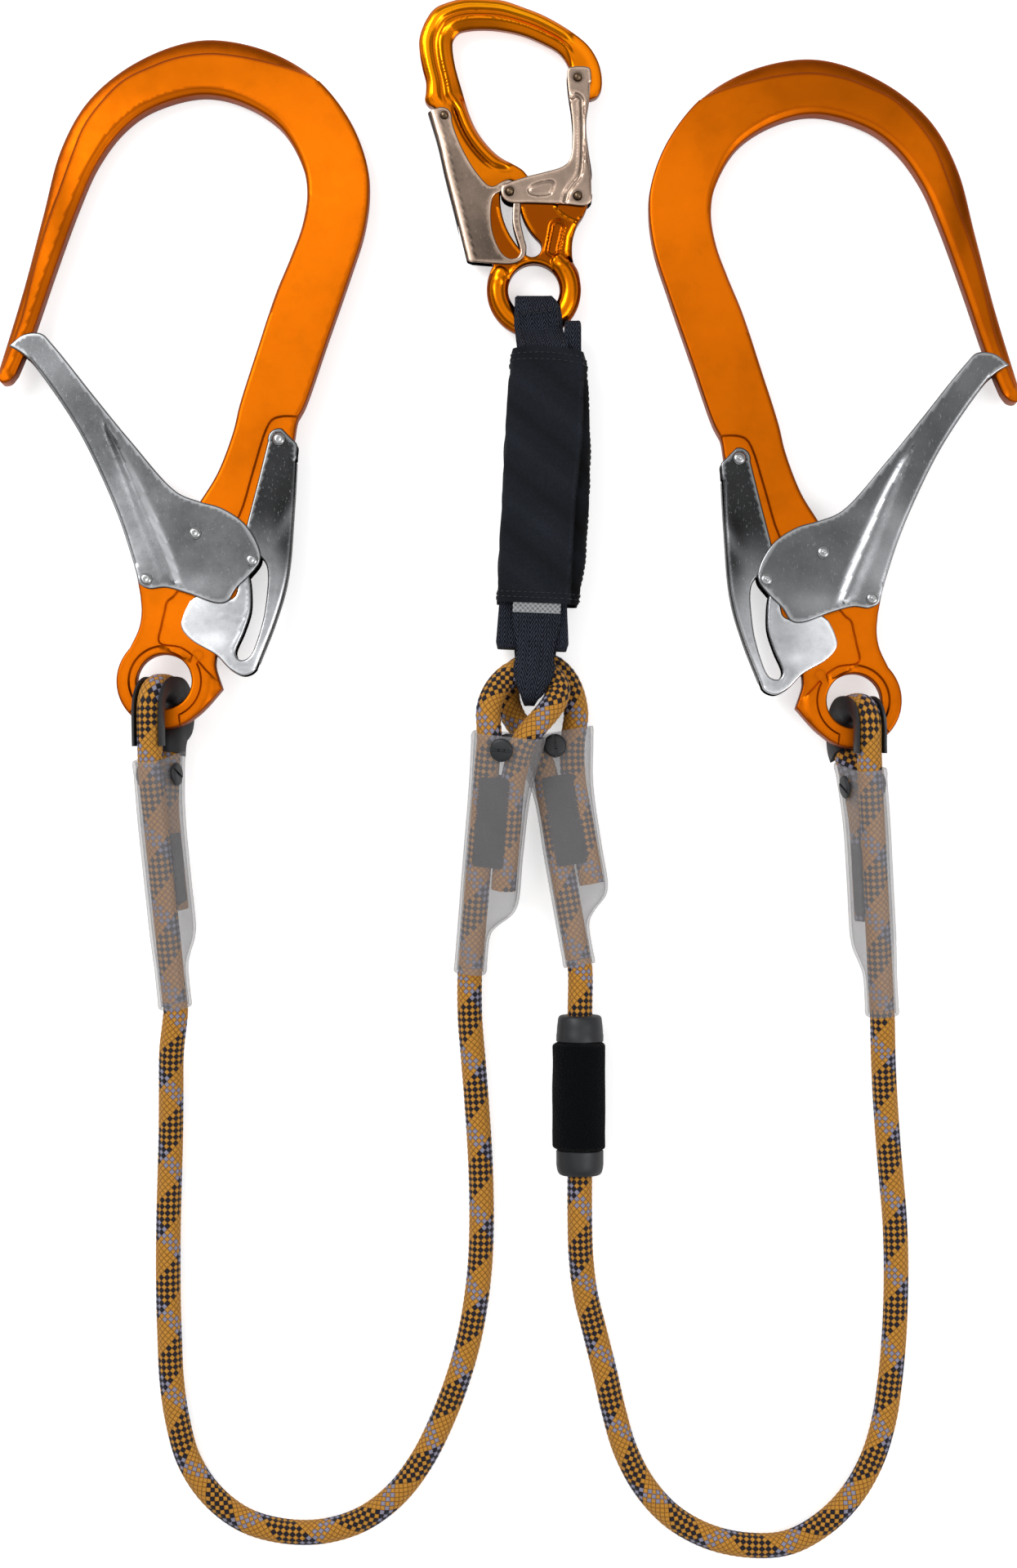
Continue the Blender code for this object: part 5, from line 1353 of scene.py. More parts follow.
def connector_outline():
    lug = [(-51.4, 89.9), (-48.6, 88.6)] + arc(CONNECTOR_LEVER_PIVOT, 4.4, 150, 200, 4)
    left = [lug[-1], (-43.4, 72.6), (-39, 60.6), (-32.6, 46.6), (-27.4, 32.6), (-22.6, 20.6)]
    left += [(-20.4, 12.6)]
    ring = arc((0, 0), RING, 149, 366, 48)
    right = [ring[-1], (21.6, 9.0), (19.2, 13.6), (18.6, 18.9), (19.2, 25.6), (21.2, 31.5)]
    right += [(24.2, 36.2), (26.2, 41)]
    pivot_lug = arc(CONNECTOR_GATE_PIVOT, 5.2, -30, 110, 10)
    throat = [pivot_lug[-1], *CONNECTOR_THROAT]
    notch = arc(CONNECTOR_NOSE_PIN, 1.9, 90, -90, 8)
    nose = [(18.5, 101.1), (19.5, 96), (22, 93.2), (27.8, 92.8)]
    return outline([CONNECTOR_OUTER, lug, left, ring, right, pivot_lug, throat, notch, nose])


def connector_slot():
    radius = math.dist(CONNECTOR_GATE_PIVOT, CONNECTOR_GUIDE)
    return kidney(CONNECTOR_GATE_PIVOT, radius, 4.6, 174, 228)


def connector_height(places, depth):
    """The forging: a deep bow section, a flat web with raised lines, and a round eye bead."""
    x, y = places.T
    z = 4.0 - rounded(depth, 0.9)
    outer, inner = (off_curve(places, line)[0] for line in (CONNECTOR_OUTER, CONNECTOR_THROAT))
    bow = np.interp(outer / (outer + inner).clip(0.1), *zip(*BOW_SECTION))
    bead = 1.8 * (1 - (abs(inner - 3.1) / 3.1).clip(0, 1) ** 2.2)
    dip = 0.5 * hump(inner - 6.8, 0.9)
    lower = np.minimum(z, 4.0 - 1.9 * (1 - inner / 3.3).clip(0, 1) ** 2) + bead - dip
    upper_end = 1 - smooth_step((x - 14.5) / 6)
    tail_end = smooth_step((-x - 9.5) / 5) * smooth_step((y - 57) / 5)
    on_bow = np.where(y > 87, upper_end, tail_end * (x < -5))
    z = z + (lower + (bow - lower) * smooth_step((y - 87) / 9) - z) * on_bow
    # The eye's bead runs from 160 degrees over an arc of 244, with a bulb at each end
    radius, angle = np.hypot(x, y), np.degrees(np.arctan2(y, x)) % 360
    turned, off = (angle - 160) % 360, abs(radius - 17.8)
    bead = 5.8 - 3.5 * (off / 5.3) ** 2.5
    reach = np.where(turned <= 244, np.minimum(turned, 244 - turned), 0)
    reach -= np.where(turned > 244, np.minimum(turned - 244, 360 - turned), 0)
    tip = np.hypot(np.minimum(reach, 0) * 0.31, off)
    cap = np.where(reach > 0, 1, smooth_step((5.2 - tip) / 1.6))
    bulb = hump(reach - 4, 7) * 0.5 * (1 - (off / 4).clip(0, 1))
    z = np.where(radius < 23.6, z + (bead + bulb - z) * cap, z)
    z += 0.55 * hump(radius - 13.9, 0.8) * (1 - cap)
    rim = hump(off_line(places, connector_slot(), True)[0] - 1.3, 0.7) * smooth_step((3 - x) / 6)
    z += 0.22 * rim * (1 - on_bow) * (1 - cap * (radius < 23.6)) * (y < 40)
    oval, floor = inwards(places, OVAL), inwards(places, OVAL_FLOOR)
    z += 0.42 * hump(oval + 0.1, 0.34) - 0.3 * smooth_step(oval / 0.5)
    z += 0.36 * hump(floor, 0.3) - 0.2 * smooth_step(floor / 0.4)
    for line, height, width in ((FORK_LINE, 0.6, 0.7), (SIDE_LINE, 0.5, 0.8)):
        z += height * hump(off_line(places, line)[0], width)
    return z.clip(1.2)


def connector_painted_shade(places):
    """Painted shade: darkest in the bow's valley, round the eye and beside the raised lines, and
    over the web towards its lower end.
    """
    x, y = places.T
    z = connector_height(places, np.full(len(places), 9.0))
    edge = off_line(places, connector_outline(), True)[0]
    outer, inner = (off_curve(places, line)[0] for line in (CONNECTOR_OUTER, CONNECTOR_THROAT))
    valley = hump(outer / (outer + inner).clip(0.1) - 0.47, 0.07)
    valley *= smooth_step((y - 88) / 5) * smooth_step((17 - x) / 5)
    low = hump(inner - 7.0, 1.2) * (y < 90) * (y > 62) * (x < -8)
    web = (0.12 + 0.6 * smooth_step((58 - y) / 16)) * smooth_step((4.15 - z) / 0.12)
    eye = hump(near(places, (0, 0)) - CONNECTOR_BORE, 1.2)
    found = [0.75 * hump(edge, 1.1), 0.8 * eye, 0.6 * valley, 0.75 * low, web]
    return np.max(found, axis=0)


def connector_painted_light(places):
    """Painted light and shade: the bow's outer roll is lightest on the left, and the lower webs
    are painted darker.
    """
    outer = off_curve(places, CONNECTOR_OUTER)[0]
    tone = 0.42 * hump(outer - 3.6, 1.7) * smooth_step((places[:, 1] - 90) / 8)
    tone += glow(places, [(-2, 136, 40, 12, 0.35), (-48, 118, 12, 26, 0.3)])
    return tone - 0.12 * smooth_step((48 - places[:, 1]) / 12)


def connector_body_mesh():
    pivots = (CONNECTOR_GATE_PIVOT, CONNECTOR_LEVER_PIVOT)
    holes = [arc((0, 0), CONNECTOR_BORE, 0, 360, 90)[:-1], connector_slot()]
    holes += [circle(place, CONNECTOR_HOLE) for place in pivots]
    lines = [(FORK_LINE, (0, 0.7, -0.7)), (SIDE_LINE, (0, 0.8, -0.8))]
    lines += [(OVAL, (0.5, 0.2, -0.1, -0.4, -0.7)), (OVAL_FLOOR, (0.45, 0.15, -0.15, -0.45))]
    rims = (0.1, 0.3, 0.6, 0.95)
    shape = relief([connector_outline(), *holes], connector_height, lines, rims, 0.6)
    cutters = [prism(circle(place, 6.0), -2.0, 2.0) for place in pivots]
    mesh = carved("connector_body", shape, cutters, 40)
    # The crease value holds painted shade in the valley, round the eye, along the edges and on the
    # lower web.
    return store(mesh, "crease", connector_painted_shade(flat_places(mesh)))


CONNECTOR_GATE = [(16.2, 105.5), (17.2, 107.8), (19.2, 108.3), (24.9, 108.3), (27.2, 107.5)]
CONNECTOR_GATE += [(27.8, 105.5), (27.8, 96.9), (26.8, 90.9), (25.6, 83), (25.6, 76.3)]
CONNECTOR_GATE += [(26.8, 66.4), (28.2, 56.4), (28.5, 46.5), (27.8, 42.5), (24.9, 40.5)]
CONNECTOR_GATE += [(14.9, 41.2), (-1.7, 41.8), (-12.3, 42.2), (-15.3, 44.5), (-16.2, 47.8)]
CONNECTOR_GATE += [(-15.3, 50.4), (-12.3, 51.8), (-3, 54.8), (5, 56.8), (13.6, 59.4)]
CONNECTOR_GATE += [(16.9, 62), (18.2, 65.7), (18.9, 76.3), (18.2, 86.3), (17.2, 93.2)]
CONNECTOR_GATE += [(16.4, 99.5)]
CONNECTOR_WEB = [(27.8, 100), (27.4, 91), (25.6, 83), (25.6, 76.3), (26.8, 66.4), (28.2, 55)]
CONNECTOR_WEB += [(28.5, 46.5)]
GROOVE = [(18.6, 93), (20.6, 94.4), (23.0, 92.4), (23.2, 90), (23.0, 58.6), (21.6, 54)]
GROOVE += [(18.4, 50), (16.2, 46.4), (15.2, 42.4)]
TRIANGLE = [(-3.4, 48.0), (-1.6, 50.6), (8.6, 53.2), (10.4, 51.4), (8.2, 45.6), (-2.0, 45.4)]


def connector_gate_height(places, depth):
    """Pressed steel: a fold on the right, a groove up its arm and a pressed triangle."""
    fold, groove = (off_curve(places, line)[0] for line in (CONNECTOR_WEB, GROOVE))
    z = 6.35 - rounded(fold, 2.2) * 0.8 - rounded(depth, 0.8) * 0.7
    z -= 0.62 * np.exp(-((groove / 0.95) ** 4))
    z += 0.2 * hump(groove - 1.7, 0.6)
    triangle = inwards(places, curve_through(TRIANGLE, 4, True))
    z += 0.45 * smooth_step((triangle - 1.0) / 0.8) - 0.5 * smooth_step(triangle / 0.8)
    for place in (CONNECTOR_GATE_PIVOT, CONNECTOR_GUIDE):
        z += 0.18 * hump(near(places, place) - 2.9, 0.5)
    return z


CONNECTOR_LEVER = [(-48.8, 87.9), (-45.4, 88.8), (-42.1, 87.9), (-40.3, 85.6), (-39.8, 81.6)]
CONNECTOR_LEVER += [(-38.2, 76.3), (-34.8, 68.4), (-29.5, 59.1), (-24.2, 52.4), (-21.6, 50.4)]
CONNECTOR_LEVER += [(-19, 50.4), (-15.6, 52.4), (-12.3, 53.4), (-9, 51.8), (-7.2, 47.5)]
CONNECTOR_LEVER += [(-6.5, 41.4), (-6.5, 33.4), (-4.8, 25), (-3.6, 20.2), (-4.6, 16.2)]
CONNECTOR_LEVER += [(-7.4, 13.4), (-11, 12.2), (-19.4, 12.4), (-30.2, 13.2)]
CONNECTOR_EDGE = [(-33.5, 14.4), (-38.8, 36.2), (-43.8, 56), (-47.1, 70.6), (-51.8, 86.3)]
WINDOW = [(-11.8, 49.8), (-9.8, 48.4), (-9.8, 45), (-10.2, 41.4), (-10.4, 32.2), (-8.3, 24.2)]
WINDOW += [(-7, 20.2), (-6.8, 17.4), (-8.5, 15.4), (-11.6, 14.9), (-15, 16.9), (-17.6, 20.9)]
WINDOW += [(-19.9, 26.9), (-20.9, 33.5), (-20.8, 40.8), (-19.4, 45.6), (-16.5, 47.3)]
WINDOW += [(-14.2, 49)]


def connector_lever_height(places, depth):
    """Pressed steel: a wide round fold on the left and bright edges round the window."""
    fold = off_curve(places, CONNECTOR_EDGE)[0]
    z = 5.2 - rounded(fold, 3.0) * 0.85 - rounded(depth, 0.55)
    window = off_line(places, curve_through(WINDOW, 6, True), True)[0]
    return z + 0.12 * hump(window - 0.9, 0.5)


def connector_gate_mesh():
    web = [(x - 1.0, y) for x, y in curve_through(CONNECTOR_WEB[1:-1], 4)]
    inside = web + [(45, 55), (45, 20), (-30, 20), (-30, 120), (45, 120), (45, 91)]
    pins = (CONNECTOR_GATE_PIVOT, CONNECTOR_GUIDE, CONNECTOR_NOSE_PIN)
    holes = [circle(place, CONNECTOR_HOLE) for place in pins]
    lines = [beside_curve(CONNECTOR_WEB, 0.5, 1.1, 1.8, 2.4)]
    lines += [beside_curve(GROOVE, 0, 0.7, 1.3, 1.9)]
    lines += [(curve_through(TRIANGLE, 4, True), (0, 0.8, 1.0, 1.8, -0.8, -1.0, -1.8))]
    points = curve_through(CONNECTOR_GATE, 6, True)
    return folded_sheet(
        "connector_gate", points, holes, connector_gate_height, inside, 1.0, lines, 0.9
    )


def connector_lever_mesh():
    edge = CONNECTOR_EDGE
    bottom = [(-30.2, 13.2), edge[0]]
    points = outline([CONNECTOR_LEVER, bottom, edge, [edge[-1], CONNECTOR_LEVER[0]]], 6)
    fold = [(x + 1.1, y) for x, y in reversed(edge)]
    fold[-1] = (fold[-1][0], -5)
    inside = [(-50.7, 95)] + fold + [(20, -5), (20, 95)]
    holes = [circle(CONNECTOR_LEVER_PIVOT, CONNECTOR_HOLE), curve_through(WINDOW, 6, True)]
    lines = [beside_curve(edge, 0.5, 1.1, 1.8, 2.6, 3.2)]
    return folded_sheet(
        "connector_lever", points, holes, connector_lever_height, inside, 1.0, lines
    )


def nickel_gate_painted_light(places):
    """Painted light and shade: lighter than the lever, with painted highlights on the edges, and
    painted shade where the pressings turn away.
    """
    groove = off_curve(places, GROOVE)[0]
    tone = 0.45 - 0.5 * hump(groove, 0.8) + 1.1 * hump(groove - 1.6, 0.5)
    triangle = inwards(places, curve_through(TRIANGLE, 4, True))
    tone += 1.2 * hump(triangle - 0.1, 0.35) + 0.9 * hump(triangle - 1.5, 0.35)
    for place in (CONNECTOR_GATE_PIVOT, CONNECTOR_GUIDE, CONNECTOR_NOSE_PIN):
        tone -= 0.7 * hump(near(places, place) - 2.5, 0.5)
    return tone + bright_edge(places, curve_through(CONNECTOR_GATE, 6, True), 1.0)


def nickel_lever_painted_light(places):
    """Painted light and shade: a painted highlight on the round fold, a brownish web painted
    darker downwards, and painted highlights on the window edges.
    """
    fold = off_curve(places, CONNECTOR_EDGE)[0]
    tone = -0.15 + glow(places, [(-20, 22, 14, 16, -0.4), (-42, 76, 8, 10, 0.35)])
    tone += 2.6 * hump(fold - 2.7, 0.9) - 0.45 * hump(fold - 4.9, 0.5) - 0.5 * hump(fold, 0.9)
    tone += bright_edge(places, curve_through(WINDOW, 6, True), 2.0, 0.6)
    return tone + bright_edge(places, curve_through(CONNECTOR_LEVER, 6), 1.3)


def build_connector():
    """The connector at the top: polished forging, folded gate and lever, and its rivets."""
    # Each piece stores its painted light and shade as its tone.
    body = set_painted_light(connector_body_mesh(), connector_painted_light)
    gate = set_painted_light(connector_gate_mesh(), nickel_gate_painted_light)
    lever = set_painted_light(connector_lever_mesh(), nickel_lever_painted_light)
    for part, mesh, finish, rides, slot in (
        ("body", body, "connector", "connector", "connector_anodised"),
        ("gate", gate, "nickel", "connector_gate", "steel"),
        ("lever", lever, "nickel", "connector_lever", "steel"),
    ):
        put_metal(f"connector_{part}", mesh, finish, rides, CONNECTOR_FRAME)
    for rides, face, pins in (
        ("connector", "connector_gate", {"gate": CONNECTOR_GATE_PIVOT}),
        ("connector", "connector_lever", {"lever": CONNECTOR_LEVER_PIVOT}),
        ("connector_gate", "connector_gate", {"guide": CONNECTOR_GUIDE,
                                              "nose": CONNECTOR_NOSE_PIN}),
    ):
        pins = {f"connector_{word}_rivet": place for word, place in pins.items()}
        rivets(rides, face, pins, 1.9, "aged_rivet", CONNECTOR_FRAME)
    finish_springs("connector")


# Absorber and its webbing


def loop_section(left, right, low, high, corner, count):
    """A rounded rectangle in X and Z with its points evenly spaced round it, from a corner."""
    ring = []
    for x, z, start in (
        (right - corner, high - corner, 90),
        (right - corner, low + corner, 0),
        (left + corner, low + corner, -90),
        (left + corner, high - corner, -180),
    ):
        ring += arc((x, z), corner, start, start - 90, 8)
    ring = np.array(ring + ring[:1])
    steps = lengths_along(ring)
    targets = np.linspace(0, steps[-1], count, endpoint=False)
    return np.stack([np.interp(targets, steps, c) for c in ring.T], 1), steps[-1]


def ring_uv(skin, count, step, along):
    """A map for rings of one count: U grows by a step a point, V is where the ring lies."""
    uv = []
    for face in skin:
        spots = [(v % count, min(v // count, len(along) - 1)) for v in face]
        turns = [i for i, _ in spots]
        wraps = max(turns) - min(turns) > count / 2
        for i, row in spots:
            i = i + count if wraps and i < count / 2 else i
            uv.append((i * step, along[row]))
    return uv


COVER_SIDES, PACK_SIDES = 160, 240
COVER_ROWS = [(-60, 19.4, 1.5, 17), (-38, 18.9, 4.5, 17.3), (-10, 18.6, 5.5, 17.3)]
COVER_ROWS += [(20, 18.4, 5, 17.3), (46, 18, 3.5, 17.3), (58, 17.4, 2.5, 17.2)]
COVER_ROWS += [(64, 16.2, 2, 17.1)]


def flap_edge(y):
    """Where the cover's front layer ends, before its back layer."""
    return np.interp(y, (-61.7, -12, 2, 23, 60), (16.0, 16.4, 17.4, 18.4, 17.8))


def cover_section(y, inset):
    """The cover's section at a height, with its wrinkles, drawn in by an inset."""
    width, bulge, high = at_height(COVER_ROWS, y)
    section, around = loop_section(-width, width + bulge, -high, high, 4.4, COVER_SIDES)
    out = section - np.array([bulge / 2, 0])
    out /= np.hypot(*out.T)[:, None]
    side = np.arange(COVER_SIDES) / COVER_SIDES
    ends = min(1.0, (62 - y) / 6, (y + 60) / 6)
    fold = math.sin(y * 0.23 + 1.3) * np.sin(side * 25.1 + y * 0.11)
    fold += 0.7 * np.sin(side * 44 + y * 0.31) * math.sin(y * 0.13)
    fold += 1.1 * hump(side - 0.29, 0.02) * math.sin(y * 0.9) * 0.5
    waist = 0.5 * hump(y - 52, 3) + 0.5 * hump(y + 52, 3)
    puff = 0.35 * np.sin(side * 4 % 1 * math.pi) * max(0.0, ends)
    grow = fold * (0.32 * max(0.15, ends)) - waist + puff - 0.6 - inset
    moved = section + out * grow[:, None]
    behind = smooth_step((moved[:, 0] - flap_edge(y)) / 0.8) * (moved[:, 1] > 0)
    moved[:, 1] -= behind * (5.4 + 0.8 * math.sin(y * 0.2))
    arch = 2.2 * smooth_step((y - 44) / 18)
    return [(x, y + arch * (1 - (x / 19) ** 2), z) for x, z in moved], around


def absorber_cover():
    """Fabric wrapped round the pack, open at both ends, with a stitched hem at each."""
    heights = np.arange(-60, 61.9, 1.24)
    outer, inner = ([cover_section(y, inset)[0] for y in heights] for inset in (0, 0.8))
    around = cover_section(0, 0)[1]
    vertices, skin = shell(outer, inner)
    uv = ring_uv(skin, COVER_SIDES, around / COVER_SIDES, [*heights, *heights[::-1]])
    mesh = mesh_from("cover", (vertices, skin), ABSORBER_FRAME, uv, 60)
    # The cover's tone: a painted highlight along the front layer's edge, painted shade over the
    # back layer behind it, and soft diagonal bands of lighter and darker.
    x, y, z = np.array(vertices, float).T
    past = x - flap_edge(y)
    tone = 0.5 * hump(past + 0.9, 0.5) * (z > 8) - 0.6 * smooth_step((past - 0.1) / 0.5)
    store(mesh, "tone", tone + 0.3 * np.sin(y * 0.21 + x * 0.16) ** 3)
    nodes = ("absorber_cover",)
    cover = put(
        "absorber_fabric_cover", mesh, FINISHES["cover"], "lanyard", nodes
    )
    hems = [cover_section(y, -0.12)[0] for y in (58.6, 55.8, -57.4, -55.0)]
    rows = [[*hem, hem[0]] for hem in hems]
    sections = [cover_section(y, -0.12)[0] for y in np.arange(-58, 59, 2.0)]
    rows += [[section[index] for section in sections] for index in (14, 17)]
    stitches("absorber_cover_stitches", rows, ABSORBER_FRAME)


PACK_ROWS = [(-82, 17.6, -1.6, 11.6), (-79, 18.4, -1.6, 12.9), (-60, 17.6, -2.4, 12.9)]
PACK_ROWS += [(-38, 17.2, -1.8, 12.9), (20, 16.9, 0.2, 12.9), (50, 16.4, 0.4, 12.7)]
PACK_ROWS += [(56, 15.2, 0.6, 11.2)]


def absorber_pack():
    """The tear webbing, folded to and fro: its edges show as layers at the lower end."""
    along = np.concatenate([np.arange(-82, -79, 0.5), np.arange(-79, 56.1, 1.8)])
    half_pack, layers = 12.9, 11
    layer, sections = 2 * half_pack / layers, []
    for y in along:
        width, bulge, half = at_height(PACK_ROWS, y)
        points, _ = loop_section(-width, width + bulge, -half, half, 3.2, PACK_SIDES)
        x, z = points.T
        off = x - bulge / 2
        groove = abs((z + half_pack) / layer % 1 - 0.5) * 2
        tuck = smooth_step((abs(off) - width + 1.2) / 1.4)
        tuck *= 0.9 * groove**3 + 0.4 * np.sin(z * 1.7 + y * 0.05)
        moved = (x - np.copysign(tuck, off), np.full(len(x), y), z * (1 - 0.012))
        sections.append(np.stack(moved, 1))
    vertices, skin = lofted(sections)
    uv = ring_uv(skin, PACK_SIDES, 0.5, along)
    mesh = mesh_from("pack", (vertices, skin), ABSORBER_FRAME, uv, 40)
    pack = put(
        "absorber_folded_webbing", mesh, FINISHES["webbing"], "lanyard",
        ("absorber_pack",),
    )


WIDE, DEEP = 23.5, 2.0


def webbing_band(name, rows, finish, nodes, steps=12, edge=0.85):
    """A strap as one closed band with rolled edges, and a map in millimetres over it.

    Each row is a point, and a width and a thickness where they aren't the webbing's own.
    """
    rows = [(*row, *(WIDE, DEEP)[len(row) - 3 :]) for row in rows]
    rows = np.array(curve_through(rows, steps))
    places, width, deep = rows[:, :3], rows[:, 3], rows[:, 4]
    along = np.gradient(places, axis=0)
    along /= np.linalg.norm(along, axis=1)[:, None]
    side = np.array([1.0, 0, 0]) - along * along[:, :1]
    side /= np.linalg.norm(side, axis=1)[:, None]
    out = np.cross(side, along)
    lengths = lengths_along(places)
    across_steps, sections, spots = 14, [], []
    for i in range(len(rows)):
        half, thick = width[i] / 2, deep[i] / 2
        profile = []
        for way in (1, -1):
            for k in range(across_steps + 1):
                t = way * (-1 + 2 * k / across_steps)
                x = math.copysign(abs(t) ** 0.8, t) if abs(t) < 1 else t
                drop = max(0.0, (abs(x) * half - half + edge) / edge)
                z = thick * (math.sqrt(max(0.0, 1 - drop**2)) * 0.9 + 0.1)
                roll = 0.1 * hump(abs(x) * half - half + 1.2, 0.5)
                profile.append((x * half, way * (z + roll)))
        sections.append([places[i] + side[i] * u + out[i] * v for u, v in profile])
        spots.append([u for u, _ in profile])
    vertices, skin = lofted(sections)
    count, uv = len(sections[0]), []
    for v in (v for face in skin for v in face):
        row = min(v // count, len(sections) - 1)
        uv.append((spots[row][v % count] if v // count < len(sections) else 0, lengths[row]))
    mesh = mesh_from(name, (vertices, skin), WORLD_FRAME, uv, 50)
    put(name, mesh, FINISHES[finish], "lanyard", nodes)
    return places, side, out, width, deep


def cross_row(frames, share):
    """A line of stitching across a band, a share of the way along it."""
    places, side, out, width, deep = frames
    i = int(round(share * (len(places) - 1)))
    reach = width[i] / 2 - 1.6
    lift = out[i] * (deep[i] / 2 + 0.12)
    return [places[i] + side[i] * reach * t + lift for t in np.linspace(-1, 1, 12)]


def long_row(frames, start, end, off):
    """A line of stitching along a band, at a distance off its middle."""
    places, side, out, width, deep = frames
    first, last = (int(round(s * (len(places) - 1))) for s in (start, end))
    return [places[i] + side[i] * min(off, width[i] / 2 - 1) + out[i] * (deep[i] / 2 + 0.12)
            for i in range(first, last)]


TOP_ROWS = [(17.2, 96, 31.5), (17.2, 108, 31.3), (17, 114.5, 29.9), (15.8, 119.5, 24.5)]
TOP_ROWS += [(14.6, 124.5, 17.9), (14.2, 130, 16.9), (13.4, 135.5, 16.9, 22)]
TOP_ROWS += [(12.6, 139.4, 14.5, 19.6), (12.4, 141, 12.1, 19), (12.4, 141, 7.1, 19)]
TOP_ROWS += [(12.6, 139.4, 4.7, 19.6), (13.4, 135.5, 2.3, 22), (14.6, 128, 2.3)]
TOP_ROWS += [(15.8, 118, 2.9), (17.2, 108, 2.9), (17.2, 96, 3.1)]
TEAR_ROWS = [(30.6, 100, 25, 9), (30.8, 118, 25, 8.4), (31, 125, 24, 8), (31, 127.4, 21, 7.8)]
TEAR_ROWS += [(31, 127.8, 17, 7.6), (31, 126.6, 13, 7.8), (30.8, 118, 10.6, 8.4)]
TEAR_ROWS += [(30.6, 100, 10, 9)]
LOW_ROWS = [(13.6, -6, 31.5), (13.2, -20, 31.5, 22.5), (12.8, -31.5, 31.5, 18)]
LOW_ROWS += [(12, -42, 31.1, 20), (10.8, -50, 30.9, 14), (10.1, -55, 27.9, 8, 2.2)]
LOW_ROWS += [(10, -57, 22, 6, 2.6), (10, -57, 15, 6, 2.6), (10, -56.6, 8, 6.2, 2.6)]
LOW_ROWS += [(10.4, -54, 2.6, 9, 2.2), (11.6, -48, 1.35, 15, 1.9), (12.8, -34, 1.35, 20, 1.9)]
LOW_ROWS += [(13.4, -20, 2.8, 22.5), (13.6, -6, 3.1)]
WRAP_ROWS = [(13.8, -3, 32.95, 23, 0.5), (13.5, -9, 32.95, 23, 0.5), (13.3, -14, 32.95, 23, 0.5)]


def build_absorber():
    """The absorber: pack, cover, inner wrap, and the webbing loops at both ends."""
    absorber_pack()
    absorber_cover()
    top = webbing_band("absorber_top_webbing", TOP_ROWS, "webbing", ("absorber_top_strap",))
    rows = [cross_row(top, share) for share in (0.365, 0.375, 0.385)]
    rows += [long_row(top, 0.0, 0.36, off) for off in (-9.6, 9.6)]
    stitches("absorber_top_stitches", rows)
    webbing_band("absorber_tear_webbing_end", TEAR_ROWS, "webbing", ())
    low = webbing_band("absorber_lower_webbing", LOW_ROWS, "webbing", ("absorber_lower_strap",))
    rows = [long_row(low, 0.02, 0.3, off) for off in (-8, -4, 0, 4, 8)]
    stitches("absorber_lower_stitches", rows)
    nodes = ("absorber_white_tape",)
    webbing_band("absorber_inner_wrap", WRAP_ROWS, "tape", nodes, 6, 0.3)


# Ropes, their loops, sleeves, thimbles, screws and the grip


def braid(route, spacing):
    """A braided rope along a route: a tube whose strands stand up where they lie on top.

    Its map's U goes once round and its V counts lays, as the sheath's colours need.
    """
    rope, sides = bpy.context.scene.lanyard_rope, 48
    radius, lay = rope.diameter / 2 / MM, rope.lay / MM
    carriers, high = rope.carriers, rope.relief / MM
    fine = even_route(route, spacing)
    places, _, side, up = frames_along(fine)
    lengths = lengths_along(places)
    u, v = np.meshgrid(np.arange(sides) / sides, lengths / lay)
    s, t = (u + v) * carriers, (u - v) * carriers
    over_s = (np.floor(s + 1e-6) + np.floor(t + 1e-6)) % 2 < 0.5
    part_s, part_t = (s + 1e-6) % 1 - 0.5, (t + 1e-6) % 1 - 0.5
    across = np.where(over_s, part_s, part_t)
    length = np.where(over_s, part_t, part_s)
    crown = (1 - (abs(across) * 2) ** 2.6) * (1 - 0.55 * (abs(length) * 2) ** 3)
    swell = radius - high * 0.75 + high * crown
    angle = 2 * np.pi * u[..., None]
    out = np.cos(angle) * side[:, None] + np.sin(angle) * up[:, None]
    vertices, skin = lofted(places[:, None] + out * swell[..., None])
    return (vertices, skin), ring_uv(skin, sides, 1 / sides, lengths / lay), fine, lengths[-1]


def rope_piece(name, route, node):
    """A rope or an end loop, as one braided piece."""
    rope = bpy.context.scene.lanyard_rope
    shape, uv, fine, length = braid(route, rope.lay / MM / 48)
    mesh = mesh_from(name, shape, WORLD_FRAME, uv, 70)
    obj = put(name, mesh, FINISHES["rope"], "lanyard", (node,))


def put_moulding(node, mesh, finish, body, matrix=None):
    put(f"{node}_moulding", mesh, FINISHES[finish], body, (node,), matrix)


LEFT_ROPE = [(-163.9, -217, 14.6), (-165, -235, 11.4), (-165.4, -258, 7.8)]
LEFT_ROPE += [(-166.2, -285, 6.15), (-167, -320, 6.1), (-166.6, -360, 6.1), (-164, -400, 6.1)]
LEFT_ROPE += [(-156, -430, 6.1), (-145.6, -445, 6.1), (-130, -457, 6.1), (-108, -463, 6.1)]
LEFT_ROPE += [(-82, -461, 6.1), (-60.8, -449.6, 6.1), (-44, -430, 6.1), (-31, -404, 6.1)]
LEFT_ROPE += [(-20.4, -372, 6.1), (-14.6, -337, 6.1), (-13.4, -305, 6.1), (-14.6, -270, 6.1)]
LEFT_ROPE += [(-17.2, -235, 6.4), (-19.2, -208, 7.6)]
RIGHT_ROPE = [(34.8, -202, 13.9), (34.6, -209.2, 14), (34.6, -225, 14), (34.6, -240, 14)]
RIGHT_ROPE += [(34.6, -275, 14), (34.6, -310, 14), (35.4, -330, 11.6), (38.2, -350, 7.8)]
RIGHT_ROPE += [(44.8, -375, 6.15), (51.4, -404, 6.1), (60, -430, 6.1), (74, -450, 6.1)]
RIGHT_ROPE += [(90, -462, 6.1), (112, -469, 6.1), (136, -468.6, 6.1), (158, -456, 6.1)]
RIGHT_ROPE += [(174, -436, 6.1), (183, -412, 6.1), (187.4, -384, 6.1), (189.6, -350, 6.1)]
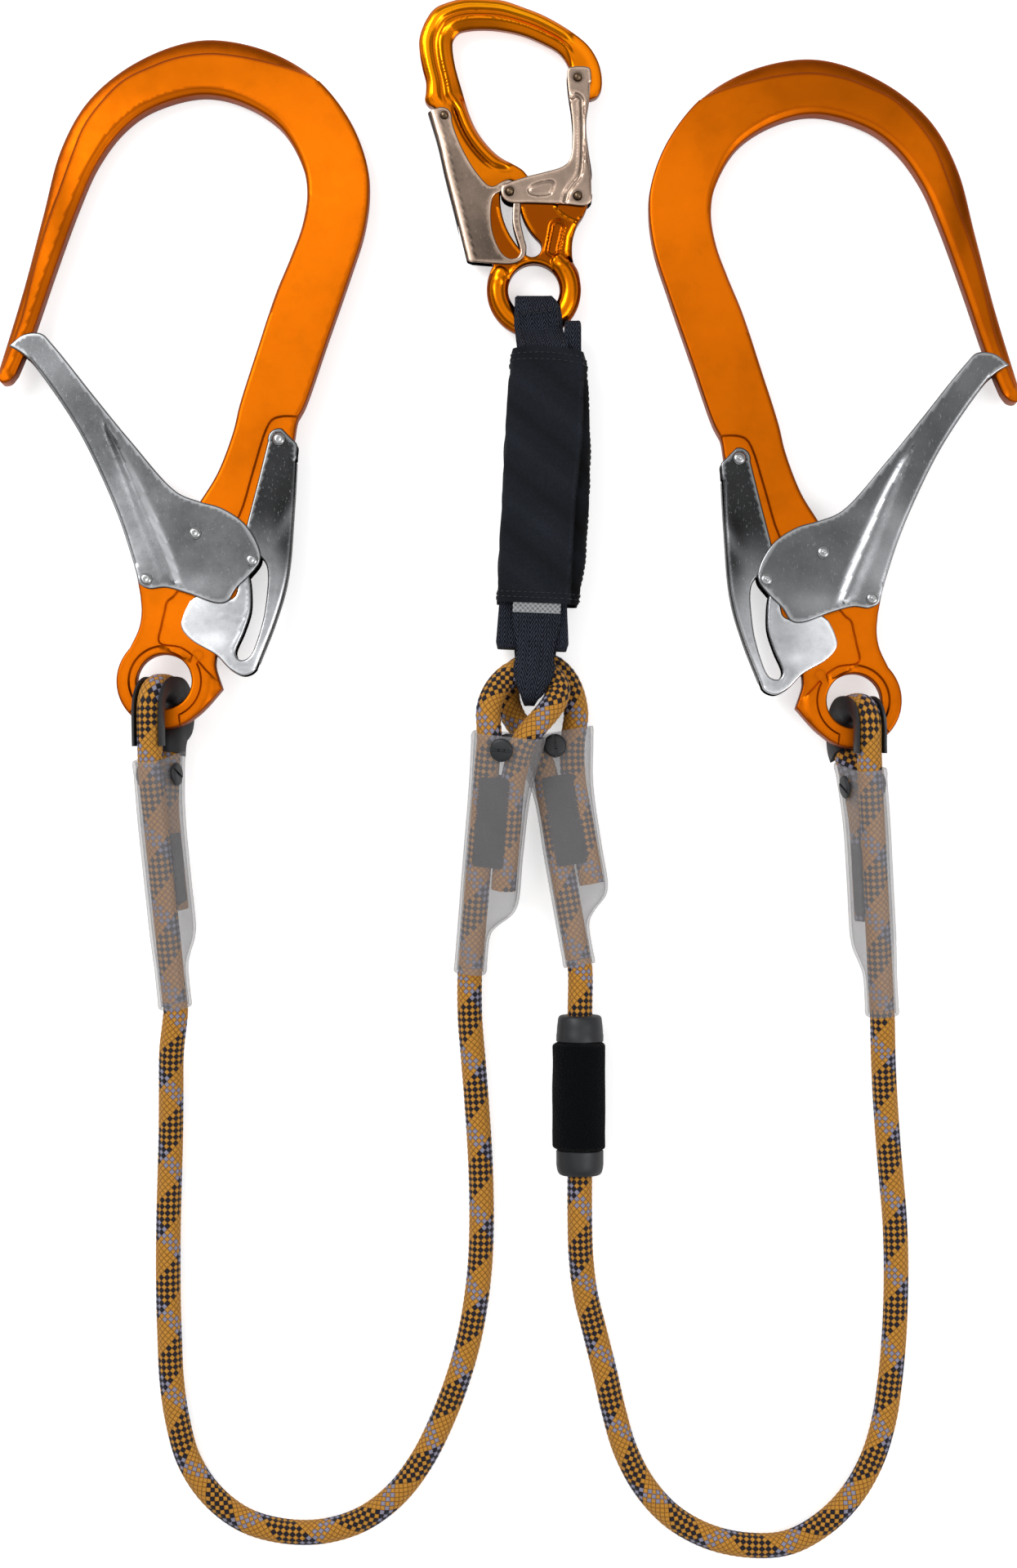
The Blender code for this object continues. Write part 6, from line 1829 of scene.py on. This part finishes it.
RIGHT_ROPE += [(189.4, -315, 6.1), (187, -285, 6.3), (184.6, -258, 8.6), (182.8, -232, 12.6)]
WAIST_LEFT = [(-9.8, -60, 27.6), (-5.6, -49.8, 24.8), (2, -42.8, 22.9), (10.8, -40.4, 22.4)]
WAIST_LEFT += [(19.6, -43.6, 22.9), (23.8, -50.5, 25), (21.2, -58.2, 28), (14.4, -66.5, 30.4)]
WAIST_RIGHT = [(11.4, -76.5, 10.6), (5.4, -68.5, 10.4), (1.4, -62, 9.9), (-0.6, -55, 9.6)]
WAIST_RIGHT += [(-0.2, -47.6, 9.5), (3.6, -41.2, 9.4), (10.8, -37.7, 9.4), (19.6, -38.4, 9.4)]
WAIST_RIGHT += [(27.2, -44.6, 9.5), (31.6, -54.4, 10), (32.8, -66, 10.4)]
SPLICES = {
    "left_hook": ((-172.7, -84.8, 36.2), (-162.4, -204.8, 17), (18, "cos")),
    "right_hook": ((173.2, -89.2, 36.4), (181.6, -208.6, 17.6), (-16, "cos")),
    "left_centre": ((-9.2, -71.6, 29), (-19.0, -188.4, 9.4), (10, "x")),
    "right_centre": ((14.4, -72.6, 10.7), (34.4, -184.8, 12.4), (0, "x")),
}


class Splice:
    """One rope end: where its frame is, how long its sleeve is and what the sleeve's mouth is."""

    def __init__(self, name):
        mouth, leave, (angle, kind) = SPLICES[name]
        a = math.radians(angle)
        if kind == "cos":
            self.back = Vector((math.sin(a), 0, -math.cos(a)))
        else:
            self.back = Vector((math.cos(a), 0, math.sin(a)))
        self.name, self.length = name, math.dist(mouth, leave)
        self.matrix = splice_matrix(mouth, leave, self.back)
        self.hook = name.endswith("hook")
        self.side = name.split("_")[0]
        if self.hook:
            self.mouth, self.screw = (7.8, 34, 2.5), (9.6, 9)
        elif self.side == "left":
            self.mouth, self.screw = (8.4, 27, 0.8), (7.8, 6.5)
        else:
            self.mouth, self.screw = (13.5, 27, 0.8), (6.9, 6.5)

    def row(self, points):
        """Points of the splice's frame as millimetres of the row frame."""
        return [tuple((self.matrix @ Vector(p)) / MM) for p in points]

    def meeting(self):
        return self.row([(0, self.length - 2.9, 0), (0, self.length + 2, 0)])


def hook_loop(splice):
    """Out of the main strand, over the thimble in the hook's eye and back down the tail."""
    side = splice.side
    eye, lean = EYES[side], -0.9 if side == "left" else 1.5
    middle = Vector((eye[0] + lean, eye[1], EYE_HEIGHT + 0.85))
    lead = [(26.4, -7), (20.8, 4.5), (17, 15), (13.9, 26)]
    if side == "right":
        lead = [(28.6, -4.5), (22.6, 4), (17.8, 14), (14.3, 25)]
    bend = arc((-4.7, -13.4), 11, 180, 90, 4) + arc((4.7, -13.4), 11, 90, 0, 4)
    up = Vector((0, 1, 0))
    over = [middle + splice.back * u + up * v for u, v in [(-15.7, -22), *bend, (16, -20.5)]]
    main = [(0, y, 0) for y in (splice.length - 3.2, 96, 80, 60, 40, 24, 8)]
    tail = [(x, y, 0) for x, y in [*lead, (13, 37), (13, 50), (13, 76)]]
    points = splice.row(main) + [tuple(p) for p in over] + splice.row(tail)
    route = even_route(points, 5.5)
    rope_piece(f"{side}_hook_loop_braid", route, f"{side}_hook_rope_loop")
    low = splice.matrix.translation.y / MM + 2.5
    places, along, _, _ = frames_along(even_route([p for p in route if p[1] > low], 1.2))
    across = np.array(splice.back.cross(up).normalized())
    shape = [(7.5, -4.2), *arc((0, 0), 7.5, 0, 180, 20), (-7.5, -4.2), (-7.1, -4.7)]
    shape += [(-6.3, -4.2), *arc((0, 0), 6.3, 180, 0, 20), (6.3, -4.2), (7.1, -4.7)]
    sections = []
    for here, direction in zip(places, along):
        inward = np.cross(direction, across)
        inward /= np.linalg.norm(inward)
        sections.append([here + across * u + inward * v for u, v in shape])
    mesh = mesh_from("thimble", lofted(sections), WORLD_FRAME, None, 40)
    put_moulding(f"{side}_thimble", mesh, "black", "lanyard")


def centre_loop(splice):
    """Round the lower webbing loop: the main strand in, the tail back out."""
    side = splice.side
    main = [(0, y, 0) for y in (splice.length - 3.2, 96, 80, 60, 40, 28)]
    main += [(0, 14, 0), (0, 2, 0)] if side == "left" else [(-0.3, 16, 0)]
    tail = [(17, 2, 0), (14.6, 12, 0)] + [(13, y, 0) for y in (26, 40, 58, 76)]
    waist = WAIST_LEFT if side == "left" else WAIST_RIGHT
    route = even_route(splice.row(main) + waist + splice.row(tail), 7)
    rope_piece(f"{side}_centre_loop_braid", route, f"{side}_centre_rope_loop")


def sleeve_section(left, right, half, y, corner):
    points, _ = loop_section(-left, right, -half, half, min(corner, half - 0.1), 72)
    return [(x, y, z) for x, z in points]


def sleeve_piece(splice):
    """A frosted moulding round both strands, which steps down to the single rope."""
    left, right, flare = splice.mouth
    step, wall = splice.length - 36, 1.25
    rows = [(0, left, right, 8.6), (6, left, right - flare, 8.4), (28, 7.8, 22.2, 8.4)]
    rows += [(60, 7.8, 21, 8.4), (step, 7.8, 20.6, 8.4), (step + 5, 7.8, 18.6, 8.2)]
    rows += [(step + 11, 7.8, 12.2, 8.0), (step + 16, 7.8, 8.6, 7.8)]
    rows += [(splice.length, 7.8, 7.8, 7.8)]
    if splice.hook:
        rows[:2] = [(0, left, right - 3, 7.8), (6, left, right - 5.4, 7.9)]
    table = np.array(curve_through(rows, 6))
    heights = np.concatenate([[0, 0.35, 0.9], np.arange(2, splice.length - 1, 1.5)])
    outer, inner = [], []
    for y in (*heights, *(splice.length - np.array([0.8, 0.3, 0.0]))):
        a, b, h = at_height(table, y)
        end = splice.length - y
        lip = 0.55 * hump(y - 2.2, 1.6) - 0.5 * max(0.0, 1 - y / 0.9) ** 2
        lip += 0.3 * hump(end - 1.8, 1.2) - 0.4 * max(0.0, 1 - end / 0.8) ** 2
        grow = lip * 0.5 - 0.16 * hump(y - step - 1, 0.5)
        outer.append(sleeve_section(a + grow, b + grow, h + grow * 0.8, y, 6.6))
        inner.append(sleeve_section(a - wall, b - wall, h - wall, y, 5.6))
    name = f"{splice.name}_sleeve"
    hole, skin = lathe([(0, 14), (1.65, 14), (1.65, -14), (0, -14)], 20)
    drill = (hole + np.array((*splice.screw, 0)), skin)
    mesh = carved(name, shell(outer, inner), [drill], 50)
    put_moulding(name, mesh, "sleeve", "lanyard", splice.matrix)


def screw_pieces(splice):
    """The binding screw: a slotted cap on each face, the shank on one of them."""
    turn = {"left_centre": 0, "right_centre": 90, "left_hook": 35, "right_hook": -20}
    face, here = 8.9, np.array((*splice.screw, 0))
    cap = [(0, face + 1.55), (4.3, face + 1.5), (4.9, face + 1.32), (5.35, face + 1.05)]
    cap += [(5.6, face + 0.7), (5.6, face + 0.1), (5.5, face)]
    post = [(1.3, face), (1.3, -face - 0.5), (0, -face - 0.5)]
    socket = [(1.7, face), (1.7, face + 0.8), (0, face + 0.8)]
    bar = prism([(-6.2, -0.75), (6.2, -0.75), (6.2, 0.75), (-6.2, 0.75)], 0.75, 3)
    angle = math.radians(turn[splice.name])
    cos, sin = math.cos(angle), math.sin(angle)
    spun = bar[0] @ np.array([[cos, sin, 0], [-sin, cos, 0], [0, 0, 1]]) + (0, 0, face)
    for word, way, end in (("screw", 1, post), ("screw_cap", -1, socket)):
        points, skin = lathe(cap + end, 48)
        slot = (spun * (1, 1, way) + here, bar[1])
        mesh = carved(word, (points * (1, 1, way) + here, skin), [slot], 35)
        node = f"{splice.name}_sleeve_{word}"
        put_moulding(node, mesh, "black", "lanyard", splice.matrix)


def panel_piece(splice):
    """Whipping thread over both strands: a rough pad on each face, joined between them."""
    start, end, middle = (38, 72, 6.5) if splice.hook else (21, 65, 5.2)
    dice, sections = random.Random(len(splice.name)), []
    steps = int((end - start) / 0.5)
    for k in range(steps + 1):
        y = start + (end - start) * k / steps
        to_end = min(k, steps - k)
        wide = (6.4 if splice.hook else 7.9) - 1.3 * dice.random() * (k % 3 == 0)
        wide -= 0.3 * dice.random() + (0.6 if to_end < 2 else 0)
        rise = (0.34 + 0.14 * math.sin(k * 2.1) + 0.08 * dice.random()) * (1 if to_end else 0.4)
        top = [(x * wide, 6.2 + rise * (1 - 0.3 * abs(x) ** 4) - 0.25 * math.exp(-((x * 3) ** 2)))
               for x in np.linspace(-1, 1, 15)]
        ring = top + [(wide, 6.15), (0.2, 6.15), (0.2, -6.15), (wide, -6.15)]
        ring += [(x, -z) for x, z in top[::-1]] + [(-wide, -6.15), (-0.2, -6.15)]
        ring += [(-0.2, -6.15), (-0.2, 6.15), (-wide, 6.15)]
        sections.append([(x + middle, y, z) for x, z in ring])
    vertices, skin = lofted(sections)
    spots = [vertices[v] for face in skin for v in face]
    uv = [(x + (40 if z < 0 else 0), y) for x, y, z in spots]
    mesh = mesh_from(f"{splice.name}_panel", (vertices, skin), splice.matrix, uv, 50)
    name = f"{splice.name}_stitching"
    put(f"{name}_whipping", mesh, FINISHES["panel"], "lanyard", (name,))


def build_grip():
    """The grip that runs on the right rope: tube, two collars and a wrapped band."""
    bore, sleeve, collar, sides = 6.5, 9.2, 11.5, 96
    tube = [(bore, 34), (sleeve - 0.3, 34), (sleeve, 33.7), (sleeve, -33.7)]
    tube += [(sleeve - 0.3, -34), (bore, -34)]
    upper = [(sleeve + 0.3, 26.4), (collar - 0.3, 26.4), (collar, 26.8), (collar, 29.7)]
    upper += [(collar - 0.15, 30.3), (11.1, 34), (10.65, 37.6), (10.3, 38.5), (9.8, 39.0)]
    upper += [(9.3, 39.2), (7.0, 39.2), (bore, 38.8), (bore, 34.4), (sleeve + 0.3, 34.4)]
    lower = [(sleeve + 0.3, -26.4), (sleeve + 0.3, -34.4), (bore, -34.4), (bore, -38.2)]
    lower += [(7.0, -38.6), (9.2, -38.6), (10.0, -38.2), (10.7, -37.3), (11.2, -35.6)]
    lower += [(collar, -33.4), (collar, -26.8), (collar - 0.3, -26.4)]
    for word, profile in (("tube", tube), ("upper_collar", upper), ("lower_collar", lower)):
        mesh = mesh_from(word, ring_lathe(profile, sides), GRIP_FRAME, None, 25)
        put_moulding(f"grip_{word}", mesh, "black", "grip")
    dice = random.Random(7)
    waves = [(dice.uniform(0, 6.28), dice.uniform(0.05, 0.3), dice.randint(2, 9))
             for _ in range(12)]
    outer, inner = [], []
    for z in np.arange(-26, 26.01, 0.65):
        ring, core = [], []
        end = 1 - ((abs(z) - 24.2) / 1.8) ** 2 * 0.75 if abs(z) > 24.2 else 1.0
        for i in range(sides):
            share = i / sides
            a = share * 2 * math.pi - 0.35
            radius = 12.35 + 1.35 * smooth_step(share * 1.25) - 0.7 * (share > 0.985)
            wave = sum(math.sin(k * a + p + z * w) for p, w, k in waves) * 0.035
            radius = 10.6 + (radius + wave - 10.6) * end
            ring.append((radius * math.cos(a), radius * math.sin(a), z))
            core.append((9.55 * math.cos(a), 9.55 * math.sin(a), z))
        outer.append(ring)
        inner.append(core)
    mesh = mesh_from("band", shell(outer, inner), GRIP_FRAME, None, 50)
    put("grip_loop_band", mesh, FINISHES["loop"], "grip", ("grip_band",))


# Stage


def area_lamp(name, place, size, watts):
    """A soft lamp that faces the middle of the object."""
    lamp = bpy.data.lights.new(name, "AREA")
    lamp.shape, lamp.size, lamp.size_y = "RECTANGLE", *size
    lamp.energy = watts
    obj = plain(name, lamp)
    obj.location = place
    way = Vector((0, -0.1, 0)) - Vector(place)
    obj.rotation_euler = way.to_track_quat("-Z", "Y").to_euler()


def white_surface(colour):
    """Matt white paper, a little brighter to the camera, so that it burns out evenly."""
    material, tree, shader = new_surface(
        "white_surface", colour, 0.9, Specular_IOR_Level=0.1, Emission_Color=(1, 1, 1, 1)
    )
    seen = output_of(tree, "ShaderNodeLightPath", output="Is Camera Ray")
    shine = output_of(tree, "ShaderNodeMath", {0: seen, 1: 0.5}, operation="MULTIPLY")
    tree.links.new(shine, shader.inputs["Emission Strength"])
    return material


def light_tent():
    """Light from all round in bands, so that metal shows bright and dark edges."""
    world = bpy.data.worlds.new("light_tent")
    world.use_nodes = True
    tree = world.node_tree
    parts = add_node(tree, "ShaderNodeSeparateXYZ", {0: own_place(tree, "Generated")})
    steps = [("off", "ARCCOSINE", "z"), ("share", "DIVIDE", "off", math.pi / 2)]
    share = formula(tree, {"z": parts.outputs[2]}, steps)["share"]
    levels = [(0.0, 0.42), (0.05, 0.5), (0.12, 0.95), (0.24, 1.0), (0.36, 0.7), (0.5, 0.24)]
    levels += [(0.66, 0.18), (0.84, 0.6), (1.0, 0.9)]
    tree.links.new(ramp(tree, share, levels), tree.nodes["Background"].inputs["Color"])
    return world


def build_stage(scene):
    """Camera straight above, a white surface just below the object, soft lamps and a tent."""
    settings, sensor = scene.lanyard_stage, 36
    camera = bpy.data.cameras.new("main_camera")
    camera.sensor_width, camera.clip_end = sensor, 20
    camera.lens = sensor * settings.height / settings.view
    view = plain("main_camera", camera)
    view.location = (-0.0002, -0.0964, settings.height + 0.008)
    scene.camera = view
    floor = plain("floor", bpy.data.meshes.new("floor"))
    half, low = 6.0, CAD_BOX[0][2] - 0.0004
    corners = [(-half, -half, low), (half, -half, low), (half, half, low), (-half, half, low)]
    floor.data.from_pydata(corners, [], [(0, 1, 2, 3)])
    floor.data.materials.append(white_surface(tuple(settings.floor)))
    scene.world = light_tent()
    scene.view_settings.view_transform = "Standard"
    area_lamp("key_lamp", (-1.1, 0.9, 1.5), (0.9, 1.3), 22)
    area_lamp("fill_lamp", (1.3, -0.5, 1.6), (0.9, 1.2), 12)


# Operators, panel and registration


class Maker(bpy.types.Operator):
    bl_options = {"REGISTER", "UNDO"}

    def make(self, scene):
        raise NotImplementedError

    def execute(self, context):
        if not frame["nodes"]:
            raise RuntimeError("the packed frame isn't loaded")
        before = len(bpy.data.objects)
        self.make(context.scene)
        if len(bpy.data.objects) <= before:
            raise RuntimeError(f"{self.bl_label} made nothing")
        return {"FINISHED"}


class LANYARD_OT_stage(Maker):
    """Makes the camera, the white surface, the lamps and the light tent"""

    bl_idname, bl_label = "lanyard.stage", "Stage"

    def make(self, scene):
        build_stage(scene)


class LANYARD_OT_ropes(Maker):
    """Makes the two free ropes, from the hooks' splices to the centre's"""

    bl_idname, bl_label = "lanyard.ropes", "Ropes"

    def make(self, scene):
        ends = {name: Splice(name).meeting() for name in SPLICES}
        for side, points, first, last in (
            ("left", LEFT_ROPE, "left_hook", "left_centre"),
            ("right", RIGHT_ROPE, "right_centre", "right_hook"),
        ):
            start, end = ends[first], ends[last]
            middle = even_route([start[1], *points, end[1]], 20)
            route = [start[0], *middle, end[0]]
            rope_piece(f"{side}_rope_braid", route, f"{side}_rope")


class LANYARD_OT_splices(Maker):
    """Makes the end loops with their thimbles, sleeves, screws and whipped panels"""

    bl_idname, bl_label = "lanyard.splices", "Splices"

    def make(self, scene):
        for name in SPLICES:
            splice = Splice(name)
            (hook_loop if splice.hook else centre_loop)(splice)
            sleeve_piece(splice)
            screw_pieces(splice)
            panel_piece(splice)


class LANYARD_OT_hooks(Maker):
    """Makes both large hooks with their gates, levers and rivets"""

    bl_idname, bl_label = "lanyard.hooks", "Hooks"

    def make(self, scene):
        build_hooks()


class LANYARD_OT_connector(Maker):
    """Makes the connector with its gate, lever and rivets"""

    bl_idname, bl_label = "lanyard.connector", "Connector"

    def make(self, scene):
        build_connector()


class LANYARD_OT_absorber(Maker):
    """Makes the absorber's webbing, cover, inner wrap and loops"""

    bl_idname, bl_label = "lanyard.absorber", "Absorber"

    def make(self, scene):
        build_absorber()


class LANYARD_OT_grip(Maker):
    """Makes the grip on the right rope"""

    bl_idname, bl_label = "lanyard.grip", "Grip"

    def make(self, scene):
        build_grip()


OPERATORS = (
    LANYARD_OT_stage, LANYARD_OT_ropes, LANYARD_OT_splices, LANYARD_OT_hooks,
    LANYARD_OT_connector, LANYARD_OT_absorber, LANYARD_OT_grip,
)
SETTINGS = {
    "lanyard_rope": LanyardRopeSettings,
    "lanyard_metal": LanyardMetalSettings,
    "lanyard_cloth": LanyardClothSettings,
    "lanyard_plastic": LanyardPlasticSettings,
    "lanyard_stage": LanyardStageSettings,
}


class LANYARD_PT_panel(bpy.types.Panel):
    """Lists the makers in the 3D view's sidebar"""

    bl_label = "Lanyard"
    bl_space_type = "VIEW_3D"
    bl_region_type = "UI"
    bl_category = "Lanyard"

    def draw(self, context):
        for operator in OPERATORS:
            self.layout.operator(operator.bl_idname)


def register():
    for kind in (*SETTINGS.values(), *OPERATORS, LANYARD_PT_panel):
        bpy.utils.register_class(kind)
    for name, kind in SETTINGS.items():
        setattr(bpy.types.Scene, name, bpy.props.PointerProperty(type=kind))


def unregister():
    for name in SETTINGS:
        delattr(bpy.types.Scene, name)
    for kind in reversed((*SETTINGS.values(), *OPERATORS, LANYARD_PT_panel)):
        bpy.utils.unregister_class(kind)


def main():
    register()
    make_finishes(bpy.context.scene)
    TREES["heads"], TREES["stitches"] = fastener_tree(), stitch_tree()
    for operator in OPERATORS:
        group, name = operator.bl_idname.split(".")
        getattr(getattr(bpy.ops, group), name)()
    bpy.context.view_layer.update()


if __name__ == "__main__":
    main()
